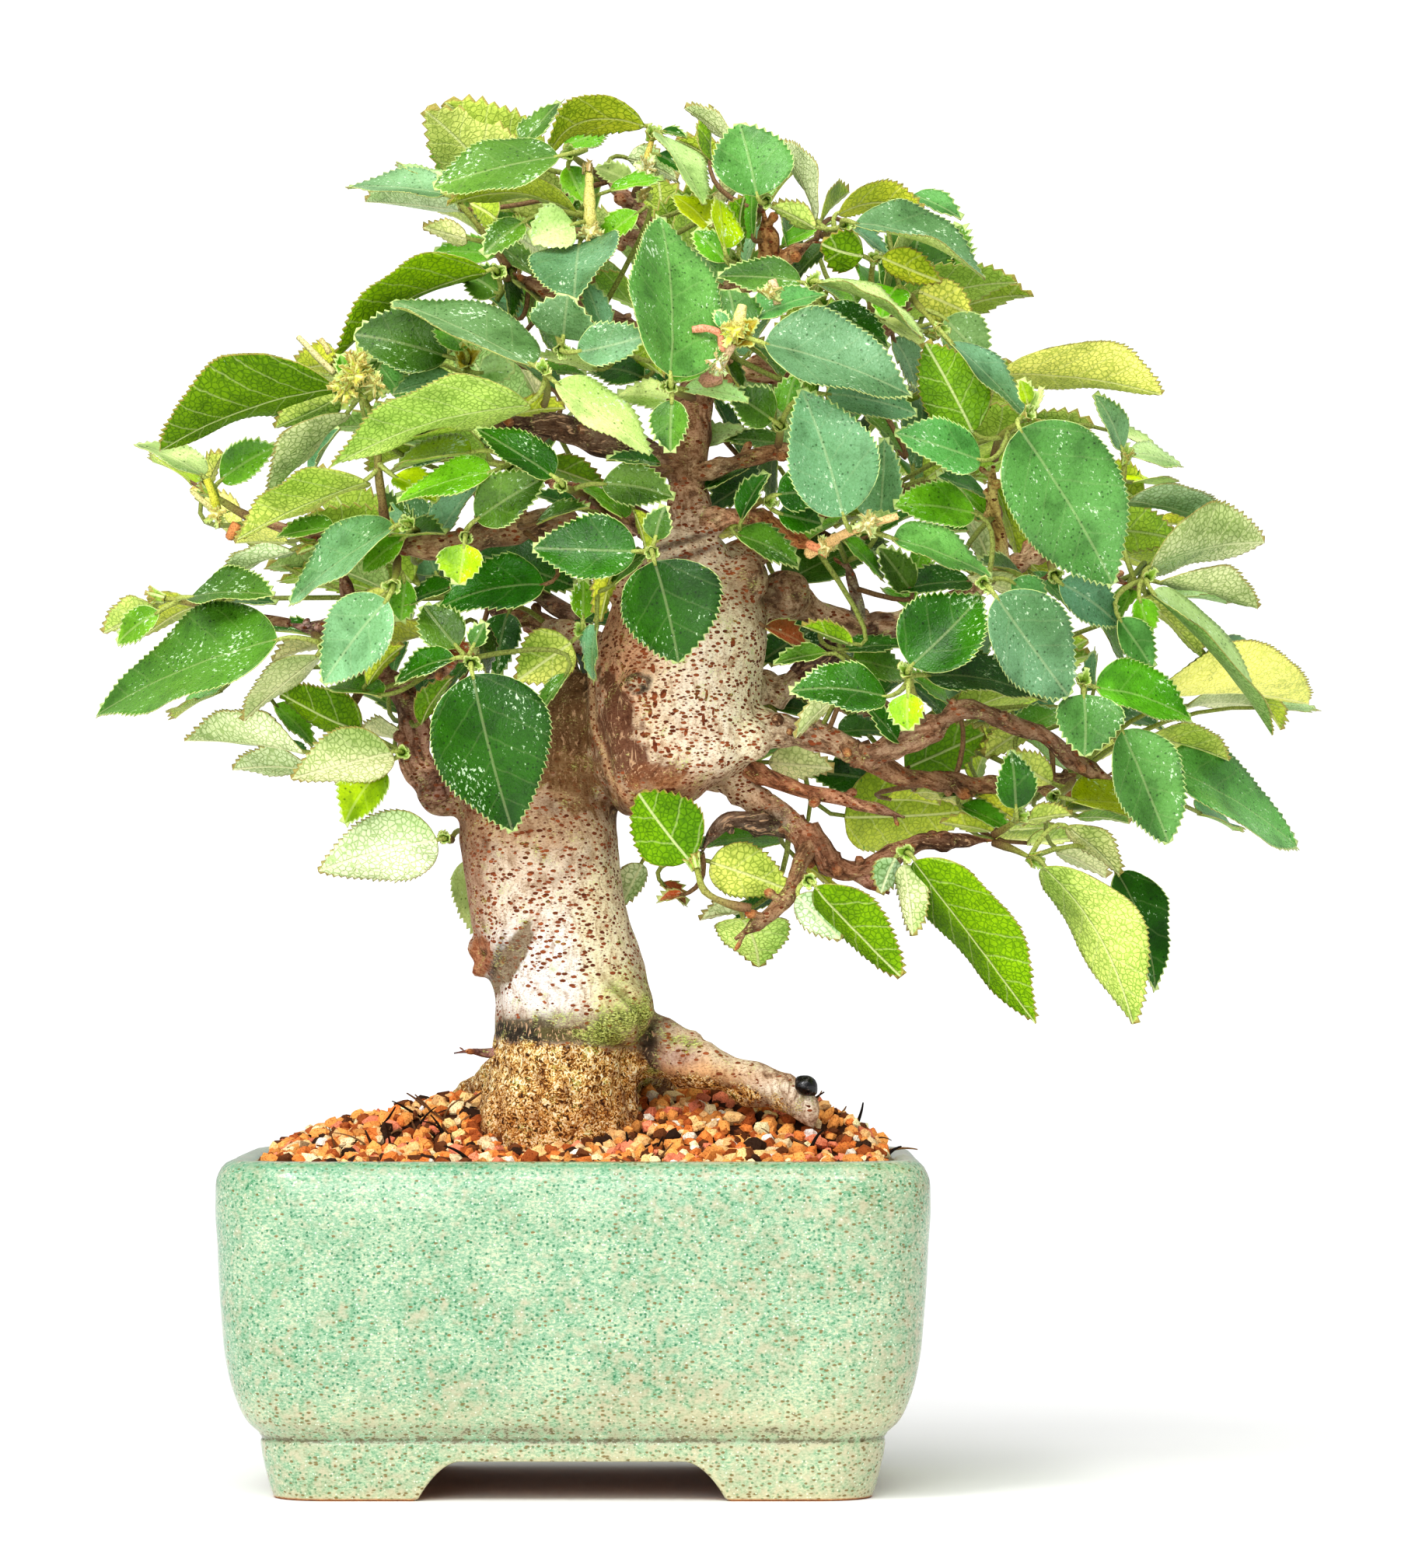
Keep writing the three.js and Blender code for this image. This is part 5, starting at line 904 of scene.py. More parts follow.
@dataclass(frozen=True)
class Survey:
    """The camera that the tree was surveyed with, and the way from its picture into space."""

    eye: tuple[float, float, float] = (22.7, -1100.0, 93.2)
    pitch: float = math.radians(1.45)
    focal_px: float = 8148.0
    middle_px: tuple[float, float] = (910.0, 1008.5)
    size_px: tuple[int, int] = (1820, 2017)
    crown_px: tuple[float, float] = (860.0, 480.0)
    crown_reach_px: tuple[float, float] = (800.0, 360.0)
    dome_sides: float = 46.0
    dome_top: float = 30.0

    @property
    def mm_per_px(self) -> float:
        """Width of one pixel at the pot's middle."""
        return -self.eye[1] / self.focal_px

    def place(self, column: Any, row: Any, depth: Any) -> Array:
        """Places on the sight lines of spots in the picture.

        The depth grows towards the crown's ends: by dome_sides times the square of the share sideways, and
        dome_top times the share upwards to the power 1.3.

        Args:
            column: Columns of the spots.
            row: Rows of the spots.
            depth: Depths within the dome, behind (+) or before (-) the pot's middle.

        Returns:
            Places in millimetres, (..., 3).
        """
        column, row, depth = (np.asarray(v, dtype=float) for v in (column, row, depth))
        sideways = (column - self.crown_px[0]) / self.crown_reach_px[0]
        upwards = np.maximum(0, self.crown_px[1] - row) / self.crown_reach_px[1]
        y = depth + self.dome_sides * sideways**2 + self.dome_top * upwards**1.3
        across = (column - self.middle_px[0]) / self.focal_px
        up = (self.middle_px[1] - row) / self.focal_px
        sine, cosine = math.sin(self.pitch), math.cos(self.pitch)
        reach = (y - self.eye[1]) / (cosine - up * sine)
        x, z = self.eye[0] + across * reach, self.eye[2] + reach * (sine + up * cosine)
        return np.stack([x, y, z], axis=-1)

    def spots(self, points: Array) -> Array:
        """Columns and rows that places are seen at.

        Args:
            points: Places in millimetres, (n, 3).

        Returns:
            Columns and rows, (n, 2).
        """
        away = points - np.array(self.eye)
        sine, cosine = math.sin(self.pitch), math.cos(self.pitch)
        reach = away[:, 1] * cosine + away[:, 2] * sine
        up = (away[:, 2] * cosine - away[:, 1] * sine) / reach
        return np.array(self.middle_px) + self.focal_px * np.stack([away[:, 0] / reach, -up], axis=-1)


SURVEY = Survey()


def linked(name: str, data: Any) -> bpy.types.Object:
    """A new object of a mesh, a camera or a light, linked into the scene."""
    made = bpy.data.objects.new(name, data)
    bpy.context.scene.collection.objects.link(made)
    return made


def worked(owner: bpy.types.Object) -> tuple[bpy.types.Mesh, Array]:
    """The mesh that an object's modifiers make of it.

    Args:
        owner: The object with its modifiers.

    Returns:
        The mesh, and its points, (n, 3).
    """
    mesh = bpy.data.meshes.new_from_object(owner.evaluated_get(bpy.context.evaluated_depsgraph_get()))
    points = np.empty(len(mesh.vertices) * 3)
    mesh.vertices.foreach_get("co", points)
    return mesh, points.reshape(-1, 3)


def coat(mesh: bpy.types.Mesh, paint: dict[str, Array]) -> None:
    """Gives a mesh's points their paint as attributes.

    Args:
        mesh: The mesh.
        paint: By name, a number, a vector of three or a colour of four for each point.
    """
    kinds = {1: ("FLOAT", "value"), 3: ("FLOAT_VECTOR", "vector"), 4: ("FLOAT_COLOR", "color")}
    for name, values in paint.items():
        kind, part = kinds[values.shape[1] if values.ndim > 1 else 1]
        mesh.attributes.new(name, kind, "POINT").data.foreach_set(part, values.ravel())


class Workshop:
    """Puts finished skins into the frame as objects."""

    def __init__(self) -> None:
        """Finds the pot's middle in the frame, which the skins are measured from."""
        low, high = (np.array(corner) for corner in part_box("pot"))
        self.shift = np.array([*((low + high) / 2)[:2], 0.0])

    def mesh_of(self, name: str, skin: Skin, smooth: bool = True) -> bpy.types.Mesh:
        """A Blender mesh of a skin, in the frame's metres, with its paint as attributes.

        Args:
            name: The mesh's name.
            skin: The surface. A face whose last corner repeats the third becomes a triangle.
            smooth: False leaves each face flat.

        Returns:
            The mesh.
        """
        mesh = bpy.data.meshes.new(name)
        keep = np.ones(skin.faces.shape, dtype=bool)
        keep[:, 3] = skin.faces[:, 3] != skin.faces[:, 2]
        corners = skin.faces[keep]
        starts = np.concatenate([[0], np.cumsum(keep.sum(axis=1))[:-1]])
        mesh.vertices.add(len(skin.points))
        mesh.vertices.foreach_set("co", (skin.points * MM + self.shift).ravel())
        mesh.loops.add(len(corners))
        mesh.loops.foreach_set("vertex_index", corners.astype(np.int32))
        mesh.polygons.add(len(skin.faces))
        mesh.polygons.foreach_set("loop_start", starts.astype(np.int32))
        mesh.polygons.foreach_set("use_smooth", np.full(len(skin.faces), smooth))
        if skin.coat is not None:
            mesh.polygons.foreach_set("material_index", skin.coat.astype(np.int32))
        coat(mesh, skin.paint)
        mesh.update(calc_edges=True)
        mesh.validate()
        return mesh

    def put(
        self,
        name: str,
        skin: Skin,
        finishes: Sequence[bpy.types.Material],
        node: str = "",
        smooth: bool = True,
    ) -> bpy.types.Object:
        """Adds a piece to the scene.

        Args:
            name: The piece's name.
            skin: Its surface.
            finishes: Its materials, in the order of the skin's coats.
            node: The CAD node that it stands for, if any.
            smooth: False leaves each face flat.

        Returns:
            The object, at the origin.
        """
        piece = linked(name, self.mesh_of(name, skin, smooth))
        for finish in finishes:
            piece.data.materials.append(finish)
        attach(piece, "root")
        if node:
            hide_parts(node)
        LOG.info("%s: %d points, %d faces", name, len(skin.points), len(skin.faces))
        return piece


# Finishes


def add(
    tree: bpy.types.NodeTree,
    kind: str,
    inputs: dict[Any, Any] | None = None,
    ramp: Sequence[tuple[float, str]] = (),
    out: int = 0,
    **settings: Any,
) -> bpy.types.NodeSocket:
    """Adds a shader node with its settings and links.

    Args:
        tree: The material's node tree.
        kind: The node's type after "ShaderNode".
        inputs: By input name or number, a socket to link, a hex colour or a value to set.
        ramp: Places and hex colours of a colour ramp.
        out: Which output is wanted.
        **settings: The node's own settings.

    Returns:
        The wanted output socket.
    """
    made = tree.nodes.new("ShaderNode" + kind)
    for key, value in settings.items():
        setattr(made, key, value)
    for i, (at, code) in enumerate(ramp):
        stops = made.color_ramp.elements
        stop = stops[i] if i < len(stops) else stops.new(at)
        stop.position, stop.color = at, linear(code)
    for key, value in (inputs or {}).items():
        if isinstance(value, bpy.types.NodeSocket):
            tree.links.new(value, made.inputs[key])
        else:
            made.inputs[key].default_value = linear(value) if isinstance(value, str) else value
    return made.outputs[out]


# Settings of a Mix node that mixes two colours, or multiplies them. Its colour result is output 2
MIX = {"out": 2, "data_type": "RGBA"}
TIMES = {**MIX, "blend_type": "MULTIPLY"}
# Setting of a MapRange node that eases in and out
SOFTLY = {"interpolation_type": "SMOOTHSTEP"}


@dataclass(frozen=True)
class Finish:
    """What every finish has: a name, how rough and how dense (IOR) its surface is, and how glossy."""

    name: str
    roughness: float
    ior: float = 1.5
    gloss: float = 0.5

    def start(self) -> tuple[bpy.types.Material, Callable[..., bpy.types.NodeSocket], bpy.types.NodeSocket]:
        """A new material, the way to add nodes to it, and the piece's own coordinates."""
        material = bpy.data.materials.new(self.name)
        material.use_nodes = True
        tree = material.node_tree
        tree.nodes.clear()
        node = partial(add, tree)
        surface = {"Roughness": self.roughness, "IOR": self.ior, "Specular IOR Level": self.gloss}
        body = node("BsdfPrincipled", surface)
        tree.links.new(body, tree.nodes.new("ShaderNodeOutputMaterial").inputs["Surface"])
        return material, node, node("TexCoord", out=3)

    @staticmethod
    def feed(material: bpy.types.Material, **sockets: bpy.types.NodeSocket) -> bpy.types.Material:
        """Links sockets to the material's shader.

        Args:
            material: The material.
            **sockets: By Base_Color, Roughness or Normal, what is linked to it.

        Returns:
            The same material.
        """
        tree = material.node_tree
        for name, socket in sockets.items():
            tree.links.new(socket, tree.nodes["Principled BSDF"].inputs[name.replace("_", " ")])
        return material


@dataclass(frozen=True)
class CeladonGlaze(Finish):
    """Celadon: a glossy feldspar glaze fired over stoneware.

    Crystals of unmelted ash float in it, so the green is broken by darker and cream specks, and iron bleeds
    through as brown specks where it is thin, low on the wall and on its edges. Real specks are 0.2 to 0.5 mm
    across. They are drawn at 0.5 to 0.9 mm, so that they still show in a view of the whole piece.
    """

    speck_mm: float = 0.5
    drift_mm: float = 9.0

    def build(self) -> bpy.types.Material:
        """Mixes the speckled green with cream edges, the brown groove and the bare clay under the feet."""
        material, node, place = self.start()
        marks = node("SeparateXYZ", {0: node("Attribute", attribute_name="marks", out=1)}).node
        thin, groove, bare = (marks.outputs[k] for k in range(3))
        pool = node("Attribute", attribute_name="pool", out=2)
        clouds = node("TexNoise", {"Vector": place, "Scale": 1 / (self.drift_mm * MM), "Detail": 4.0})
        curds = node("TexNoise", {"Vector": place, "Scale": 1 / (1.7 * MM), "Detail": 3.0})
        long = node("Mapping", {"Vector": place, "Scale": (0.75, 0.75, 1.3)})
        dots = {"Vector": long, "Scale": 1 / (self.speck_mm * MM), "Detail": 3.0, "Roughness": 0.75}
        specks = node("TexNoise", dots)
        both = node("Math", {0: clouds, 1: 0.36, 2: specks}, operation="MULTIPLY_ADD")
        tones = [(0.5, "#3c7d55"), (0.58, "#6a9a74"), (0.65, "#83a889"), (0.72, "#93b091"), (0.81, "#bcc5a4")]
        green = node("ValToRGB", {0: both}, ramp=tones)
        ash = node("Math", {0: clouds, 1: -0.55, 2: curds}, operation="MULTIPLY_ADD")
        ash = node("Math", {0: thin, 1: 0.34, 2: ash}, operation="MULTIPLY_ADD")
        ash = node("MapRange", {0: ash, 1: 0.24, 2: 0.54, 4: 0.62})
        green = node("Mix", {0: ash, 6: green, 7: "#c4b096"}, **MIX)
        crystals = node("TexVoronoi", {"Vector": place, "Scale": 1 / (0.85 * MM)}, out=0)
        dark = node("MapRange", {0: crystals, 1: 0.2, 2: 0.34, 3: 0.9, 4: 0.0})
        picked = node("SeparateXYZ", {0: crystals.node.outputs["Color"]}).node
        some = node("MapRange", {0: picked.outputs[0], 1: 0.5, 2: 0.56})
        dark = node("Math", {0: dark, 1: some}, operation="MULTIPLY")
        green = node("Mix", {0: dark, 6: green, 7: "#2c704c"}, **MIX)
        iron = node("TexVoronoi", {"Vector": long, "Scale": 1 / (0.8 * MM)})
        reach = node("Math", {0: specks, 1: -0.7, 2: iron}, operation="MULTIPLY_ADD")
        rust = node("MapRange", {0: reach, 1: -0.1, 2: 0.06, 3: 0.9, 4: 0.0})
        chosen = node("SeparateXYZ", {0: iron.node.outputs["Color"]}).node
        share = node("MapRange", {0: thin, 3: 0.92, 4: 0.25})
        few = node("Math", {0: chosen.outputs[0], 1: share}, operation="GREATER_THAN")
        rust = node("Math", {0: rust, 1: few}, operation="MULTIPLY")
        cream = node("Math", {0: thin, 1: specks, 2: -0.08}, operation="MULTIPLY_ADD", use_clamp=True)
        green = node("Mix", {0: cream, 6: green, 7: "#ddd8a8"}, **MIX)
        green = node("Mix", {0: rust, 6: green, 7: "#75612f"}, **MIX)
        grit = node("TexVoronoi", {"Vector": place, "Scale": 1 / (0.7 * MM)})
        white = node("MapRange", {0: grit, 1: 0.16, 2: 0.26, 3: 0.7, 4: 0.0})
        sown = node("SeparateXYZ", {0: grit.node.outputs["Color"]}).node
        sown = node("Math", {0: sown.outputs[2], 1: 0.62}, operation="GREATER_THAN")
        white = node("Math", {0: white, 1: sown}, operation="MULTIPLY")
        green = node("Mix", {0: white, 6: green, 7: "#dfeed4"}, **MIX)
        line = node("Math", {0: specks, 1: 3.0, 2: groove}, operation="MULTIPLY_ADD")
        line = node("Math", {0: curds, 1: 1.6, 2: line}, operation="MULTIPLY_ADD")
        line = node("MapRange", {0: line, 1: 3.0, 2: 3.45, 4: 0.82})
        green = node("Mix", {0: line, 6: green, 7: "#4f4a2a"}, **MIX)
        green = node("Mix", {0: pool, 6: green, 7: "#3f9672"}, **MIX)
        clay = node("ValToRGB", {0: specks}, ramp=[(0.3, "#8a4d25"), (0.7, "#c98a55")])
        colour = node("Mix", {0: bare, 6: green, 7: clay}, **MIX)
        rough = node("MapRange", {0: bare, 3: self.roughness, 4: 0.85})
        pits = node("Bump", {"Strength": 0.12, "Distance": 0.0002, "Height": specks})
        return self.feed(material, Base_Color=colour, Roughness=rough, Normal=pits)


@dataclass(frozen=True)
class QuinceBark(Finish):
    """Quince bark: thin and smooth, shed in plates, so that pale new bark lies beside grey and brown.

    Lenticels stand in it as red-brown dashes, drawn out to streaks of some millimetres where the bark was
    stretched, and on the old brown bark lies pale scurf. Where the trunk stays wet, a gold-brown crust of
    flakes and green moss roughen it, and the crust is darker and browner towards the bottom. Real dashes
    are 0.2 to 0.6 mm wide and are drawn about twice as coarse, so that they show. The mesh carries the
    colour, how much of each there is, and as "fibre" the place in millimetres drawn out along the wood.
    """

    dash_mm: float = 1.05
    streak_mm: float = 1.05
    flake_mm: float = 0.75

    def build(self) -> bpy.types.Material:
        """Mixes the painted tone with streaks, fibres, lenticels and the crust of the trunk's foot."""
        material, node, place = self.start()
        tone = node("Attribute", attribute_name="tone")
        marks = node("SeparateXYZ", {0: node("Attribute", attribute_name="marks", out=1)}).node
        dashes, crust, moss = (marks.outputs[k] for k in range(3))
        fibre = node("Attribute", attribute_name="fibre", out=1)
        wide = node("Mapping", {"Vector": place, "Scale": (1.0, 1.0, 1.9), "Rotation": (0.0, 0.35, 0.0)})
        plate = {"Vector": place, "Scale": 1 / (3.5 * MM), "Detail": 5.0, "Roughness": 0.65}
        plates = node("TexNoise", plate)
        grain = node("TexNoise", {"Vector": wide, "Scale": 1 / (0.5 * MM), "Detail": 4.0, "Roughness": 0.7})
        runs = node("TexNoise", {"Vector": fibre, "Scale": 1 / 1.1, "Detail": 4.0, "Roughness": 0.65})
        light = node("RGBToBW", {0: tone})
        pale = node("MapRange", {0: light, 1: 0.14, 2: 0.36})
        shade = node("ValToRGB", {0: plates}, ramp=[(0.34, "#c8b6a4"), (0.44, "#f6f0ea"), (0.54, "#ffffff")])
        bark = node("Mix", {0: 0.7, 6: tone, 7: shade}, **TIMES)
        run = node("ValToRGB", {0: runs}, ramp=[(0.34, "#a98360"), (0.45, "#f6ebdf"), (0.53, "#ffffff")])
        bark = node("Mix", {0: 0.6, 6: bark, 7: run}, **TIMES)
        old = node("Math", {0: 1.0, 1: tone.node.outputs[3]}, operation="SUBTRACT")
        cracks = node("ValToRGB", {0: runs}, ramp=[(0.36, "#5a463a"), (0.46, "#b8a294"), (0.58, "#ffffff")])
        bark = node("Mix", {0: old, 6: bark, 7: cracks}, **TIMES)
        fine = node("ValToRGB", {0: grain}, ramp=[(0.34, "#8c6e58"), (0.45, "#efe6dc"), (0.54, "#ffffff")])
        bark = node("Mix", {0: 0.8, 6: bark, 7: fine}, **TIMES)
        cells = node("TexVoronoi", {"Vector": wide, "Scale": 1 / (self.dash_mm * MM)})
        picked = node("SeparateXYZ", {0: cells.node.outputs["Color"]}).node
        reach = node("MapRange", {0: picked.outputs[1], 3: 0.2, 4: 0.6})
        spot = node("Math", {0: reach, 1: cells}, operation="SUBTRACT")
        spot = node("MapRange", {0: spot, 1: 0.0, 2: 0.06})
        kept = node("Math", {0: picked.outputs[0], 1: dashes}, operation="LESS_THAN")
        spot = node("Math", {0: spot, 1: kept}, operation="MULTIPLY")
        spot = node("Math", {0: spot, 1: pale}, operation="MULTIPLY")
        streaks = node("TexVoronoi", {"Vector": fibre, "Scale": 1 / self.streak_mm})
        streak = node("SeparateXYZ", {0: streaks.node.outputs["Color"]}).node
        long = node("MapRange", {0: streak.outputs[1], 3: 0.26, 4: 0.52})
        long = node("Math", {0: long, 1: streaks}, operation="SUBTRACT")
        long = node("MapRange", {0: long, 1: 0.0, 2: 0.06})
        share = node("MapRange", {0: dashes, 1: 0.72, 2: 1.0, 4: 0.6})
        kept = node("Math", {0: streak.outputs[0], 1: share}, operation="LESS_THAN")
        long = node("Math", {0: long, 1: kept}, operation="MULTIPLY")
        long = node("Math", {0: long, 1: pale}, operation="MULTIPLY")
        spot = node("Math", {0: spot, 1: long}, operation="MAXIMUM")
        rusty = node("Mix", {0: picked.outputs[2], 6: "#612b12", 7: "#a65a34"}, **MIX)
        bark = node("Mix", {0: spot, 6: bark, 7: rusty}, **MIX)
        scurf = node("TexNoise", {"Vector": fibre, "Scale": 1 / 0.55, "Detail": 2.0, "Distortion": 0.8})
        scurf = node("MapRange", {0: scurf, 1: 0.58, 2: 0.66})
        dull = node("MapRange", {0: light, 1: 0.14, 2: 0.3, 3: 0.75, 4: 0.0})
        scurf = node("Math", {0: scurf, 1: dull}, operation="MULTIPLY")
        bark = node("Mix", {0: scurf, 6: bark, 7: "#dcb48e"}, **MIX)
        woven = {"Detail": 2.0, "Roughness": 0.6, "Distortion": 1.6}
        flakes = node("TexNoise", {"Vector": place, "Scale": 1 / (self.flake_mm * MM), **woven})
        tones = [(0.38, "#452810"), (0.44, "#a06a2a"), (0.5, "#dca654"), (0.56, "#fbdf9c"), (0.62, "#fffae0")]
        gold = node("ValToRGB", {0: flakes}, ramp=tones)
        zones = node("ValToRGB", {0: plates}, ramp=[(0.38, "#a07a54"), (0.48, "#f0e4d4"), (0.54, "#ffffff")])
        gold = node("Mix", {0: 0.8, 6: gold, 7: zones}, **TIMES)
        height = node("SeparateXYZ", {0: place}).node.outputs[2]
        # The crust is made darker and browner towards the bottom, below about 60 to 70 mm.
        browner_below = node("MapRange", {0: height, 1: 60 * MM, 2: 70 * MM, 3: 0.5, 4: 0.0})
        gold = node("Mix", {0: browner_below, 6: gold, 7: "#d2915c"}, **TIMES)
        ragged = node("Math", {0: plates, 1: grain}, operation="ADD")
        covered = node("Math", {0: ragged, 1: 1.2, 2: -1.2}, operation="MULTIPLY_ADD")
        covered = node("Math", {0: crust, 1: covered}, operation="ADD")
        covered = node("MapRange", {0: covered, 1: 0.4, 2: 0.6})
        bark = node("Mix", {0: covered, 6: bark, 7: gold}, **MIX)
        tones = [(0.4, "#2c3410"), (0.46, "#66702a"), (0.52, "#97a44a"), (0.58, "#bfcb6c"), (0.64, "#e8ec9c")]
        cushion = node("ValToRGB", {0: grain}, ramp=tones)
        green = node("Math", {0: ragged, 1: 2.6, 2: -2.6}, operation="MULTIPLY_ADD")
        green = node("Math", {0: moss, 1: green}, operation="ADD")
        green = node("MapRange", {0: green, 1: 0.3, 2: 0.8, 4: 0.88})
        bark = node("Mix", {0: green, 6: bark, 7: cushion}, **MIX)
        relief = node("Math", {0: spot, 1: 0.5, 2: grain}, operation="MULTIPLY_ADD")
        lifted = node("Math", {0: flakes, 1: covered}, operation="MULTIPLY")
        relief = node("Math", {0: lifted, 1: 1.2, 2: relief}, operation="MULTIPLY_ADD")
        bump = node("Bump", {"Strength": 0.7, "Distance": 0.0005, "Height": relief})
        return self.feed(material, Base_Color=bark, Normal=bump)


@dataclass(frozen=True)
class LeafBlade(Finish):
    """A quince leaf: leathery, waxed above and felted below, with a pale toothed rim.

    The blade's attribute holds the distance to the rim, the distance along the rib and that across it, in
    millimetres, so the veins are drawn where they grow: they leave the rib every vein_mm and bend forward.
    The net between them has meshes of about 0.4 mm and is drawn at net_mm, so that it shows.
    """

    vein_mm: float = 2.7
    net_mm: float = 0.95
    glint_mm: float = 0.6
    net: float = 0.45

    def build(self) -> bpy.types.Material:
        """Mixes the painted green with rib, side veins, net, rim and painted glints of highlight, and lifts
        them on the underside.
        """
        material, node, place = self.start()
        tint = node("Attribute", attribute_name="tint", out=0)
        upper = node("Attribute", attribute_name="upper", out=2)
        blade = node("Attribute", attribute_name="blade", out=1)
        parts = node("SeparateXYZ", {0: blade}).node
        to_rim, along, across = (parts.outputs[k] for k in range(3))
        aside = node("Math", {0: across}, operation="ABSOLUTE")
        under = node("Math", {0: 1.0, 1: upper}, operation="SUBTRACT")
        swim = node("TexNoise", {"Vector": place, "Scale": 1 / (2.4 * MM), "Detail": 2.0})
        patches = node("TexNoise", {"Vector": place, "Scale": 1 / (7 * MM), "Detail": 4.0, "Roughness": 0.6})
        fine = {"Vector": place, "Scale": 1 / (0.45 * MM), "Detail": 3.0, "Roughness": 0.7}
        pores = node("TexNoise", fine)
        lag = node("Math", {0: aside, 1: -0.82, 2: along}, operation="MULTIPLY_ADD")
        lag = node("Math", {0: swim, 1: 1.2, 2: lag}, operation="MULTIPLY_ADD")
        step = node("Math", {0: lag, 1: self.vein_mm}, operation="DIVIDE")
        halves = node("Math", {0: across, 1: 0.0}, operation="GREATER_THAN")
        step = node("Math", {0: halves, 1: 0.4, 2: step}, operation="MULTIPLY_ADD")
        off = node("Math", {0: step, 1: 1.0}, operation="PINGPONG")
        side_vein = node("MapRange", {0: off, 1: 0.02, 2: 0.12, 3: 1.0, 4: 0.0}, **SOFTLY)
        rib = node("MapRange", {0: aside, 1: 0.12, 2: 0.34, 3: 1.0, 4: 0.0}, **SOFTLY)
        flat = node("CombineXYZ", {0: across, 1: along})
        flat = node("MixRGB", {0: 0.12, 1: flat, 2: swim.node.outputs["Color"]}, blend_type="ADD")
        cells = node("TexVoronoi", {"Vector": flat, "Scale": 1 / self.net_mm}, feature="DISTANCE_TO_EDGE")
        net = node("MapRange", {0: cells, 1: 0.0, 2: 0.16, 3: 1.0, 4: 0.0}, **SOFTLY)
        amount = node("MapRange", {0: under, 3: 0.12, 4: self.net})
        net = node("Math", {0: net, 1: amount}, operation="MULTIPLY")
        tones = [(0.36, "#a3b196"), (0.48, "#f2f4ee"), (0.58, "#ffffff")]
        light = node("ValToRGB", {0: patches}, ramp=tones)
        spread = node("MapRange", {0: under, 3: 0.65, 4: 0.45})
        green = node("Mix", {0: spread, 6: tint, 7: light}, **TIMES)
        grain = node("ValToRGB", {0: pores}, ramp=[(0.34, "#8f9c78"), (0.44, "#eef1e2"), (0.54, "#ffffff")])
        green = node("Mix", {0: 0.4, 6: green, 7: grain}, **TIMES)
        green = node("Mix", {0: net, 6: green, 7: "#93b058"}, **TIMES)
        pale = node("Mix", {0: 0.6, 6: tint, 7: "#eef0b8"}, **MIX)
        bold = node("MapRange", {0: under, 3: 0.07, 4: 0.34})
        veins = node("Math", {0: side_vein, 1: bold}, operation="MULTIPLY")
        ribs = node("MapRange", {0: under, 3: 0.24, 4: 0.9})
        ribs = node("Math", {0: rib, 1: ribs}, operation="MULTIPLY")
        veins = node("Math", {0: veins, 1: ribs}, operation="MAXIMUM")
        green = node("Mix", {0: veins, 6: green, 7: pale}, **MIX)
        pits = node("TexVoronoi", {"Vector": flat, "Scale": 1 / 0.85})
        rare = node("SeparateXYZ", {0: pits.node.outputs["Color"]}).node
        rare = node("Math", {0: rare.outputs[1], 1: 0.55}, operation="GREATER_THAN")
        pit = node("MapRange", {0: pits, 1: 0.16, 2: 0.3, 3: 0.7, 4: 0.0})
        pit = node("Math", {0: pit, 1: rare}, operation="MULTIPLY")
        pit = node("Math", {0: pit, 1: upper}, operation="MULTIPLY")
        green = node("Mix", {0: pit, 6: green, 7: "#5f7a4a"}, **TIMES)
        # Painted highlight: sparse pale streaks on the upper face stand for glints of light on the wax.
        glint_stretch = node("Mapping", {"Vector": flat, "Scale": (1.0, 0.6, 1.0), "Rotation": (0.0, 0.0, 0.7)})
        wax = {"Vector": glint_stretch, "Scale": 1 / self.glint_mm, "Detail": 3.0, "Roughness": 0.75}
        wax = node("TexNoise", wax)
        painted_glint = node("Math", {0: patches, 1: 0.7, 2: wax}, operation="MULTIPLY_ADD")
        painted_glint = node("MapRange", {0: painted_glint, 1: 1.0, 2: 1.06, 4: 0.8})
        painted_glint = node("Math", {0: painted_glint, 1: upper}, operation="MULTIPLY")
        green = node("Mix", {0: painted_glint, 6: green, 7: "#d6eec8"}, **MIX)
        rim = node("MapRange", {0: to_rim, 1: 0.06, 2: 0.22, 3: 0.85, 4: 0.0}, **SOFTLY)
        edge = node("Mix", {0: under, 6: "#d2e694", 7: "#b09a52"}, **MIX)
        green = node("Mix", {0: rim, 6: green, 7: edge}, **MIX)
        low, high = self.roughness - 0.06, self.roughness + 0.1
        rough = node("MapRange", {0: pores, 1: 0.3, 2: 0.7, 3: low, 4: high})
        felt = node("Math", {0: under, 1: 0.22, 2: rough}, operation="MULTIPLY_ADD")
        lift = node("MapRange", {0: under, 3: -0.7, 4: 1.0})
        relief = node("Math", {0: veins, 1: lift}, operation="MULTIPLY")
        relief = node("Math", {0: patches, 1: 0.9, 2: relief}, operation="MULTIPLY_ADD")
        relief = node("Math", {0: pores, 1: 0.25, 2: relief}, operation="MULTIPLY_ADD")
        relief = node("Math", {0: net, 1: -0.8, 2: relief}, operation="MULTIPLY_ADD")
        bump = node("Bump", {"Strength": 0.5, "Distance": 0.0006, "Height": relief})
        return self.feed(material, Base_Color=green, Roughness=felt, Normal=bump)


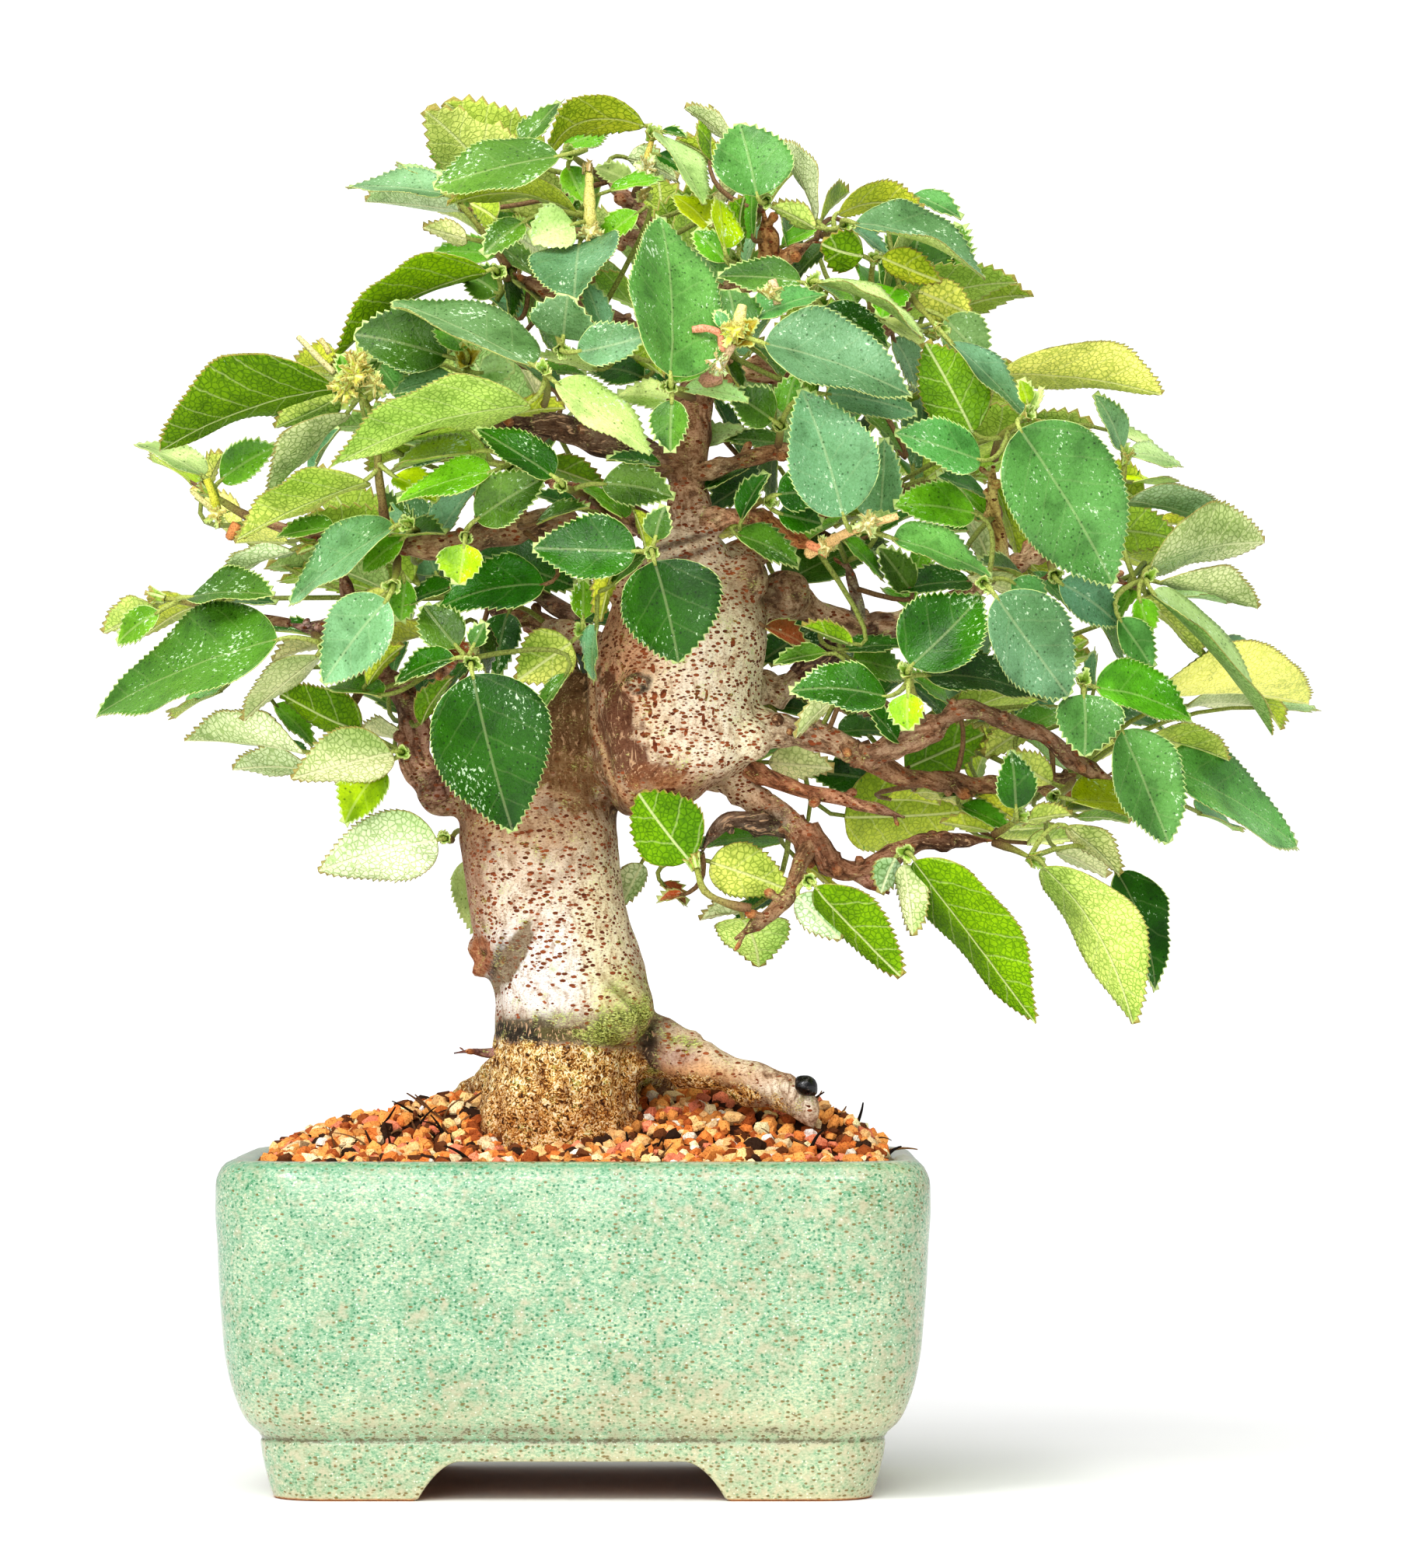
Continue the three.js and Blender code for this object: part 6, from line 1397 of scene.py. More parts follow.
@dataclass(frozen=True)
class YoungWood(Finish):
    """Green shoots, leaf stalks and buds: soft bark under a down of short hairs."""

    down_mm: float = 0.3

    def build(self) -> bpy.types.Material:
        """Mixes the painted tint with fine streaks."""
        material, node, place = self.start()
        tint = node("Attribute", attribute_name="tint", out=0)
        down = node("TexNoise", {"Vector": place, "Scale": 1 / (self.down_mm * MM), "Detail": 3.0})
        streak = node("ValToRGB", {0: down}, ramp=[(0.32, "#8b7a5c"), (0.5, "#e8e4d4"), (0.68, "#ffffff")])
        wood = node("Mix", {0: 0.8, 6: tint, 7: streak}, **TIMES)
        bump = node("Bump", {"Strength": 0.4, "Distance": 0.0002, "Height": down})
        return self.feed(material, Base_Color=wood, Normal=bump)


@dataclass(frozen=True)
class FiredGranules(Finish):
    """Bonsai substrate: crushed fired clay, pumice and bark, matt and porous."""

    pore_mm: float = 0.3

    def build(self) -> bpy.types.Material:
        """Mixes each granule's own colour with dust and pores."""
        material, node, place = self.start()
        tint = node("Attribute", attribute_name="tint", out=0)
        fine = {"Vector": place, "Scale": 1 / (self.pore_mm * MM), "Detail": 4.0, "Roughness": 0.7}
        pores = node("TexNoise", fine)
        dust = node("ValToRGB", {0: pores}, ramp=[(0.34, "#8c6a52"), (0.46, "#f0e4d8"), (0.6, "#ffffff")])
        clay = node("Mix", {0: 0.85, 6: tint, 7: dust}, **TIMES)
        bump = node("Bump", {"Strength": 0.6, "Distance": 0.0003, "Height": pores})
        return self.feed(material, Base_Color=clay, Normal=bump)


@dataclass(frozen=True)
class WornBasalt(Finish):
    """A river-worn basalt pebble: near black and polished by water, with a grey bloom in its grain."""

    grain_mm: float = 0.5

    def build(self) -> bpy.types.Material:
        """Mixes black and the grey bloom, and dents the polish a little."""
        material, node, place = self.start()
        grain = node("TexNoise", {"Vector": place, "Scale": 1 / (self.grain_mm * MM), "Detail": 3.0})
        stone = node("ValToRGB", {0: grain}, ramp=[(0.4, "#0c0d10"), (0.6, "#1c1a1c"), (0.72, "#5a5450")])
        bump = node("Bump", {"Strength": 0.4, "Distance": 0.0002, "Height": grain})
        return self.feed(material, Base_Color=stone, Normal=bump)


# Pot


@dataclass
class GlazedPot:
    """A rounded rectangular bowl on four cut feet, with a rounded rim and a groove above the foot band."""

    width: float = 120.4
    depth: float = 94.0
    corner: float = 15.0
    pocket_height: float = 7.6
    pocket_inset: float = 18.6
    arch_height: float = 6.7
    front_arch_half: float = 26.4
    side_arch_half: float = 17.5
    groove_height: float = 10.25
    groove_top: float = 11.1
    drain_radius: float = 5.0
    drain_x: float = 24.0
    bore_heights: tuple[float, float] = (2.0, 22.0)
    wobble: float = 0.28
    foot: tuple[tuple[float, float], ...] = ((0, 9.6), (3.4, 8.7), (7.6, 7.75), (9.6, 7.5), (11.1, 7.2))
    bowl: tuple[tuple[float, float], ...] = (
        (11.1, 7.2), (12.7, 5.5), (17, 3.4), (23, 1.9), (32, 1.0), (42, 0.4), (50.3, 0), (54.4, 0.4),
        (56.3, 1.6), (57, 3.4), (56.6, 5.4), (54.8, 6.5), (43, 6.9), (30, 7.6), (17, 10.4), (13, 14),
    )
    arc_steps: int = 22
    long_steps: int = 100
    short_steps: int = 60

    def plan(self, inset: Array) -> Array:
        """The outline drawn in by an inset, walked round: an arc at each corner and a straight run between.

        An arc's point is the corner's centre plus its radius times (cos, sin), and a straight run's point is
        a mean of the two arc ends, whose weights crowd the columns where the arches' ends are.

        Args:
            inset: How far in, (rows, 1) or (rows, columns).

        Returns:
            X and Y, (rows, columns, 2).
        """
        signs = np.array([(1, 1), (-1, 1), (-1, -1), (1, -1)])
        corner, turn, weight = [], [], []
        for k in range(4):
            run = self.long_steps if k % 2 == 0 else self.short_steps
            edge = 0.5 if k % 2 == 0 else 0.55
            share = np.linspace(-1, 1, 400)
            crowd = np.cumsum(1 + 2.2 * hill(np.abs(share), edge, 0.1))
            even = np.linspace(crowd[0], crowd[-1], run + 1)[1:-1]
            between = (np.interp(even, crowd, share) + 1) / 2
            corner.append(np.full(self.arc_steps + 1 + len(between), k))
            arc = k + np.linspace(0, 1, self.arc_steps + 1)
            turn.append(np.concatenate([arc, np.full(len(between), k + 1.0)]))
            weight.append(np.concatenate([np.zeros(self.arc_steps + 1), between]))
        corner, turn, weight = (np.concatenate(v) for v in (corner, turn, weight))
        half = np.stack([self.width / 2 - inset, self.depth / 2 - inset], axis=-1)
        radius = np.maximum(self.corner - inset * 0.6, 3.0)[..., None]
        outward = np.stack([np.cos(turn * np.pi / 2), np.sin(turn * np.pi / 2)], axis=-1)
        here = signs[corner] * (half - radius) + radius * outward
        there = signs[(corner + 1) % 4] * (half - radius) + radius * outward
        return here * (1 - weight[:, None]) + there * weight[:, None]

    def arch(self, places: Array) -> Array:
        """Height of the arch over each place of the foot wall, 0 over a foot.

        Each end of an arch is the quadratic curve from the ground over a control point 4 mm in and 6.3 mm
        up, to the flat top 7.5 mm in.

        Args:
            places: X and Y, (..., 2) or more columns.

        Returns:
            Heights, (...).
        """
        t = np.linspace(0, 1, 30)
        height = 2 * t * (1 - t) * (self.arch_height - 0.4) + t**2 * self.arch_height
        long_side = np.abs(places[..., 1]) - self.depth / 2 > np.abs(places[..., 0]) - self.width / 2
        run = np.where(long_side, np.abs(places[..., 0]), np.abs(places[..., 1]))
        half = np.where(long_side, self.front_arch_half, self.side_arch_half)
        inward = 2 * t * (1 - t) * 4 + t**2 * 7.5
        return np.interp(half - run, inward, height, left=0.0, right=self.arch_height)

    def skin(self) -> Skin:
        """The glazed body: from the pocket under it, round the foot, wall and rim, to its floor.

        Each ring is the plan drawn in by the inset of its height, read off the foot's or the bowl's profile.
        """
        foot_z, foot_inset = np.array(self.foot).T
        one = np.ones((1, 1))
        h_in = self.arch(self.plan(one * self.pocket_inset))[0]
        h_out = self.arch(self.plan(one * 8.6))[0]
        insets, heights = [], []

        def ring(inset: Any, height: Any) -> None:
            """Adds a ring of the given inset and height, each one number or one for each column."""
            insets.append(np.broadcast_to(inset, h_in.shape).astype(float))
            heights.append(np.broadcast_to(height, h_in.shape).astype(float))

        for share in (0.0, 0.5, 1.0):
            ring(self.pocket_inset, self.pocket_height * (1 - share) + h_in * share)
        outer = np.interp(h_out, foot_z, foot_inset)
        for share in (0.25, 0.5, 0.75):
            ring(self.pocket_inset * (1 - share) + outer * share, h_in * (1 - share) + h_out * share)
        for inward, lift in ((0.9, 0.0), (0.45, 0.06), (0.14, 0.2), (0.0, 0.55)):
            ring(outer + inward, h_out + lift)
        for share in np.linspace(0, 1, 10)[1:]:
            level = (h_out + 0.55) * (1 - share) + 9.2 * share
            ring(np.interp(level, foot_z, foot_inset), level)
        for level in np.linspace(9.2, self.groove_top, 11)[1:-1]:
            ring(np.interp(level, foot_z, foot_inset) + 0.34 * hill(level, self.groove_height, 0.42), level)
        bowl = np.array([(z, inset, 0.0) for z, inset in self.bowl])
        for level, inset, _ in flow(bowl, 1.05):
            ring(inset, level)
        plan = self.plan(np.array(insets))
        body = np.concatenate([plan, np.array(heights)[..., None]], axis=-1)
        under = [body[:1] * (share, share, 1.0) for share in (0.2, 0.55, 0.8)]
        floor = [body[-1:] * (share, share, 1.0) for share in (0.9, 0.5, 0.15)]
        rings = np.concatenate([*under, body, *floor])
        hand = drift(rings, 24.0, 5) + 0.45 * drift(rings, 9.0, 6)
        outward = unit(rings[..., :2] * (1.0, 1.3))
        rings[..., :2] += outward * (self.wobble * hand * np.clip((rings[..., 2] - 3) / 20, 0, 1))[..., None]
        return loft(rings)

    @staticmethod
    def pool(points: Array) -> Array:
        """Where the glaze pools thick and dark: in a line under the rim's crown, (n,)."""
        return 0.75 * hill(points[:, 2], 56.2, 0.45) * (0.8 + 0.3 * drift(points, 6.0, 7))

    def marks(self, points: Array) -> Array:
        """Where the glaze runs thin, where the groove is, and where the clay is bare.

        Args:
            points: Places in millimetres, (n, 3).

        Returns:
            The three shares, (n, 3).
        """
        x, _, z = points.T
        beyond = np.abs(points[:, :2]) - (self.width / 2 - self.corner, self.depth / 2 - self.corner)
        inset = self.corner - np.where(beyond.min(axis=1) > 0, np.hypot(*beyond.T), beyond.max(axis=1))
        edge = np.exp(-np.clip(z - self.arch(points), 0, None) / 0.7) * (z < 9)
        low = np.clip((34 - z) / 24, 0, 1) ** 1.5
        lip = 0.25 * hill(z, 56.6, 1.0)
        right = 0.26 * np.clip((x + 10) / 70, 0, 1)
        band = 0.3 * hill(z, 14.0, 3.0) * (0.7 + 0.5 * drift(points, 12.0, 9))
        thin = np.clip(0.85 * edge + 0.34 * low + lip + right + band, 0, 1)
        groove = 0.9 * hill(z, self.groove_height, 0.62)
        groove += (0.62 + 0.2 * drift(points, 7.0, 10)) * hill(z, 12.0, 1.7)
        bare = ((inset > 13.5) & (z < 12)) | (z < 0.42)
        return np.stack([thin, groove * (inset < 12), bare.astype(float)], axis=-1)

    def build(self, shop: Workshop) -> bpy.types.Object:
        """Puts the pot in place and bores its two drains through the floor."""
        glaze = CeladonGlaze("celadon_glaze", roughness=0.16).build()
        pot = shop.put("glazed_pot", self.skin(), [glaze], "pot")
        turn = turns(40)
        bore = self.drain_radius * np.stack([np.cos(turn), np.sin(turn), 0 * turn], axis=-1)
        middles = (-self.drain_x, self.drain_x)
        drills = [loft(np.stack([bore + (x, 0, z) for z in self.bore_heights])) for x in middles]
        drill = linked("drill", shop.mesh_of("drill", Skin.joined(drills)))
        cut = pot.modifiers.new("drains", "BOOLEAN")
        cut.object, cut.operation, cut.solver = drill, "DIFFERENCE", "EXACT"
        pot.data, points = worked(pot)
        pot.modifiers.clear()
        bpy.data.objects.remove(drill)
        points = (points - shop.shift) / MM
        coat(pot.data, {"marks": self.marks(points), "pool": self.pool(points)})
        return pot


# Substrate


@dataclass
class Substrate:
    """The heaped granules that fill the pot, with fibres and bits of bark among them."""

    pot: GlazedPot
    edge_height: float = 56.0
    rise: float = 9.0
    crest_y: float = 8.0
    floor: float = 13.3
    gap: float = 0.35
    granules: int = 2300
    trunk_middle: tuple[float, float] = (-2.6, -5.0)
    trunk_reach: float = 12.5
    tones: tuple[str, ...] = (
        "#f8ab60", "#e48a48", "#ac5e30", "#fccd90", "#6c4024",
        "#fde6ba", "#ea9070", "#dc9c58", "#fff8ea", "#3c281c",
    )
    chances: tuple[float, ...] = (0.17, 0.14, 0.12, 0.15, 0.11, 0.10, 0.09, 0.07, 0.04, 0.05)
    hair_spots: tuple[tuple[float, float, int], ...] = (
        (-34, -10, 26), (-24, -8, 26), (46, -6, 16), (38, -20, 10), (14, -26, 14), (-10, -27, 8), (48, 4, 8),
    )
    hair_tones: tuple[str, ...] = ("#3a2416", "#6b4a30", "#1f1712", "#8a6a48")
    pebble_place: tuple[float, float, float] = (1037, 1397, -19)
    pebble_half: tuple[float, float, float] = (2.2, 1.8, 1.9)
    mounds: tuple[tuple[float, float, float, float], ...] = (
        (20, -12, 13, 2.6), (44, -4, 12, 4.6), (-22, -2, 11, 3.4), (30, 8, 14, 2.0),
    )

    def height(self, x: Array, y: Array) -> Array:
        """Height of the heap: its edge, the rise times a crest that falls to each side, and soft mounds.

        Args:
            x: Places from side to side.
            y: Places from front to back.

        Returns:
            Heights, shaped as x.
        """
        across = np.minimum(np.abs(x + 1) / 54, 1)
        front = np.clip((y + 41) / (self.crest_y + 41), 0, 1)
        back = np.clip((y - self.crest_y) / 36, 0, 1)
        shape = np.where(y < self.crest_y, front**1.7, 1 - back**2)
        heap = 1 + 0.25 * np.maximum(x, 0) / 54
        level = self.edge_height + self.rise * heap * (1 - across**3.2) * shape
        for middle_x, middle_y, reach, lift in self.mounds:
            level = level + lift * np.exp(-((x - middle_x) ** 2 + (y - middle_y) ** 2) / reach**2)
        return level

    def bed(self) -> Skin:
        """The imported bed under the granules: the pot's inner outline, closed by rings that shrink inwards."""
        sides = [(self.floor, 14.0), (17.3, 10.4), (30.0, 7.6), (43.0, 6.9), (54.0, 6.6)]
        inset = np.array([i + self.gap for _, i in sides])[:, None]
        plan = self.pot.plan(inset)[:, ::3]
        level = np.broadcast_to([[[z]] for z, _ in sides], (*plan.shape[:2], 1))
        wall = np.concatenate([plan, level], axis=-1)
        edge = wall[-1]
        share = np.linspace(1, 0.02, 40)[:, None, None]
        top = np.broadcast_to(edge * (1, 1, 0), (40, *edge.shape)) * share
        top[..., 2] = self.height(top[..., 0], top[..., 1]) - 0.6 + 0.5 * drift(top, 2.2, 11)
        bed = loft(np.concatenate([wall, top]))
        # Painted shade: the bed is dark brown, so that the gaps between the loose granules read dark.
        dark = linear("#4a2c1c") * (0.8 + 0.3 * drift(bed.points, 2.5, 12))[:, None]
        return bed.painted(tint=np.clip(dark, 0, 1))

    def loose(self) -> Skin:
        """The loose granules: a ball of three rings of six points, its points pushed in or out by chance,
        stretched, turned and laid on the heap."""
        rng = np.random.default_rng(17)
        inner = (self.pot.width / 2 - 7.4, self.pot.depth / 2 - 7.4)
        x = rng.uniform(-inner[0], inner[0], self.granules * 2)
        y = rng.uniform(-inner[1], inner[1], self.granules * 2)
        round_corner = (np.abs(x) / inner[0]) ** 7 + (np.abs(y) / inner[1]) ** 7 < 1
        under_trunk = np.hypot(x - self.trunk_middle[0], (y - self.trunk_middle[1]) * 0.9) < self.trunk_reach
        kept = np.flatnonzero(round_corner & ~under_trunk)[: self.granules]
        x, y = x[kept], y[kept]
        count = len(kept)
        size = 0.85 + 0.95 * rng.random(count) ** 1.5 + 0.4 * (rng.random(count) < 0.1)
        polar = np.array([0.28, 0.5, 0.72]) * np.pi
        pairs = itertools.product(polar, turns(6))
        belt = [(math.sin(p) * math.cos(t), math.sin(p) * math.sin(t), math.cos(p)) for p, t in pairs]
        ball = np.array([(0.0, 0.0, 1.0), *belt, (0.0, 0.0, -1.0)])
        shape = ball[None] * rng.uniform(0.74, 1.2, (count, len(ball)))[..., None]
        stretch = rng.uniform([0.85, 0.75, 0.5], [1.25, 1.1, 0.95], (count, 3))
        shape = shape * (size[:, None] * stretch)[:, None]
        axis = unit(rng.normal(size=(count, 3)) + (0, 0, 0.6))
        side = unit(np.cross(axis, rng.normal(size=(count, 3))))
        frames = np.stack([side, np.cross(axis, side), axis], axis=1)
        centre = np.stack([x, y, self.height(x, y) + size * rng.uniform(-0.35, 0.45, count)], axis=-1)
        points = np.einsum("nij,njk->nik", shape, frames) + centre[:, None]
        faces = []
        for k in range(6):
            n = (k + 1) % 6
            faces.append((0, 1 + k, 1 + n, 1 + n))
            faces.append((19, 13 + n, 13 + k, 13 + k))
            faces += [(1 + 6 * r + k, 7 + 6 * r + k, 7 + 6 * r + n, 1 + 6 * r + n) for r in (0, 1)]
        faces = (np.array(faces)[None] + 20 * np.arange(count)[:, None, None]).reshape(-1, 4)
        palette = np.array([linear(tone) for tone in self.tones])
        chance = np.array(self.chances) / sum(self.chances)
        tone = palette[rng.choice(len(palette), count, p=chance)] * rng.uniform(0.8, 1.25, (count, 1))
        tone = np.repeat(np.clip(tone, 0, 1), 20, axis=0)
        return Skin(points.reshape(-1, 3), faces).painted(tint=tone)

    def fibres(self) -> Skin:
        """Root hairs and bits of twig that stand out of the heap: short tubes on bent paths."""
        rng = np.random.default_rng(23)
        hairs = []
        for middle_x, middle_y, count in self.hair_spots:
            for _ in range(count):
                x, y = middle_x + rng.normal() * 5, middle_y + rng.normal() * 5
                heading, climb = rng.uniform(0, 2 * np.pi), rng.uniform(0.15, 1.2)
                length = rng.uniform(3, 8)
                out = pointing(heading, climb)
                start = np.array([x, y, float(self.height(np.array(x), np.array(y))) - 0.8])
                t = np.linspace(0, 1, 8)[:, None]
                bend = np.array([rng.normal(), rng.normal(), -abs(rng.normal()) * 1.4])
                path = start + out * length * t + bend * t**2 * 1.2
                radii = np.linspace(0.34, 0.12, 8) * rng.uniform(0.6, 1.4)
                tone = self.hair_tones[rng.integers(len(self.hair_tones))]
                hairs.append(tube(path, radii, 5).painted(tint=linear(tone)))
        return Skin.joined(hairs)

    def pebble(self) -> Skin:
        """The black pebble against the root's end: a ball of rings, flattened and roughened."""
        ball = sphere(0.06, 12, 20)
        uneven = 1 + 0.2 * drift(ball, 0.8, 31)
        return loft(SURVEY.place(*self.pebble_place) + ball * self.pebble_half * uneven[..., None])

    def build(self, shop: Workshop) -> list[bpy.types.Object]:
        """Puts the bed, the granules, the fibres and the pebble in the pot."""
        clay = FiredGranules("fired_clay_granules", roughness=0.9, gloss=0.2).build()
        bed = shop.put("substrate_bed", self.bed(), [clay], "soil")
        loose = shop.put("substrate_granules", self.loose(), [clay], smooth=False)
        bits = shop.put("substrate_fibres", self.fibres(), [clay])
        basalt = WornBasalt("worn_basalt", roughness=0.16).build()
        stone = shop.put("black_pebble", self.pebble(), [basalt])
        return [bed, loose, bits, stone]


# Wood


LIMB_TONES: dict[str, str] = {
    "leader": "#cda98e", "left_arm": "#7c6654", "left_thick": "#a98e6f",
    "low_left_arm": "#c9a18b", "low_left_spur": "#d0b0b0", "knob": "#c8a08f",
    "hidden_left_arm": "#ab9080", "right_arm": "#9d7f65", "right_arm_upper": "#b29278",
    "right_arm_lower": "#ac886a", "drooping_arm": "#a67f65", "drooping_stub": "#9e7766",
    "drooping_fork": "#a58769", "knobbly_twig": "#736659", "red_twig": "#c99e84",
    "shoulder_arm": "#e2c0a4", "pale_twig": "#f6d6b2", "shoulder_brace": "#8e766c",
    "inner_twig": "#a8a091", "orange_arm": "#ebc3a6", "high_right_arm": "#e2d2b2",
    "crown_top_twig": "#f6d6b2", "crown_right_twig": "#f6d6b2", "back_left_arm": "#c49276",
    "back_left_low": "#a48267", "back_high_arm": "#d7c3af", "foot_twig": "#cb9e9d",
}


def relax(points: Array, faces: Array, rounds: int, share: float) -> Array:
    """Moves each point a share of the way to the mean of its neighbours, in every round.

    Args:
        points: Places, (n, 3).
        faces: Four corners each, (m, 4).
        rounds: How often.
        share: How far.

    Returns:
        The new places, (n, 3).
    """
    edges = np.concatenate([faces[:, [k, (k + 1) % 4]] for k in range(4)])
    edges = edges[edges[:, 0] != edges[:, 1]]
    count = np.bincount(edges[:, 0], minlength=len(points))[:, None]
    for _ in range(rounds):
        sums = [np.bincount(edges[:, 0], points[edges[:, 1], axis], len(points)) for axis in range(3)]
        total = np.stack(sums, axis=-1)
        points = points + share * (total / np.maximum(count, 1) - points)
    return points


@dataclass(frozen=True)
class Patch:
    """A discoloured spot or a growth on the wood, or painted shade or light on it, as a spot in the picture,
    soft or with a crisp edge.
    """

    centre: tuple[float, float]
    reach: tuple[float, float]
    tone: str
    strength: float = 1.0
    lean: float = 0.0
    crisp: bool = False

    def share(self, spots: Array, wander: Array) -> Array:
        """How much of the patch is at each spot: its soft hill, steepened if crisp, times an uneven drift.

        Args:
            spots: Columns and rows, (n, 2).
            wander: A drift at each spot, (n,).

        Returns:
            Shares from 0 to the patch's strength, (n,).
        """
        fray = 0.1 + 0.7 * min(min(self.reach) / 40, 1) if self.crisp else 0.45
        mound = bump_at(spots, self.centre, self.reach, self.lean) * (1 + fray * wander)
        rise = (mound - 0.36) / 0.09 if self.crisp else mound * 1.6
        return np.clip(rise, 0, 1) * self.strength

    def shift_tone(self, tone: Array, share: Array) -> None:
        """Moves the tone's red, green and blue by a share of the way to the patch's own."""
        tone[:, :3] += (linear(self.tone)[:3] - tone[:, :3]) * share[:, None]


@dataclass(frozen=True)
class Dent:
    """A hollow (-) or a swelling (+) of the wood, in millimetres, as a soft spot in the picture."""

    centre: tuple[float, float]
    reach: tuple[float, float]
    lift: float
    lean: float = 0.0


@dataclass
class QuinceTree:
    """Trunk, healed bulge, roots, limbs and twigs, grown as one piece of wood."""

    voxel: float = 0.67
    thick_radius: float = 1.75
    twig_step: float = 0.85
    twig_sides: int = 9
    patches: tuple[Patch, ...] = tuple(Patch(*row) for row in (
        ((690, 1180), (150, 120), "#f0e2d0"), ((690, 1065), (150, 30), "#ccab8a", 0.8),
        ((700, 1250), (80, 64), "#ffffff", 0.95), ((780, 1190), (34, 110), "#fbf4cf", 0.8),
        ((604, 1130), (22, 120), "#b0886c", 0.8), ((880, 870), (140, 150), "#fbe8cc"),
        ((955, 860), (46, 120), "#fffadc", 0.9), ((905, 900), (40, 90), "#fff4e4", 0.7),
        ((800, 830), (34, 80), "#e4ab88", 0.85, 0.1), ((796, 958), (38, 92), "#754a34", 0.95, -0.3, True),
        ((838, 1000), (44, 22), "#8a5a3c", 0.9, -0.3, True), ((850, 1020), (56, 18), "#c08a60", 0.8, -0.2),
        # Painted shade: the dark brown stem left of the bulge, which lies in shadow.
        ((728, 930), (40, 96), "#80603e", 0.95, 0.2, True),
        ((756, 1018), (60, 40), "#9a7a55", 0.95, 0.35, True),
        ((656, 1236), (15, 62), "#96876e", 0.95, 0.5, True),
        ((618, 1231), (16, 26), "#b87c54", 0.9, 0.0, True),
        # The second patch here is painted shade: a dark line in the crease beside the stub.
        ((622, 1226), (5, 5), "#6a3a20", 0.9, 0.0, True), ((636, 1240), (4, 30), "#3a2a20", 0.8, 0.3),
        ((822, 881), (19, 16), "#4e3b2e", 0.9, 0.0, True),
        # The second patch here is painted shade: the dark centre of the knot's hollow.
        ((821, 881), (12, 10), "#d8c4a8", 0.95, 0.0, True), ((827, 884), (5, 5), "#2e221a", 0.9, 0.0, True),
        # The thin dark lines at rows 716 and 696 are painted shade in the creases beside the wrinkle's ridges.
        ((895, 705), (60, 40), "#fff0dc", 0.9), ((880, 716), (46, 4), "#5c4030", 0.8, -0.3),
        ((880, 696), (46, 4), "#5c4030", 0.8, -0.3), ((985, 750), (48, 40), "#a98e70", 0.9),
        ((985, 752), (26, 26), "#6a5442", 0.7, 0.0, True),
        ((985, 754), (14, 16), "#c8b494", 0.8, 0.0, True), ((720, 1320), (110, 14), "#a39a80", 0.8),
        ((676, 1326), (48, 18), "#6a6250", 0.95, 0.1, True),
        ((664, 1330), (34, 13), "#37322a", 0.95, 0.1, True),
        ((752, 1334), (60, 12), "#66603c", 0.9, 0.1, True), ((905, 1350), (80, 18), "#efe0c8", 0.8, 0.28),
        # Painted light: the root's lower side and its end are painted paler, to lift them out of their shade.
        ((890, 1385), (60, 24), "#f0c08c", 0.8, 0.2), ((1010, 1420), (44, 26), "#fff4e0", 0.95, 0.2),
        # Painted shade: the dark crease between the trunk and the root, and the dark line in the dented groove
        # by the moss.
        ((836, 1352), (12, 54), "#2f261e", 0.95), ((806, 1284), (32, 6), "#241e10", 0.95, 0.75, True),
        # Painted shade: the dark spot where the bulge meets the trunk, and the dark line in the dented groove
        # left of the bulge.
        ((800, 1044), (16, 12), "#3c2e24", 0.7), ((768, 950), (4, 96), "#3c2a20", 0.7, -0.2),
        ((762, 905), (4, 40), "#e6c09a", 0.8, -0.05), ((775, 965), (4, 40), "#e6c09a", 0.8, -0.35),
        ((798, 1018), (4, 34), "#e6c09a", 0.8, -0.6), ((714, 1022), (26, 4), "#d8b490", 0.6, 0.2),
        ((805, 1282), (32, 34), "#d4d890", 0.6), ((872, 1358), (24, 13), "#c8ac9e", 0.9),
    ))
    moss: tuple[tuple[tuple[float, float], tuple[float, float], float], ...] = (
        ((795, 1312), (26, 30), 1.0), ((828, 1300), (12, 34), 0.75), ((768, 1334), (40, 9), 0.7),
        ((880, 1338), (26, 8), 0.85), ((740, 1312), (60, 14), 0.35), ((838, 1375), (8, 34), 0.6),
    )
    crown_patches: tuple[Patch, ...] = tuple(Patch(*row) for row in (
        ((935, 450), (36, 40), "#ffd2a8", 0.95), ((985, 300), (40, 60), "#e0a860", 0.7),
        ((1030, 690), (70, 40), "#d8904e", 0.8), ((1000, 590), (60, 24), "#c89668", 0.7),
        ((1280, 650), (16, 90), "#f4e48c", 0.9), ((960, 1015), (120, 22), "#c98a5e", 0.6),
        ((885, 620), (24, 110), "#b48a64", 0.6),
    ))
    dents: tuple[Dent, ...] = tuple(Dent(*row) for row in (
        ((821, 881), (18, 15), 1.0), ((823, 882), (9, 7), -1.8), ((611, 1214), (5, 5), 0.8),
        ((624, 1230), (6, 5), -1.2), ((616, 1246), (5, 5), 0.7), ((655, 1240), (14, 60), -1.2, 0.5),
        ((630, 1228), (8, 60), 1.0, 0.5), ((772, 960), (9, 95), -1.5, -0.2),
        ((792, 930), (7, 80), 0.5, -0.25), ((830, 1345), (9, 50), -1.8), ((800, 1296), (30, 18), 1.2, 0.5),
        ((806, 1282), (34, 6), -1.6, 0.75), ((700, 1078), (90, 9), 0.6), ((690, 1130), (90, 40), -0.5),
        ((885, 704), (50, 6), 0.7), ((885, 684), (40, 5), 0.7), ((900, 780), (60, 20), -0.8),
        ((940, 960), (30, 20), 0.9),
    ))

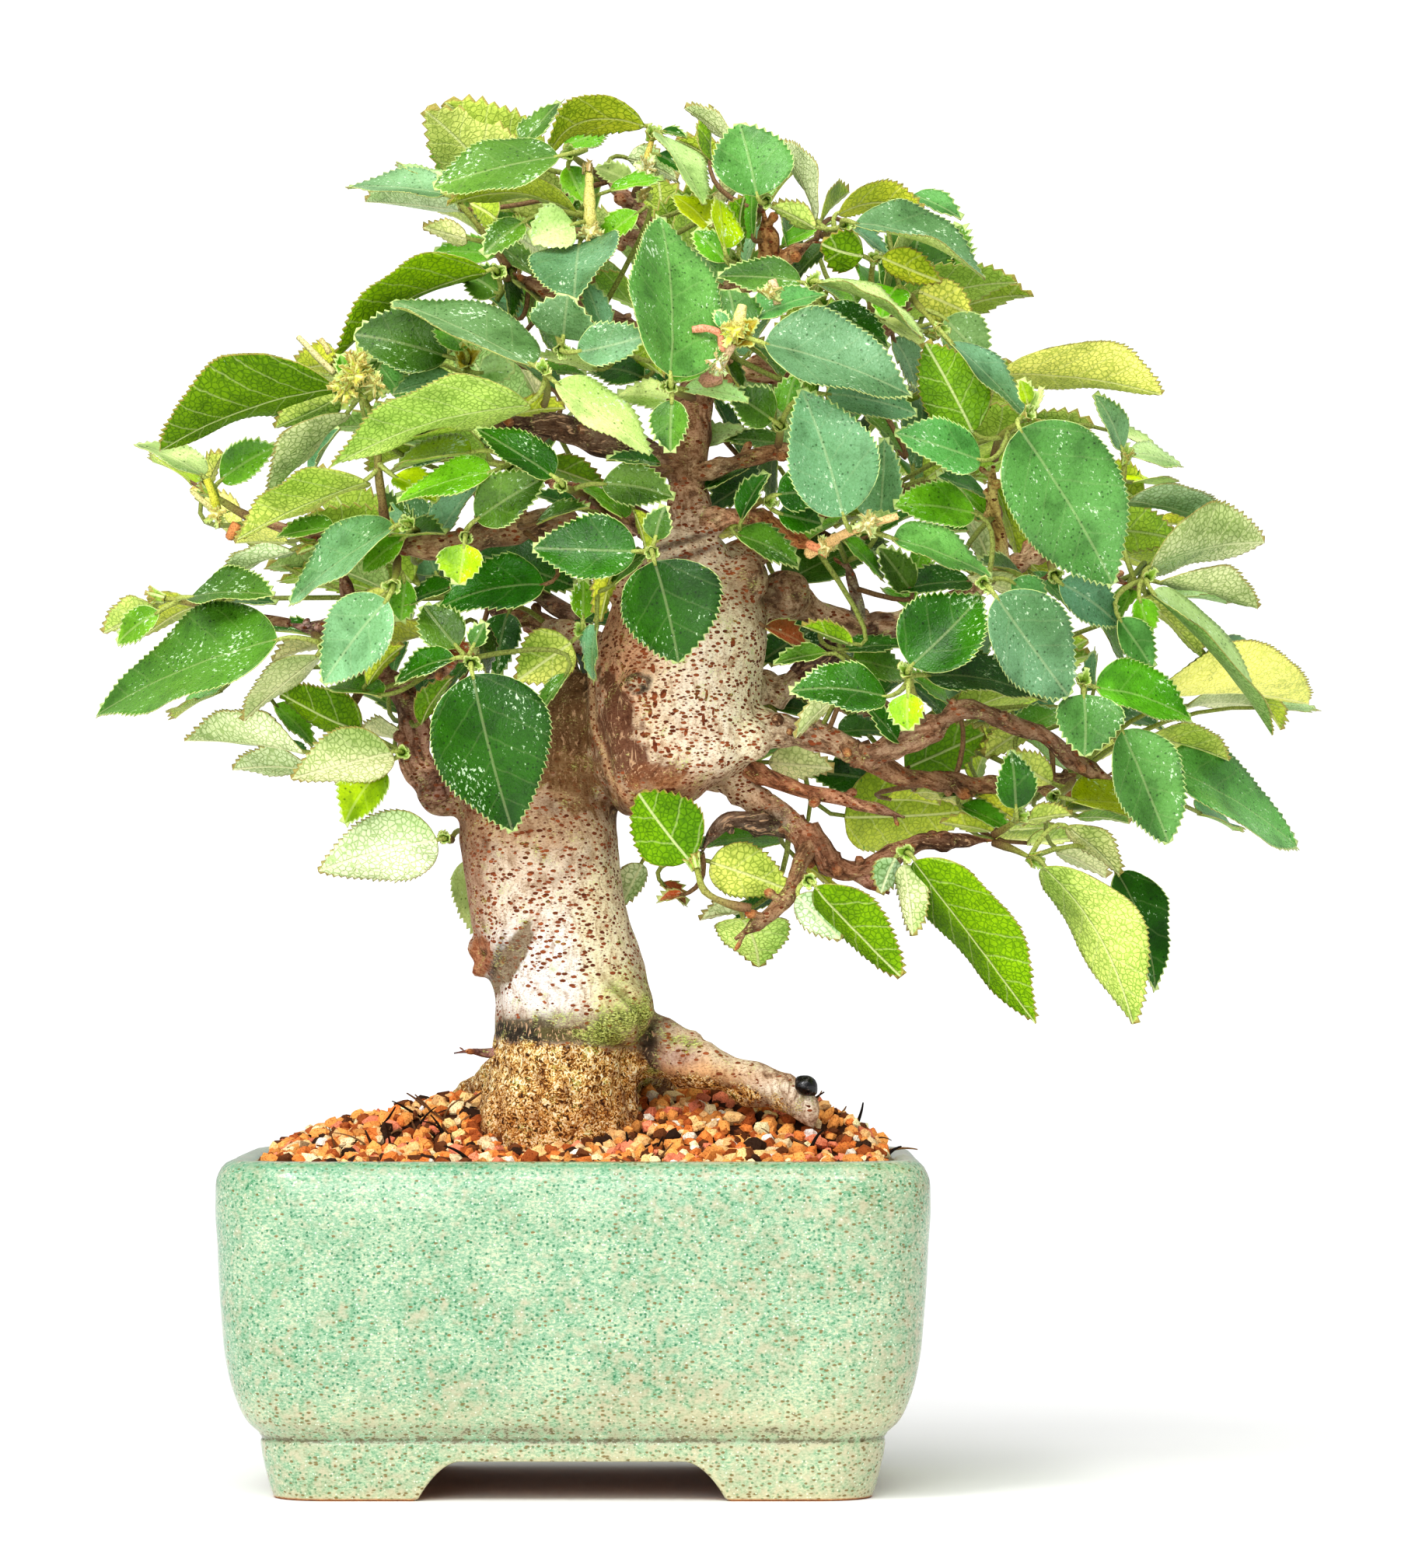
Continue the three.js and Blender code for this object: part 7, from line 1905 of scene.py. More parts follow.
    def stack(self, rows: Sequence[Any], seed: int) -> Skin:
        """Level rings of the thick wood: each an ellipse as wide as its outline, times a wandering lobe.

        Args:
            rows: Slices as in LOWER_TRUNK.
            seed: Sets the lobe.

        Returns:
            The closed surface.
        """
        row, left, right, middle, half_depth = flow(np.array(rows, dtype=float), 6.0).T
        centre = SURVEY.place((left + right) / 2, row, middle)
        half_width = (right - left) / 2 * SURVEY.mm_per_px
        turn = turns(72)
        wander = np.stack(np.broadcast_arrays(np.cos(turn), np.sin(turn), row[:, None] / 160), axis=-1)
        lobe = 1 + 0.05 * drift(wander, 0.8, seed)
        x = centre[:, :1] + half_width[:, None] * lobe * np.cos(turn)
        y = centre[:, 1:2] + half_depth[:, None] * lobe * np.sin(turn)
        return loft(np.stack([x, y, np.broadcast_to(centre[:, 2:], x.shape)], axis=-1))

    def limb(self, rows: Sequence[Any], seed: int, sides: int, step: float) -> tuple[Array, Array]:
        """The path of a limb and the radius of each point of its rings.

        The radius follows the survey, times 1 plus a slow and a quick drift, with a swelling wherever the
        quick one peaks, as at old leaf scars.

        Args:
            rows: Places as in LIMBS.
            seed: Sets the drifts.
            sides: Points in a ring.
            step: Distance between the rings.

        Returns:
            The path, (n, 3), and the radii, (n, sides).
        """
        table = np.array(rows, dtype=float)
        places = np.concatenate([SURVEY.place(*table[:, :3].T), table[:, 3:]], axis=1)
        path = flow(places, step)
        radius = path[:, 3]
        sway = np.stack([drift(path[:, :3], 4.5, seed + k) for k in range(3)], axis=-1)
        path = path[:, :3] + 0.22 * radius[:, None] * sway
        slow = drift(path, 4.0, seed + 7)
        scars = np.clip(drift(path, 2.1, seed + 9), 0, 1) ** 2
        turn, ahead = turns(sides), (path[:, :1] + path[:, 2:]) / 3
        around = np.stack(np.broadcast_arrays(np.cos(turn), np.sin(turn), ahead), axis=-1)
        lumps = drift(around, 0.9, seed + 3)
        taper = np.clip((len(path) - np.arange(len(path))) * step / 4.5, 0.3, 1)
        reach = (radius * (0.94 + 0.12 * slow + 0.55 * scars) * taper)[:, None] * (1 + 0.26 * lumps)
        return path, reach

    def limbs(self, sides: int, step: float) -> Iterator[tuple[str, Array, Array]]:
        """The name, path and ring radii of every limb, each with its own drifts."""
        for number, (name, rows) in enumerate(LIMBS.items()):
            yield name, *self.limb(rows, 60 + 11 * number, sides, step)

    def wood(self) -> Skin:
        """Trunk, bulge, roots, knots and the thick ends of limbs, fused by a voxel remesh and smoothed."""
        parts = [self.stack(LOWER_TRUNK, 3), self.stack(UPPER_BULGE, 4)]
        for k, rows in enumerate([SIDE_ROOT, *BACK_ROOTS]):
            parts.append(tube(*self.limb(rows, 40 + k, 20, 1.0), 20))
        for _, path, reach in self.limbs(16, 1.0):
            stout = reach.mean(axis=1) > self.thick_radius
            last = int(np.argmin(stout)) if not stout.all() else len(stout)
            if last >= 3:
                parts.append(tube(path[:last], reach[:last], 16))
        ball = sphere(0.08, 9, 14)
        parts += [loft(SURVEY.place(*knot[:3]) + ball * knot[3]) for knot in KNOTS]
        raw = Skin.joined(parts)
        mesh = bpy.data.meshes.new("wood")
        mesh.from_pydata(raw.points.tolist(), [], [f[:3] if f[2] == f[3] else f for f in raw.faces.tolist()])
        carrier = linked("wood", mesh)
        fuse = carrier.modifiers.new("fuse", "REMESH")
        fuse.mode, fuse.voxel_size = "VOXEL", self.voxel
        fused, points = worked(carrier)
        corners = np.empty(len(fused.loops), dtype=np.int32)
        fused.loops.foreach_get("vertex_index", corners)
        bpy.data.objects.remove(carrier)
        faces = corners.reshape(-1, 4)
        return Skin(relax(points, faces, 3, 0.5), faces)

    def carve(self, wood: Skin) -> None:
        """Moves each point of the thick wood along its normal by the dents and by bark plates."""
        normals = corner_normals(wood.points, wood.faces)
        spots = SURVEY.spots(wood.points)
        facing = np.clip(0.5 - 1.5 * normals[:, 1], 0, 1)
        upright = wood.points * (1, 1, 0.4)
        lift = 0.28 * drift(wood.points, 7.0, 71) + 0.2 * drift(wood.points, 3.0, 72)
        lift += 0.12 * drift(upright, 1.5, 75)
        crust = 0.6 * drift(wood.points, 1.7, 73) + 0.25 * drift(upright, 3.0, 74) + 0.2
        lift += self.foot_share(spots) * crust
        for dent in self.dents:
            lift += dent.lift * facing * bump_at(spots, dent.centre, dent.reach, dent.lean)
        wood.points = wood.points + normals * lift[:, None]

    @staticmethod
    def foot_share(spots: Array) -> Array:
        """How far spots are in the trunk's crusted foot: 0 over an edge near row 1324, 1 from row 1354 on."""
        edge = 1324 + 0.07 * (spots[:, 0] - 650)
        return np.clip((spots[:, 1] - edge) / 30, 0, 1) * np.clip((842 - spots[:, 0]) / 20, 0, 1)

    @staticmethod
    def drawn_out(points: Array, path: Array) -> tuple[Array, Array]:
        """Coordinates drawn out along a path.

        Args:
            points: Places, (n, 3).
            path: The path that the wood follows, (k, 3).

        Returns:
            What is left of each place square to the path plus a fifth of the way along it, (n, 3), and its
            distance from the path, (n,).
        """
        way = lengths(path)
        tangent = unit(np.gradient(path, axis=0))
        k = np.argmin(((points[:, None] - path) ** 2).sum(axis=-1), axis=1)
        off = points - path[k]
        ahead = (off * tangent[k]).sum(axis=1)
        rest = off - tangent[k] * ahead[:, None]
        return rest + 0.2 * (way[k] + ahead)[:, None], np.linalg.norm(rest, axis=1)

    @staticmethod
    def limb_tone(name: str, patchy: Array) -> Array:
        """The bark colour of a limb, lighter and darker by a drift, and half as smooth as the trunk's.

        Args:
            name: The limb.
            patchy: The drift at each point, (n,).

        Returns:
            Linear colours and how smooth the bark is, (n, 4).
        """
        mean = linear(LIMB_TONES.get(name, "#b8967c"))
        tone = np.clip(mean * (0.45 + 1.1 * np.clip(0.5 + 0.6 * patchy, 0, 1))[:, None], 0, 1)
        tone[:, 3] = 0.35
        return tone

    def paint(self, skin: Skin, name: str = "", path: Array | None = None) -> Skin:
        """Paints tone, fibre, and the shares of lenticels, crust and moss.

        Args:
            skin: A twig, or the thick wood.
            name: The limb that a twig belongs to.
            path: Its path, or None for the thick wood.

        Returns:
            The same skin.
        """
        spots = SURVEY.spots(skin.points)
        patchy = drift(skin.points, 5.0, 81) + 0.5 * drift(skin.points, 2.0, 82)
        tone = self.limb_tone(name, patchy)
        marks = np.zeros((len(spots), 3))
        marks[:, 0] = 0.25
        if path is not None:
            fibre = self.drawn_out(skin.points, path)[0]
        else:
            swirl = np.stack([drift(skin.points, 4.0, 86 + k) for k in range(3)], axis=-1)
            fibre = skin.points * (1, 1, 0.42) + 1.1 * swirl
            for limb, line, reach in self.limbs(16, 1.0):
                stout = float(reach.mean(axis=1).max())
                low, high = line.min(axis=0) - stout, line.max(axis=0) + stout
                close = np.flatnonzero(((skin.points > low) & (skin.points < high)).all(axis=1))
                along, away = self.drawn_out(skin.points[close], line[::2])
                near = away < 1.5 * stout
                close, along, away = close[near], along[near], away[near]
                fibre[close] = along
                share = np.clip((1.5 * stout - away) / (0.4 * stout), 0, 1)[:, None]
                tone[close] += (self.limb_tone(limb, patchy[close]) - tone[close]) * share
        for patch in self.crown_patches:
            patch.shift_tone(tone, patch.share(spots, patchy))
        if path is None:
            frayed = 0.8 * patchy + 0.8 * drift(skin.points, 1.2, 83)
            on_trunk = np.clip((spots[:, 1] - 668) / 30, 0, 1) * np.clip((1000 - spots[:, 0]) / 30, 0, 1)
            on_trunk = on_trunk * np.clip((spots[:, 0] - 570) / 24, 0, 1)
            front = np.clip(-skin.points[:, 1] / 5, 0, 1)
            for patch in self.patches:
                patch.shift_tone(tone, patch.share(spots, frayed) * (front if min(patch.reach) < 60 else 1.0))
            tone[:, 3] = 0.35 + 0.65 * on_trunk
            marks[:, 0] += on_trunk * (0.46 + 0.16 * bump_at(spots, (840, 900), (80, 110)))
            marks[:, 0] *= 1 - 0.75 * bump_at(spots, (730, 1280), (90, 40))
            marks[:, 0] *= 1 - 0.6 * bump_at(spots, (950, 1380), (120, 50))
            marks[:, 1] = self.foot_share(spots)
            marks[:, 1] += 0.9 * bump_at(spots, (925, 1405), (110, 20), 0.2)
            for centre, reach, amount in self.moss:
                marks[:, 2] += amount * bump_at(spots, centre, reach, 0.2)
            marks = np.clip(marks, 0, 1)
        return skin.painted(tone=tone, marks=marks, fibre=fibre)

    def spurs(self, name: str, path: Array, radius: Array, seed: int) -> list[Skin]:
        """Short knobbly spurs along a twig, each a bent tube that swells at its bud and ends in a tan tip.

        Args:
            name: The limb.
            path: Its path, (n, 3).
            radius: Its radius at each place, (n,).
            seed: Sets where the spurs stand and how they turn.

        Returns:
            The painted spurs.
        """
        rng = np.random.default_rng(seed)
        skins = []
        at = rng.uniform(2, 7)
        reach = lengths(path)
        while at < reach[-1] - 1:
            k = min(int(np.searchsorted(reach, at)), len(path) - 2)
            along = unit(path[k + 1] - path[k])
            out = unit(np.cross(along, rng.normal(size=3)) + along * rng.uniform(0.0, 0.7))
            length = rng.uniform(0.8, 3.2)
            t = np.linspace(0, 1, 7)
            stretch = length * t[:, None]
            bent = path[k] + out * (radius[k] * 0.6 + stretch) + along * (0.35 * stretch * t[:, None])
            swell = np.interp(t, (0, 0.35, 0.6, 0.85, 1), (0.8, 0.5, 0.72, 0.66, 0.2))
            swell = swell * rng.uniform(0.8, 1.25)
            spur = self.paint(tube(bent, swell * min(radius[k], 1.3), 7), name, bent)
            beyond = np.linalg.norm(spur.points - path[k], axis=1) - radius[k]
            fresh = np.clip((beyond - length * 0.35) / 1.2, 0, 1)
            tip = np.array([*linear("#d9945a")[:3], 0.8])
            spur.paint["tone"] += (tip - spur.paint["tone"]) * (fresh * rng.uniform(0.2, 0.9))[:, None]
            skins.append(spur)
            at += rng.uniform(2.0, 7.0)
        return skins

    def build(self, shop: Workshop) -> bpy.types.Object:
        """Fuses and carves the thick wood, adds the twigs and puts both in place as one piece."""
        wood = self.wood()
        self.carve(wood)
        parts = [self.paint(wood)]
        for k, (name, path, reach) in enumerate(self.limbs(self.twig_sides, self.twig_step)):
            mean = reach.mean(axis=1)
            slim = np.flatnonzero(mean < self.thick_radius * 1.18)
            first = max(int(slim[0]) - 2, 0) if len(slim) else len(path)
            if len(path) - first >= 4:
                twig = tube(path[first:], reach[first:], self.twig_sides)
                parts.append(self.paint(twig, name, path[first:]))
            outer = slice(len(path) // 4, None)
            parts += self.spurs(name, path[outer], mean[outer], 300 + k)
        bark = QuinceBark("quince_bark", roughness=0.75, gloss=0.25).build()
        return shop.put("quince_wood", Skin.joined(parts), [bark], "tree")


# Leaves


@dataclass(frozen=True)
class Leaf:
    """One leaf: where its stalk leaves the stem, where its blade starts and ends, and how it lies."""

    stalk: Array
    base: Array
    tip: Array
    width: float
    facing: Array
    look: Look
    arch: float
    seed: int
    tooth: float = 1.0


@dataclass
class BladeMaker:
    """Shapes leaves: a rounded base, a short sharp tip and a fine toothed rim."""

    base_power: tuple[float, float] = (0.47, 0.64)
    tip_power: tuple[float, float] = (0.84, 1.04)
    tooth_height: float = 0.46
    thickness: float = 0.3
    cells: tuple[float, ...] = (-1.0, -0.82, -0.42, 0.0, 0.42, 0.82, 1.0)

    @staticmethod
    def width_share(share: Array, base: float, tip: float) -> Array:
        """Half width at a share s of the length: s^base (1-s)^tip over its own peak, so 1 at its widest.

        Args:
            share: Shares of the length.
            base: Power at the base, less for a rounder one.
            tip: Power at the tip.

        Returns:
            Shares of the half width.
        """
        widest = base / (base + tip)
        return share**base * (1 - share) ** tip / (widest**base * (1 - widest) ** tip)

    def blade(self, leaf: Leaf) -> Skin:
        """A closed blade over a grid of shares along (s) and across (t).

        A point stands s times the length along the rib and t times the half width aside. Over that it
        rises by the fold times its distance from the rib, by the arch times 4s(1-s), and by a wave of the
        rim. Every second row of rim points is pushed out and forward, as a tooth. The underside is the same
        grid, lower by the thickness. The rib is sunk above and stands out below, the blade twists a little
        about it, and one rim or both may curl.

        Args:
            leaf: Where the leaf lies and how it looks.

        Returns:
            The blade with its paint.
        """
        rng = np.random.default_rng(leaf.seed)
        along = leaf.tip - leaf.base
        length = float(np.linalg.norm(along))
        along = along / length
        normal = unit(leaf.facing - along * (leaf.facing @ along))
        aside = np.cross(along, normal)
        teeth = max(round(length / leaf.tooth), 5)
        s = np.linspace(0, 1, 2 * teeth + 1)[:, None]
        t = np.array(self.cells)[None]
        powers = rng.uniform(*self.base_power), rng.uniform(*self.tip_power)
        half = np.maximum(leaf.width / 2 * self.width_share(s, *powers), 0.32 * (1 - s) + 0.05)
        is_tooth = (np.arange(len(s)) % 2 == 1)[:, None] * np.clip((s - 0.05) * 12, 0, 1) * (s < 0.985)
        rim = np.abs(t) > 0.99
        tooth = self.tooth_height * leaf.tooth * is_tooth * rim * rng.uniform(0.6, 1.25, s.shape)
        across = np.sign(t) * (np.abs(t) * half + tooth)
        forward = s * length + tooth * 1.2
        skew = 0.025 * rng.normal()
        across_bent = across + skew * length * 4 * s * (1 - s)
        distance = np.sqrt(across**2 + (0.1 * leaf.width) ** 2) - 0.1 * leaf.width
        twist = 0.10 * rng.normal()
        curl = np.where(t < 0, *(rng.uniform(-0.12, 0.3, 2) * (rng.random(2) < 0.6)))
        phase = rng.uniform(0, 2 * np.pi, 2)
        wave = np.sin(2 * np.pi * rng.uniform(1.2, 2.2) * s + np.where(t > 0, phase[0], phase[1]))
        rise = (
            leaf.look.value.fold * distance
            + leaf.arch * length * 4 * s * (1 - s)
            + 0.022 * length * wave * t**2 * np.sqrt(4 * s * (1 - s))
            + twist * across * (s - 0.3)
            + curl * half * np.abs(t) ** 3 * np.clip(6 * s * (1 - s), 0, 1)
            - 0.16 * hill(across, 0, 0.45)
        )
        where = np.stack(np.broadcast_arrays(forward, across, 0 * s), axis=-1)
        rise = rise + 0.16 * drift(where, 3.1, leaf.seed + 1) * (1 - s)
        thick = self.thickness * (1 - 0.5 * np.abs(t)) + 0.25 * hill(across, 0, 0.4) * (1 - 0.7 * s)

        plane = leaf.base + along * forward[..., None] + aside * across_bent[..., None]
        top, under = (plane + normal * height[..., None] for height in (rise, rise - thick))
        rings = np.concatenate([top[:, ::-1], under], axis=1)
        to_rim = np.broadcast_to(half * (1 - np.abs(t)), across.shape)
        blade = np.stack(np.broadcast_arrays(to_rim, forward, across), axis=-1)
        upper, lower = (linear(c) for c in (leaf.look.value.upper, leaf.look.value.lower))
        shade = rng.uniform(0.76, 1.2)
        warm = 1 + 0.10 * rng.normal() * np.array([1.0, 0.15, -0.6, 0.0])
        # Painted sheen and shade: one half of the blade lighter and the other darker, with lighter and darker
        # bands along it, for light on the folded glossy blade.
        side = np.clip(across / 0.3, -1, 1) * rng.choice((-1, 1)) * rng.uniform(0.06, 0.3)
        side = side + rng.uniform(0.08, 0.26) * np.cos(rng.uniform(3, 7) * s + 1.4 * t + rng.uniform(0, 6.3))
        painted_sheen = 1 + side[..., None] * np.array([1.0, 0.75, 1.25, 0.0])
        upper, lower = (np.clip(colour * shade * warm, 0, 1) * painted_sheen for colour in (upper, lower))
        tint = np.concatenate([upper[:, ::-1], lower], axis=1)
        face = np.broadcast_to(np.repeat([1.0, 0.0], len(self.cells)), tint.shape[:2])
        skin = loft(rings, tint=tint, blade=np.concatenate([blade[:, ::-1], blade], axis=1), upper=face)
        skin.coat = np.zeros(len(skin.faces), dtype=int)
        return skin

    def petiole(self, leaf: Leaf, colour: Array) -> Skin:
        """The stalk: a tube on the quadratic curve from the stem over a bend into the blade's rib.

        Args:
            leaf: The leaf that it carries.
            colour: Its linear colour.

        Returns:
            The tube.
        """
        along = unit(leaf.tip - leaf.base)
        t = np.linspace(0, 1, 7)[:, None]
        reach = np.linalg.norm(leaf.base - leaf.stalk)
        bend = leaf.base - along * 0.45 * reach
        into = leaf.base + along * 0.8 - unit(leaf.facing) * 0.2
        path = leaf.stalk * (1 - t) ** 2 + 2 * t * (1 - t) * bend + into * t**2
        return twig_skin(path, np.linspace(0.52, 0.36, 7), 6, colour)


def twig_skin(path: Array, radii: Array, sides: int, tint: Array) -> Skin:
    """A green or woody tube with the leaves' own paint, coated as young wood, in one tint or one a ring."""
    tints = np.broadcast_to(tint, (len(path), 4))
    return tube(path, radii, sides, tint=tints).painted(coat=1, blade=np.zeros(3), upper=0.0)


@dataclass
class Foliage:
    """Every leafy shoot of the crown: those read from the front, and the rule-made ones behind."""

    golden_share: float = 0.382
    shoot_radius: float = 0.8
    plain_bud: tuple[str, float] = ("#a8cf4a", 3.2)
    maker: BladeMaker = field(default_factory=BladeMaker)

    def facing(self, along: Array, seen: float, width: float, lower: bool) -> Array:
        """How a front leaf lies: turned about its rib until its full width shows as the width seen.

        Args:
            along: The direction of its rib.
            seen: The width seen.
            width: Its full width.
            lower: True when its underside is seen.

        Returns:
            The direction that its upper face looks in.
        """
        front = unit(np.array([0.0, -1.0, 0.0]) + along * along[1])
        skyward = np.cross(along, front)
        skyward = -skyward if skyward[2] < 0 else skyward
        turn = math.acos(min(seen / width, 1))
        shown = math.pi - turn if lower else turn
        return front * math.cos(shown) + skyward * math.sin(shown)

    @staticmethod
    def nearest(stem: Array, point: Array) -> Array:
        """The place on a stem nearest to a point.

        Args:
            stem: Places along it, (n, 3).
            point: The point.

        Returns:
            The place.
        """
        start, run = stem[:-1], np.diff(stem, axis=0)
        share = np.clip(((point - start) * run).sum(axis=1) / (run * run).sum(axis=1), 0, 1)
        places = start + run * share[:, None]
        return places[np.argmin(np.linalg.norm(places - point, axis=1))]

    def surveyed(self, stem: Array, row: Sequence[Any], seed: int) -> Leaf:
        """A leaf from its row in the survey.

        Args:
            stem: Places of the stem that it grows from.
            row: A row as in SHOOTS.
            seed: Sets its own drifts.

        Returns:
            The leaf.
        """
        column, line, tip_column, tip_line, depth, dip, seen, look, *rest = row
        base, tip = SURVEY.place(column, line, depth), SURVEY.place(tip_column, tip_line, depth + dip)
        length = float(np.linalg.norm(tip - base))
        along = (tip - base) / length
        seen = seen * SURVEY.mm_per_px
        width = max(seen * 1.04, length * look.value.shape)
        facing = self.facing(along, seen, width, look.value.shows_lower)
        arch = rest[0] if rest else 0.04
        return Leaf(self.nearest(stem, base - along * 4), base, tip, width, facing, look, arch, seed)

    def hidden(self, row: Sequence[Any], seed: int) -> tuple[Array, list[Leaf]]:
        """A shoot of the back: leaves set by the golden share on the outer side of a stem, faces to the sky.

        Args:
            row: A row of HIDDEN_SHOOTS.
            seed: Sets the leaves' turns and lengths.

        Returns:
            The stem's places and the leaves.
        """
        limb, index, heading, climb, count = row
        throw = dice(seed)
        column, line, depth, radius = LIMBS[limb][index]
        along = pointing(math.radians(heading), math.radians(climb))
        start = SURVEY.place(column, line, depth) + along * (radius + 0.6)
        across = unit(np.cross([0.0, 0.0, 1.0], along))
        up = np.cross(along, across)
        leaves = []
        for k in range(count):
            around = 1.7 * (2 * ((k * self.golden_share + 0.5 * next(throw)) % 1) - 1)
            outward = unit(across * math.sin(around) + up * math.cos(around) + along * 0.7)
            origin = start + along * (2 + 17.5 * k / (count - 1))
            length = 18 + 7 * next(throw)
            base = origin + outward * 4.5
            face, look = np.array([0, 0, 1.0]) + along * 0.6, (DEEP, SAGE, FRESH)[k % 3]
            tip = base + outward * length
            leaves.append(Leaf(origin, base, tip, length * 0.6, face, look, 0.1, seed * 31 + k, 1.7))
        inside = start - along * (radius + 0.6) * 0.6
        return np.stack([inside, start + along * 10, start + along * 20]), leaves

    def bud(self, at: Array, along: Array, colour: str, size: float, seed: int, bright: float = 1) -> list:
        """A bud or a tuft of unfolding leaves: small closed blades round the shoot's end.

        Args:
            at: The shoot's end.
            along: The direction that it grows in.
            colour: Its sRGB colour.
            size: Its length.
            seed: Sets how its blades turn.
            bright: What the colour is multiplied by.

        Returns:
            Its blades.
        """
        rng = np.random.default_rng(seed)
        side = unit(np.cross(along, rng.normal(size=3)))
        other = np.cross(along, side)
        skins = []
        for k in range(4):
            turn = 2.4 * k + rng.uniform(-0.3, 0.3)
            out = side * math.cos(turn) + other * math.sin(turn)
            heading = unit(along + out * rng.uniform(0.15, 0.55))
            base = at + out * 0.25
            tip = base + heading * size * rng.uniform(0.7, 1.1)
            skin = self.maker.blade(Leaf(at, base, tip, size * 0.42, -out, LIME, 0.05, seed * 7 + k, 0.9))
            tone = linear(colour) * rng.uniform(0.8, 1.15) * bright
            skins.append(skin.painted(tint=tone.clip(0, 1)))
        return skins

    def inner(self, rows: Sequence[Sequence[Any]], limbs: Array, seed: int) -> Skin:
        """Leaves inside the crown, each on a stalk from the nearest limb.

        Args:
            rows: Leaves as in INNER_LEAVES.
            limbs: Places along all limbs, (n, 3).
            seed: Sets the leaves' own drifts.

        Returns:
            The blades and stalks as one.
        """
        skins = []
        for k, row in enumerate(rows):
            leaf = self.surveyed(limbs[:2], row, seed + k)
            near = limbs[np.argmin(np.linalg.norm(limbs - leaf.base, axis=1))]
            leaf = replace(leaf, stalk=near, tooth=1.3)
            colour = linear("#93a052" if k % 3 else "#8a6c4c")
            skins += [self.maker.blade(leaf), self.maker.petiole(leaf, colour)]
        return Skin.joined(skins)

    def cut_back(self) -> Skin:
        """The cut ends of shoots, each a bent tube of wandering radius, and the tufts of dried scales."""
        skins = []
        for places, radii, tone in CUT_SHOOTS:
            path = flow(np.stack([SURVEY.place(*place) for place in places]), 0.6)
            reach = np.linspace(*radii, len(path)) * (1 + 0.22 * drift(path, 1.2, 51))
            skins.append(twig_skin(path, reach, 8, linear(tone)))
        for number, (place, tone, size, bundles) in enumerate(TUFTS):
            at = SURVEY.place(*place)
            for k in range(bundles):
                turn = 2.4 * k + number
                heading = unit(np.array([math.cos(turn), -0.4, math.sin(turn)]))
                skins += self.bud(at - heading * 0.2 * size, heading, tone, size, 900 + 20 * number + k, 2.0)
        return Skin.joined(skins)

    def shoot(self, stem: Array, leaves: Sequence[Leaf], seed: int, bud: tuple[str, float]) -> Skin:
        """A whole shoot: its stem, stalks, blades and bud.

        Args:
            stem: Places that the stem passes.
            leaves: Its leaves.
            seed: Sets its wandering radius and its stalks' colours.
            bud: Colour and length of the bud at its end.

        Returns:
            All of it as one.
        """
        path = flow(stem, 1.2)
        rng = np.random.default_rng(seed)
        share = np.linspace(0, 1, len(path))
        radii = self.shoot_radius * (1 - 0.42 * share) * (1 + 0.22 * drift(path, 2.0, seed))
        woody, green = linear("#8a6a4c"), linear("#a9b25a")
        tint = woody + (green - woody) * np.clip(share[:, None] * 1.3 - 0.1, 0, 1)
        skins = [twig_skin(path, radii, 8, tint)]
        for leaf in leaves:
            skins.append(self.maker.blade(leaf))
            stalk = linear("#b4c26a") * rng.uniform(0.85, 1.1)
            skins.append(self.maker.petiole(leaf, np.clip(stalk, 0, 1)))
        skins += self.bud(path[-1], unit(path[-1] - path[-3]), bud[0], bud[1], seed)
        return Skin.joined(skins)

    def build(self, shop: Workshop) -> list[bpy.types.Object]:
        """Puts every shoot in place, each for its own CAD node."""
        young = YoungWood("young_shoot_bark", roughness=0.62, gloss=0.3).build()
        coats = {
            "leaf_deep": LeafBlade("waxed_leaf", roughness=0.27, ior=1.42, gloss=0.5).build(),
            "leaf_fresh": LeafBlade("soft_leaf", roughness=0.4, ior=1.42, gloss=0.3).build(),
            "leaf_pale": LeafBlade("netted_leaf_underside", 0.44, ior=1.4, gloss=0.25, net=0.6).build(),
        }
        pieces = []
        for number, (name, (stem, rows)) in enumerate(SHOOTS.items()):
            route = np.stack([SURVEY.place(*place) for place in stem])
            leaves = [self.surveyed(route, row, 1000 + 40 * number + k) for k, row in enumerate(rows)]
            slot = "leaf_pale" if rows[0][7].value.shows_lower else "leaf_deep"
            skin = self.shoot(route, leaves, 500 + number, BUDS.get(name, self.plain_bud))
            pieces.append(shop.put("leafy_" + name, skin, [coats[slot], young], "shoot_" + name))
        for number, (name, row) in enumerate(HIDDEN_SHOOTS.items()):
            stem, leaves = self.hidden(row, 90 + number)
            skin = self.shoot(stem, leaves, 700 + number, self.plain_bud)
            fresh = [coats["leaf_fresh"], young]
            pieces.append(shop.put("leafy_" + name, skin, fresh, "shoot_" + name))
        paths = [flow(SURVEY.place(*np.array(rows)[:, :3].T), 1.5) for rows in LIMBS.values()]
        for number, (part, rows) in enumerate(INNER_LEAVES.items()):
            skin = self.inner(rows, np.concatenate(paths), 5000 + 300 * number)
            pieces.append(shop.put("inner_leaves_" + part, skin, [coats["leaf_deep"], young]))
        pieces.append(shop.put("cut_back_tips", self.cut_back(), [coats["leaf_fresh"], young]))
        return pieces


# Studio


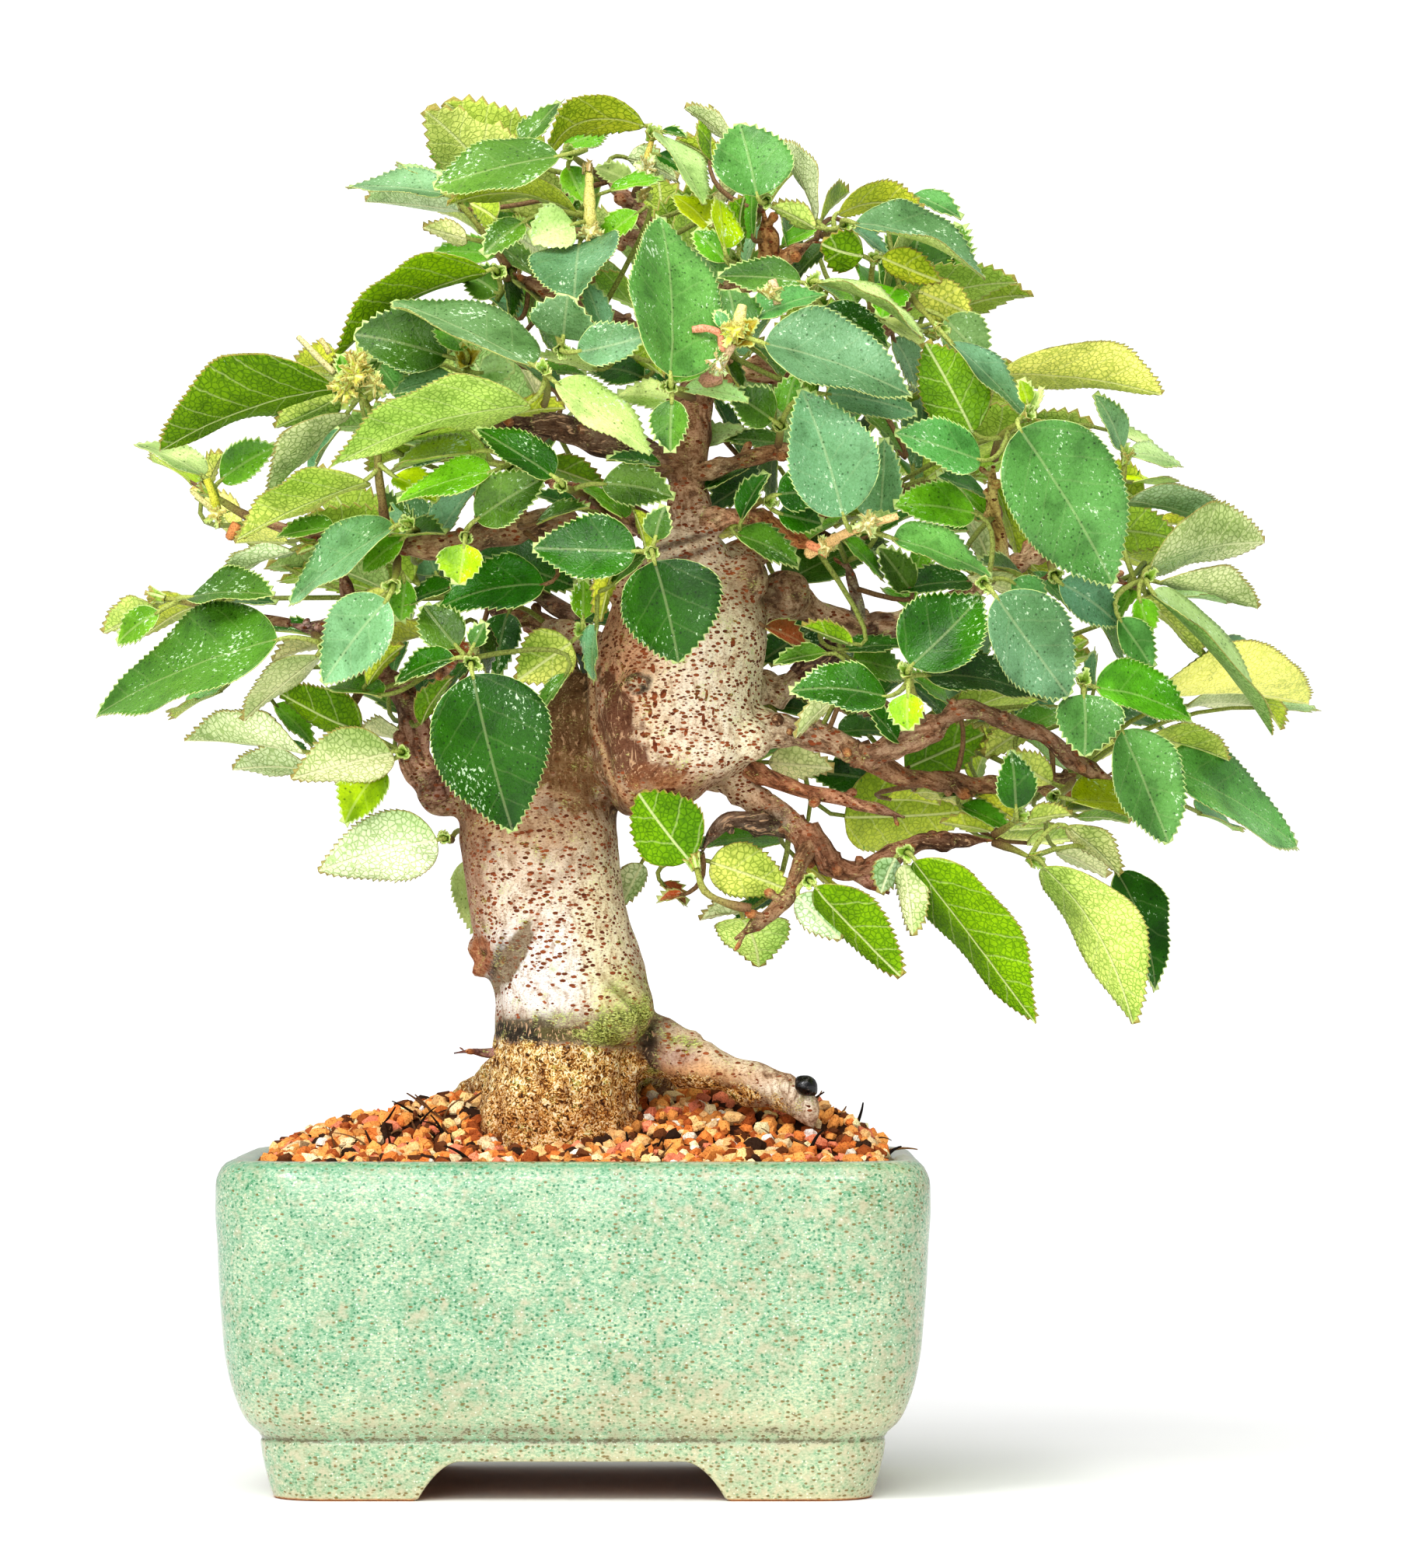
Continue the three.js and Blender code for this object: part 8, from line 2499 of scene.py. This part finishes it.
@dataclass
class Studio:
    """A white table in a pale room, under a soft key on the left, a front fill, a strip and a large panel."""

    table_half: float = 2.5
    room: float = 0.5
    sun: float = 1.7
    aim: tuple[float, float, float] = (0.0, 0.0, 0.13)

    def camera(self, shop: Workshop) -> None:
        """Sets the survey's camera: a 36 mm sensor over the picture's longer side, pitched up a little."""
        lens = SURVEY.focal_px / max(SURVEY.size_px) * 36
        data = bpy.data.cameras.new("front_view")
        data.lens, data.sensor_width, data.clip_start, data.clip_end = lens, 36, 0.05, 20
        camera = linked("front_view", data)
        camera.location = np.array(SURVEY.eye) * MM + shop.shift
        camera.rotation_euler = (math.pi / 2 + SURVEY.pitch, 0, 0)
        bpy.context.scene.camera = camera

    def table(self) -> None:
        """A plain pale table top."""
        half = self.table_half
        mesh = bpy.data.meshes.new("table")
        corners = [(-half, -half, 0), (half, -half, 0), (half, half, 0), (-half, half, 0)]
        mesh.from_pydata(corners, [], [(0, 1, 2, 3)])
        material = bpy.data.materials.new("white_table")
        material.use_nodes = True
        shader = material.node_tree.nodes["Principled BSDF"]
        shader.inputs["Base Color"].default_value = linear("#fcfcfc")
        shader.inputs["Roughness"].default_value = 0.8
        mesh.materials.append(material)
        linked("table", mesh)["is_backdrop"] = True

    def lamp(self, name: str, place: Sequence[float], size: Sequence[float], watts: float) -> None:
        """A soft rectangular light that is turned to the tree.

        Args:
            name: Its name.
            place: Where it stands, in metres.
            size: Its width and height in metres.
            watts: Its power.
        """
        data = bpy.data.lights.new(name, "AREA")
        data.shape, data.size, data.size_y, data.energy = "RECTANGLE", *size, watts
        lamp = linked(name, data)
        lamp.location = place
        back = unit(np.array(place) - self.aim)
        lamp.rotation_euler = (math.acos(back[2]), 0, math.atan2(back[1], back[0]) + math.pi / 2)

    def build(self, shop: Workshop) -> None:
        """Sets room, table, lights and camera."""
        world = bpy.data.worlds.new("white_room")
        world.use_nodes = True
        sky = world.node_tree.nodes["Background"]
        sky.inputs["Color"].default_value = linear("#ffffff")
        seen = add(world.node_tree, "LightPath")
        strength = add(world.node_tree, "MapRange", {0: seen, 3: self.room, 4: 1.0})
        sky.inputs["Strength"].default_value = self.room
        world.node_tree.links.new(strength, sky.inputs["Strength"])
        bpy.context.scene.world = world
        bpy.context.scene.view_settings.view_transform = "Standard"
        bpy.context.scene.view_settings.look = "Medium High Contrast"
        self.table()
        self.lamp("soft_key", (-0.45, -0.75, 0.95), (0.3, 0.3), 3.3)
        self.lamp("front_fill", (-0.25, -1.2, 0.3), (0.5, 0.5), 3.0)
        self.lamp("strip", (0.0, -0.8, 0.75), (0.9, 0.08), 1.6)
        sun = bpy.data.lights.new("overhead_panel", "SUN")
        sun.energy, sun.angle = self.sun, math.radians(75)
        linked("overhead_panel", sun).rotation_euler = (math.radians(35), 0, math.radians(-20))
        self.camera(shop)


def main() -> None:
    """Builds the bonsai from the pot up, then the studio."""
    logging.basicConfig(level=logging.INFO, format="%(name)s %(message)s")
    shop = Workshop()
    Studio().build(shop)
    pot = GlazedPot()
    pot.build(shop)
    Substrate(pot).build(shop)
    QuinceTree().build(shop)
    Foliage().build(shop)
    boxes = {"cad": CAD_BOX, "visual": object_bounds()}
    {name: [list(map(float, corner)) for corner in box] for name, box in boxes.items()}
    LOG.info("boxes: %s", boxes)


if __name__ == "__main__":
    main()
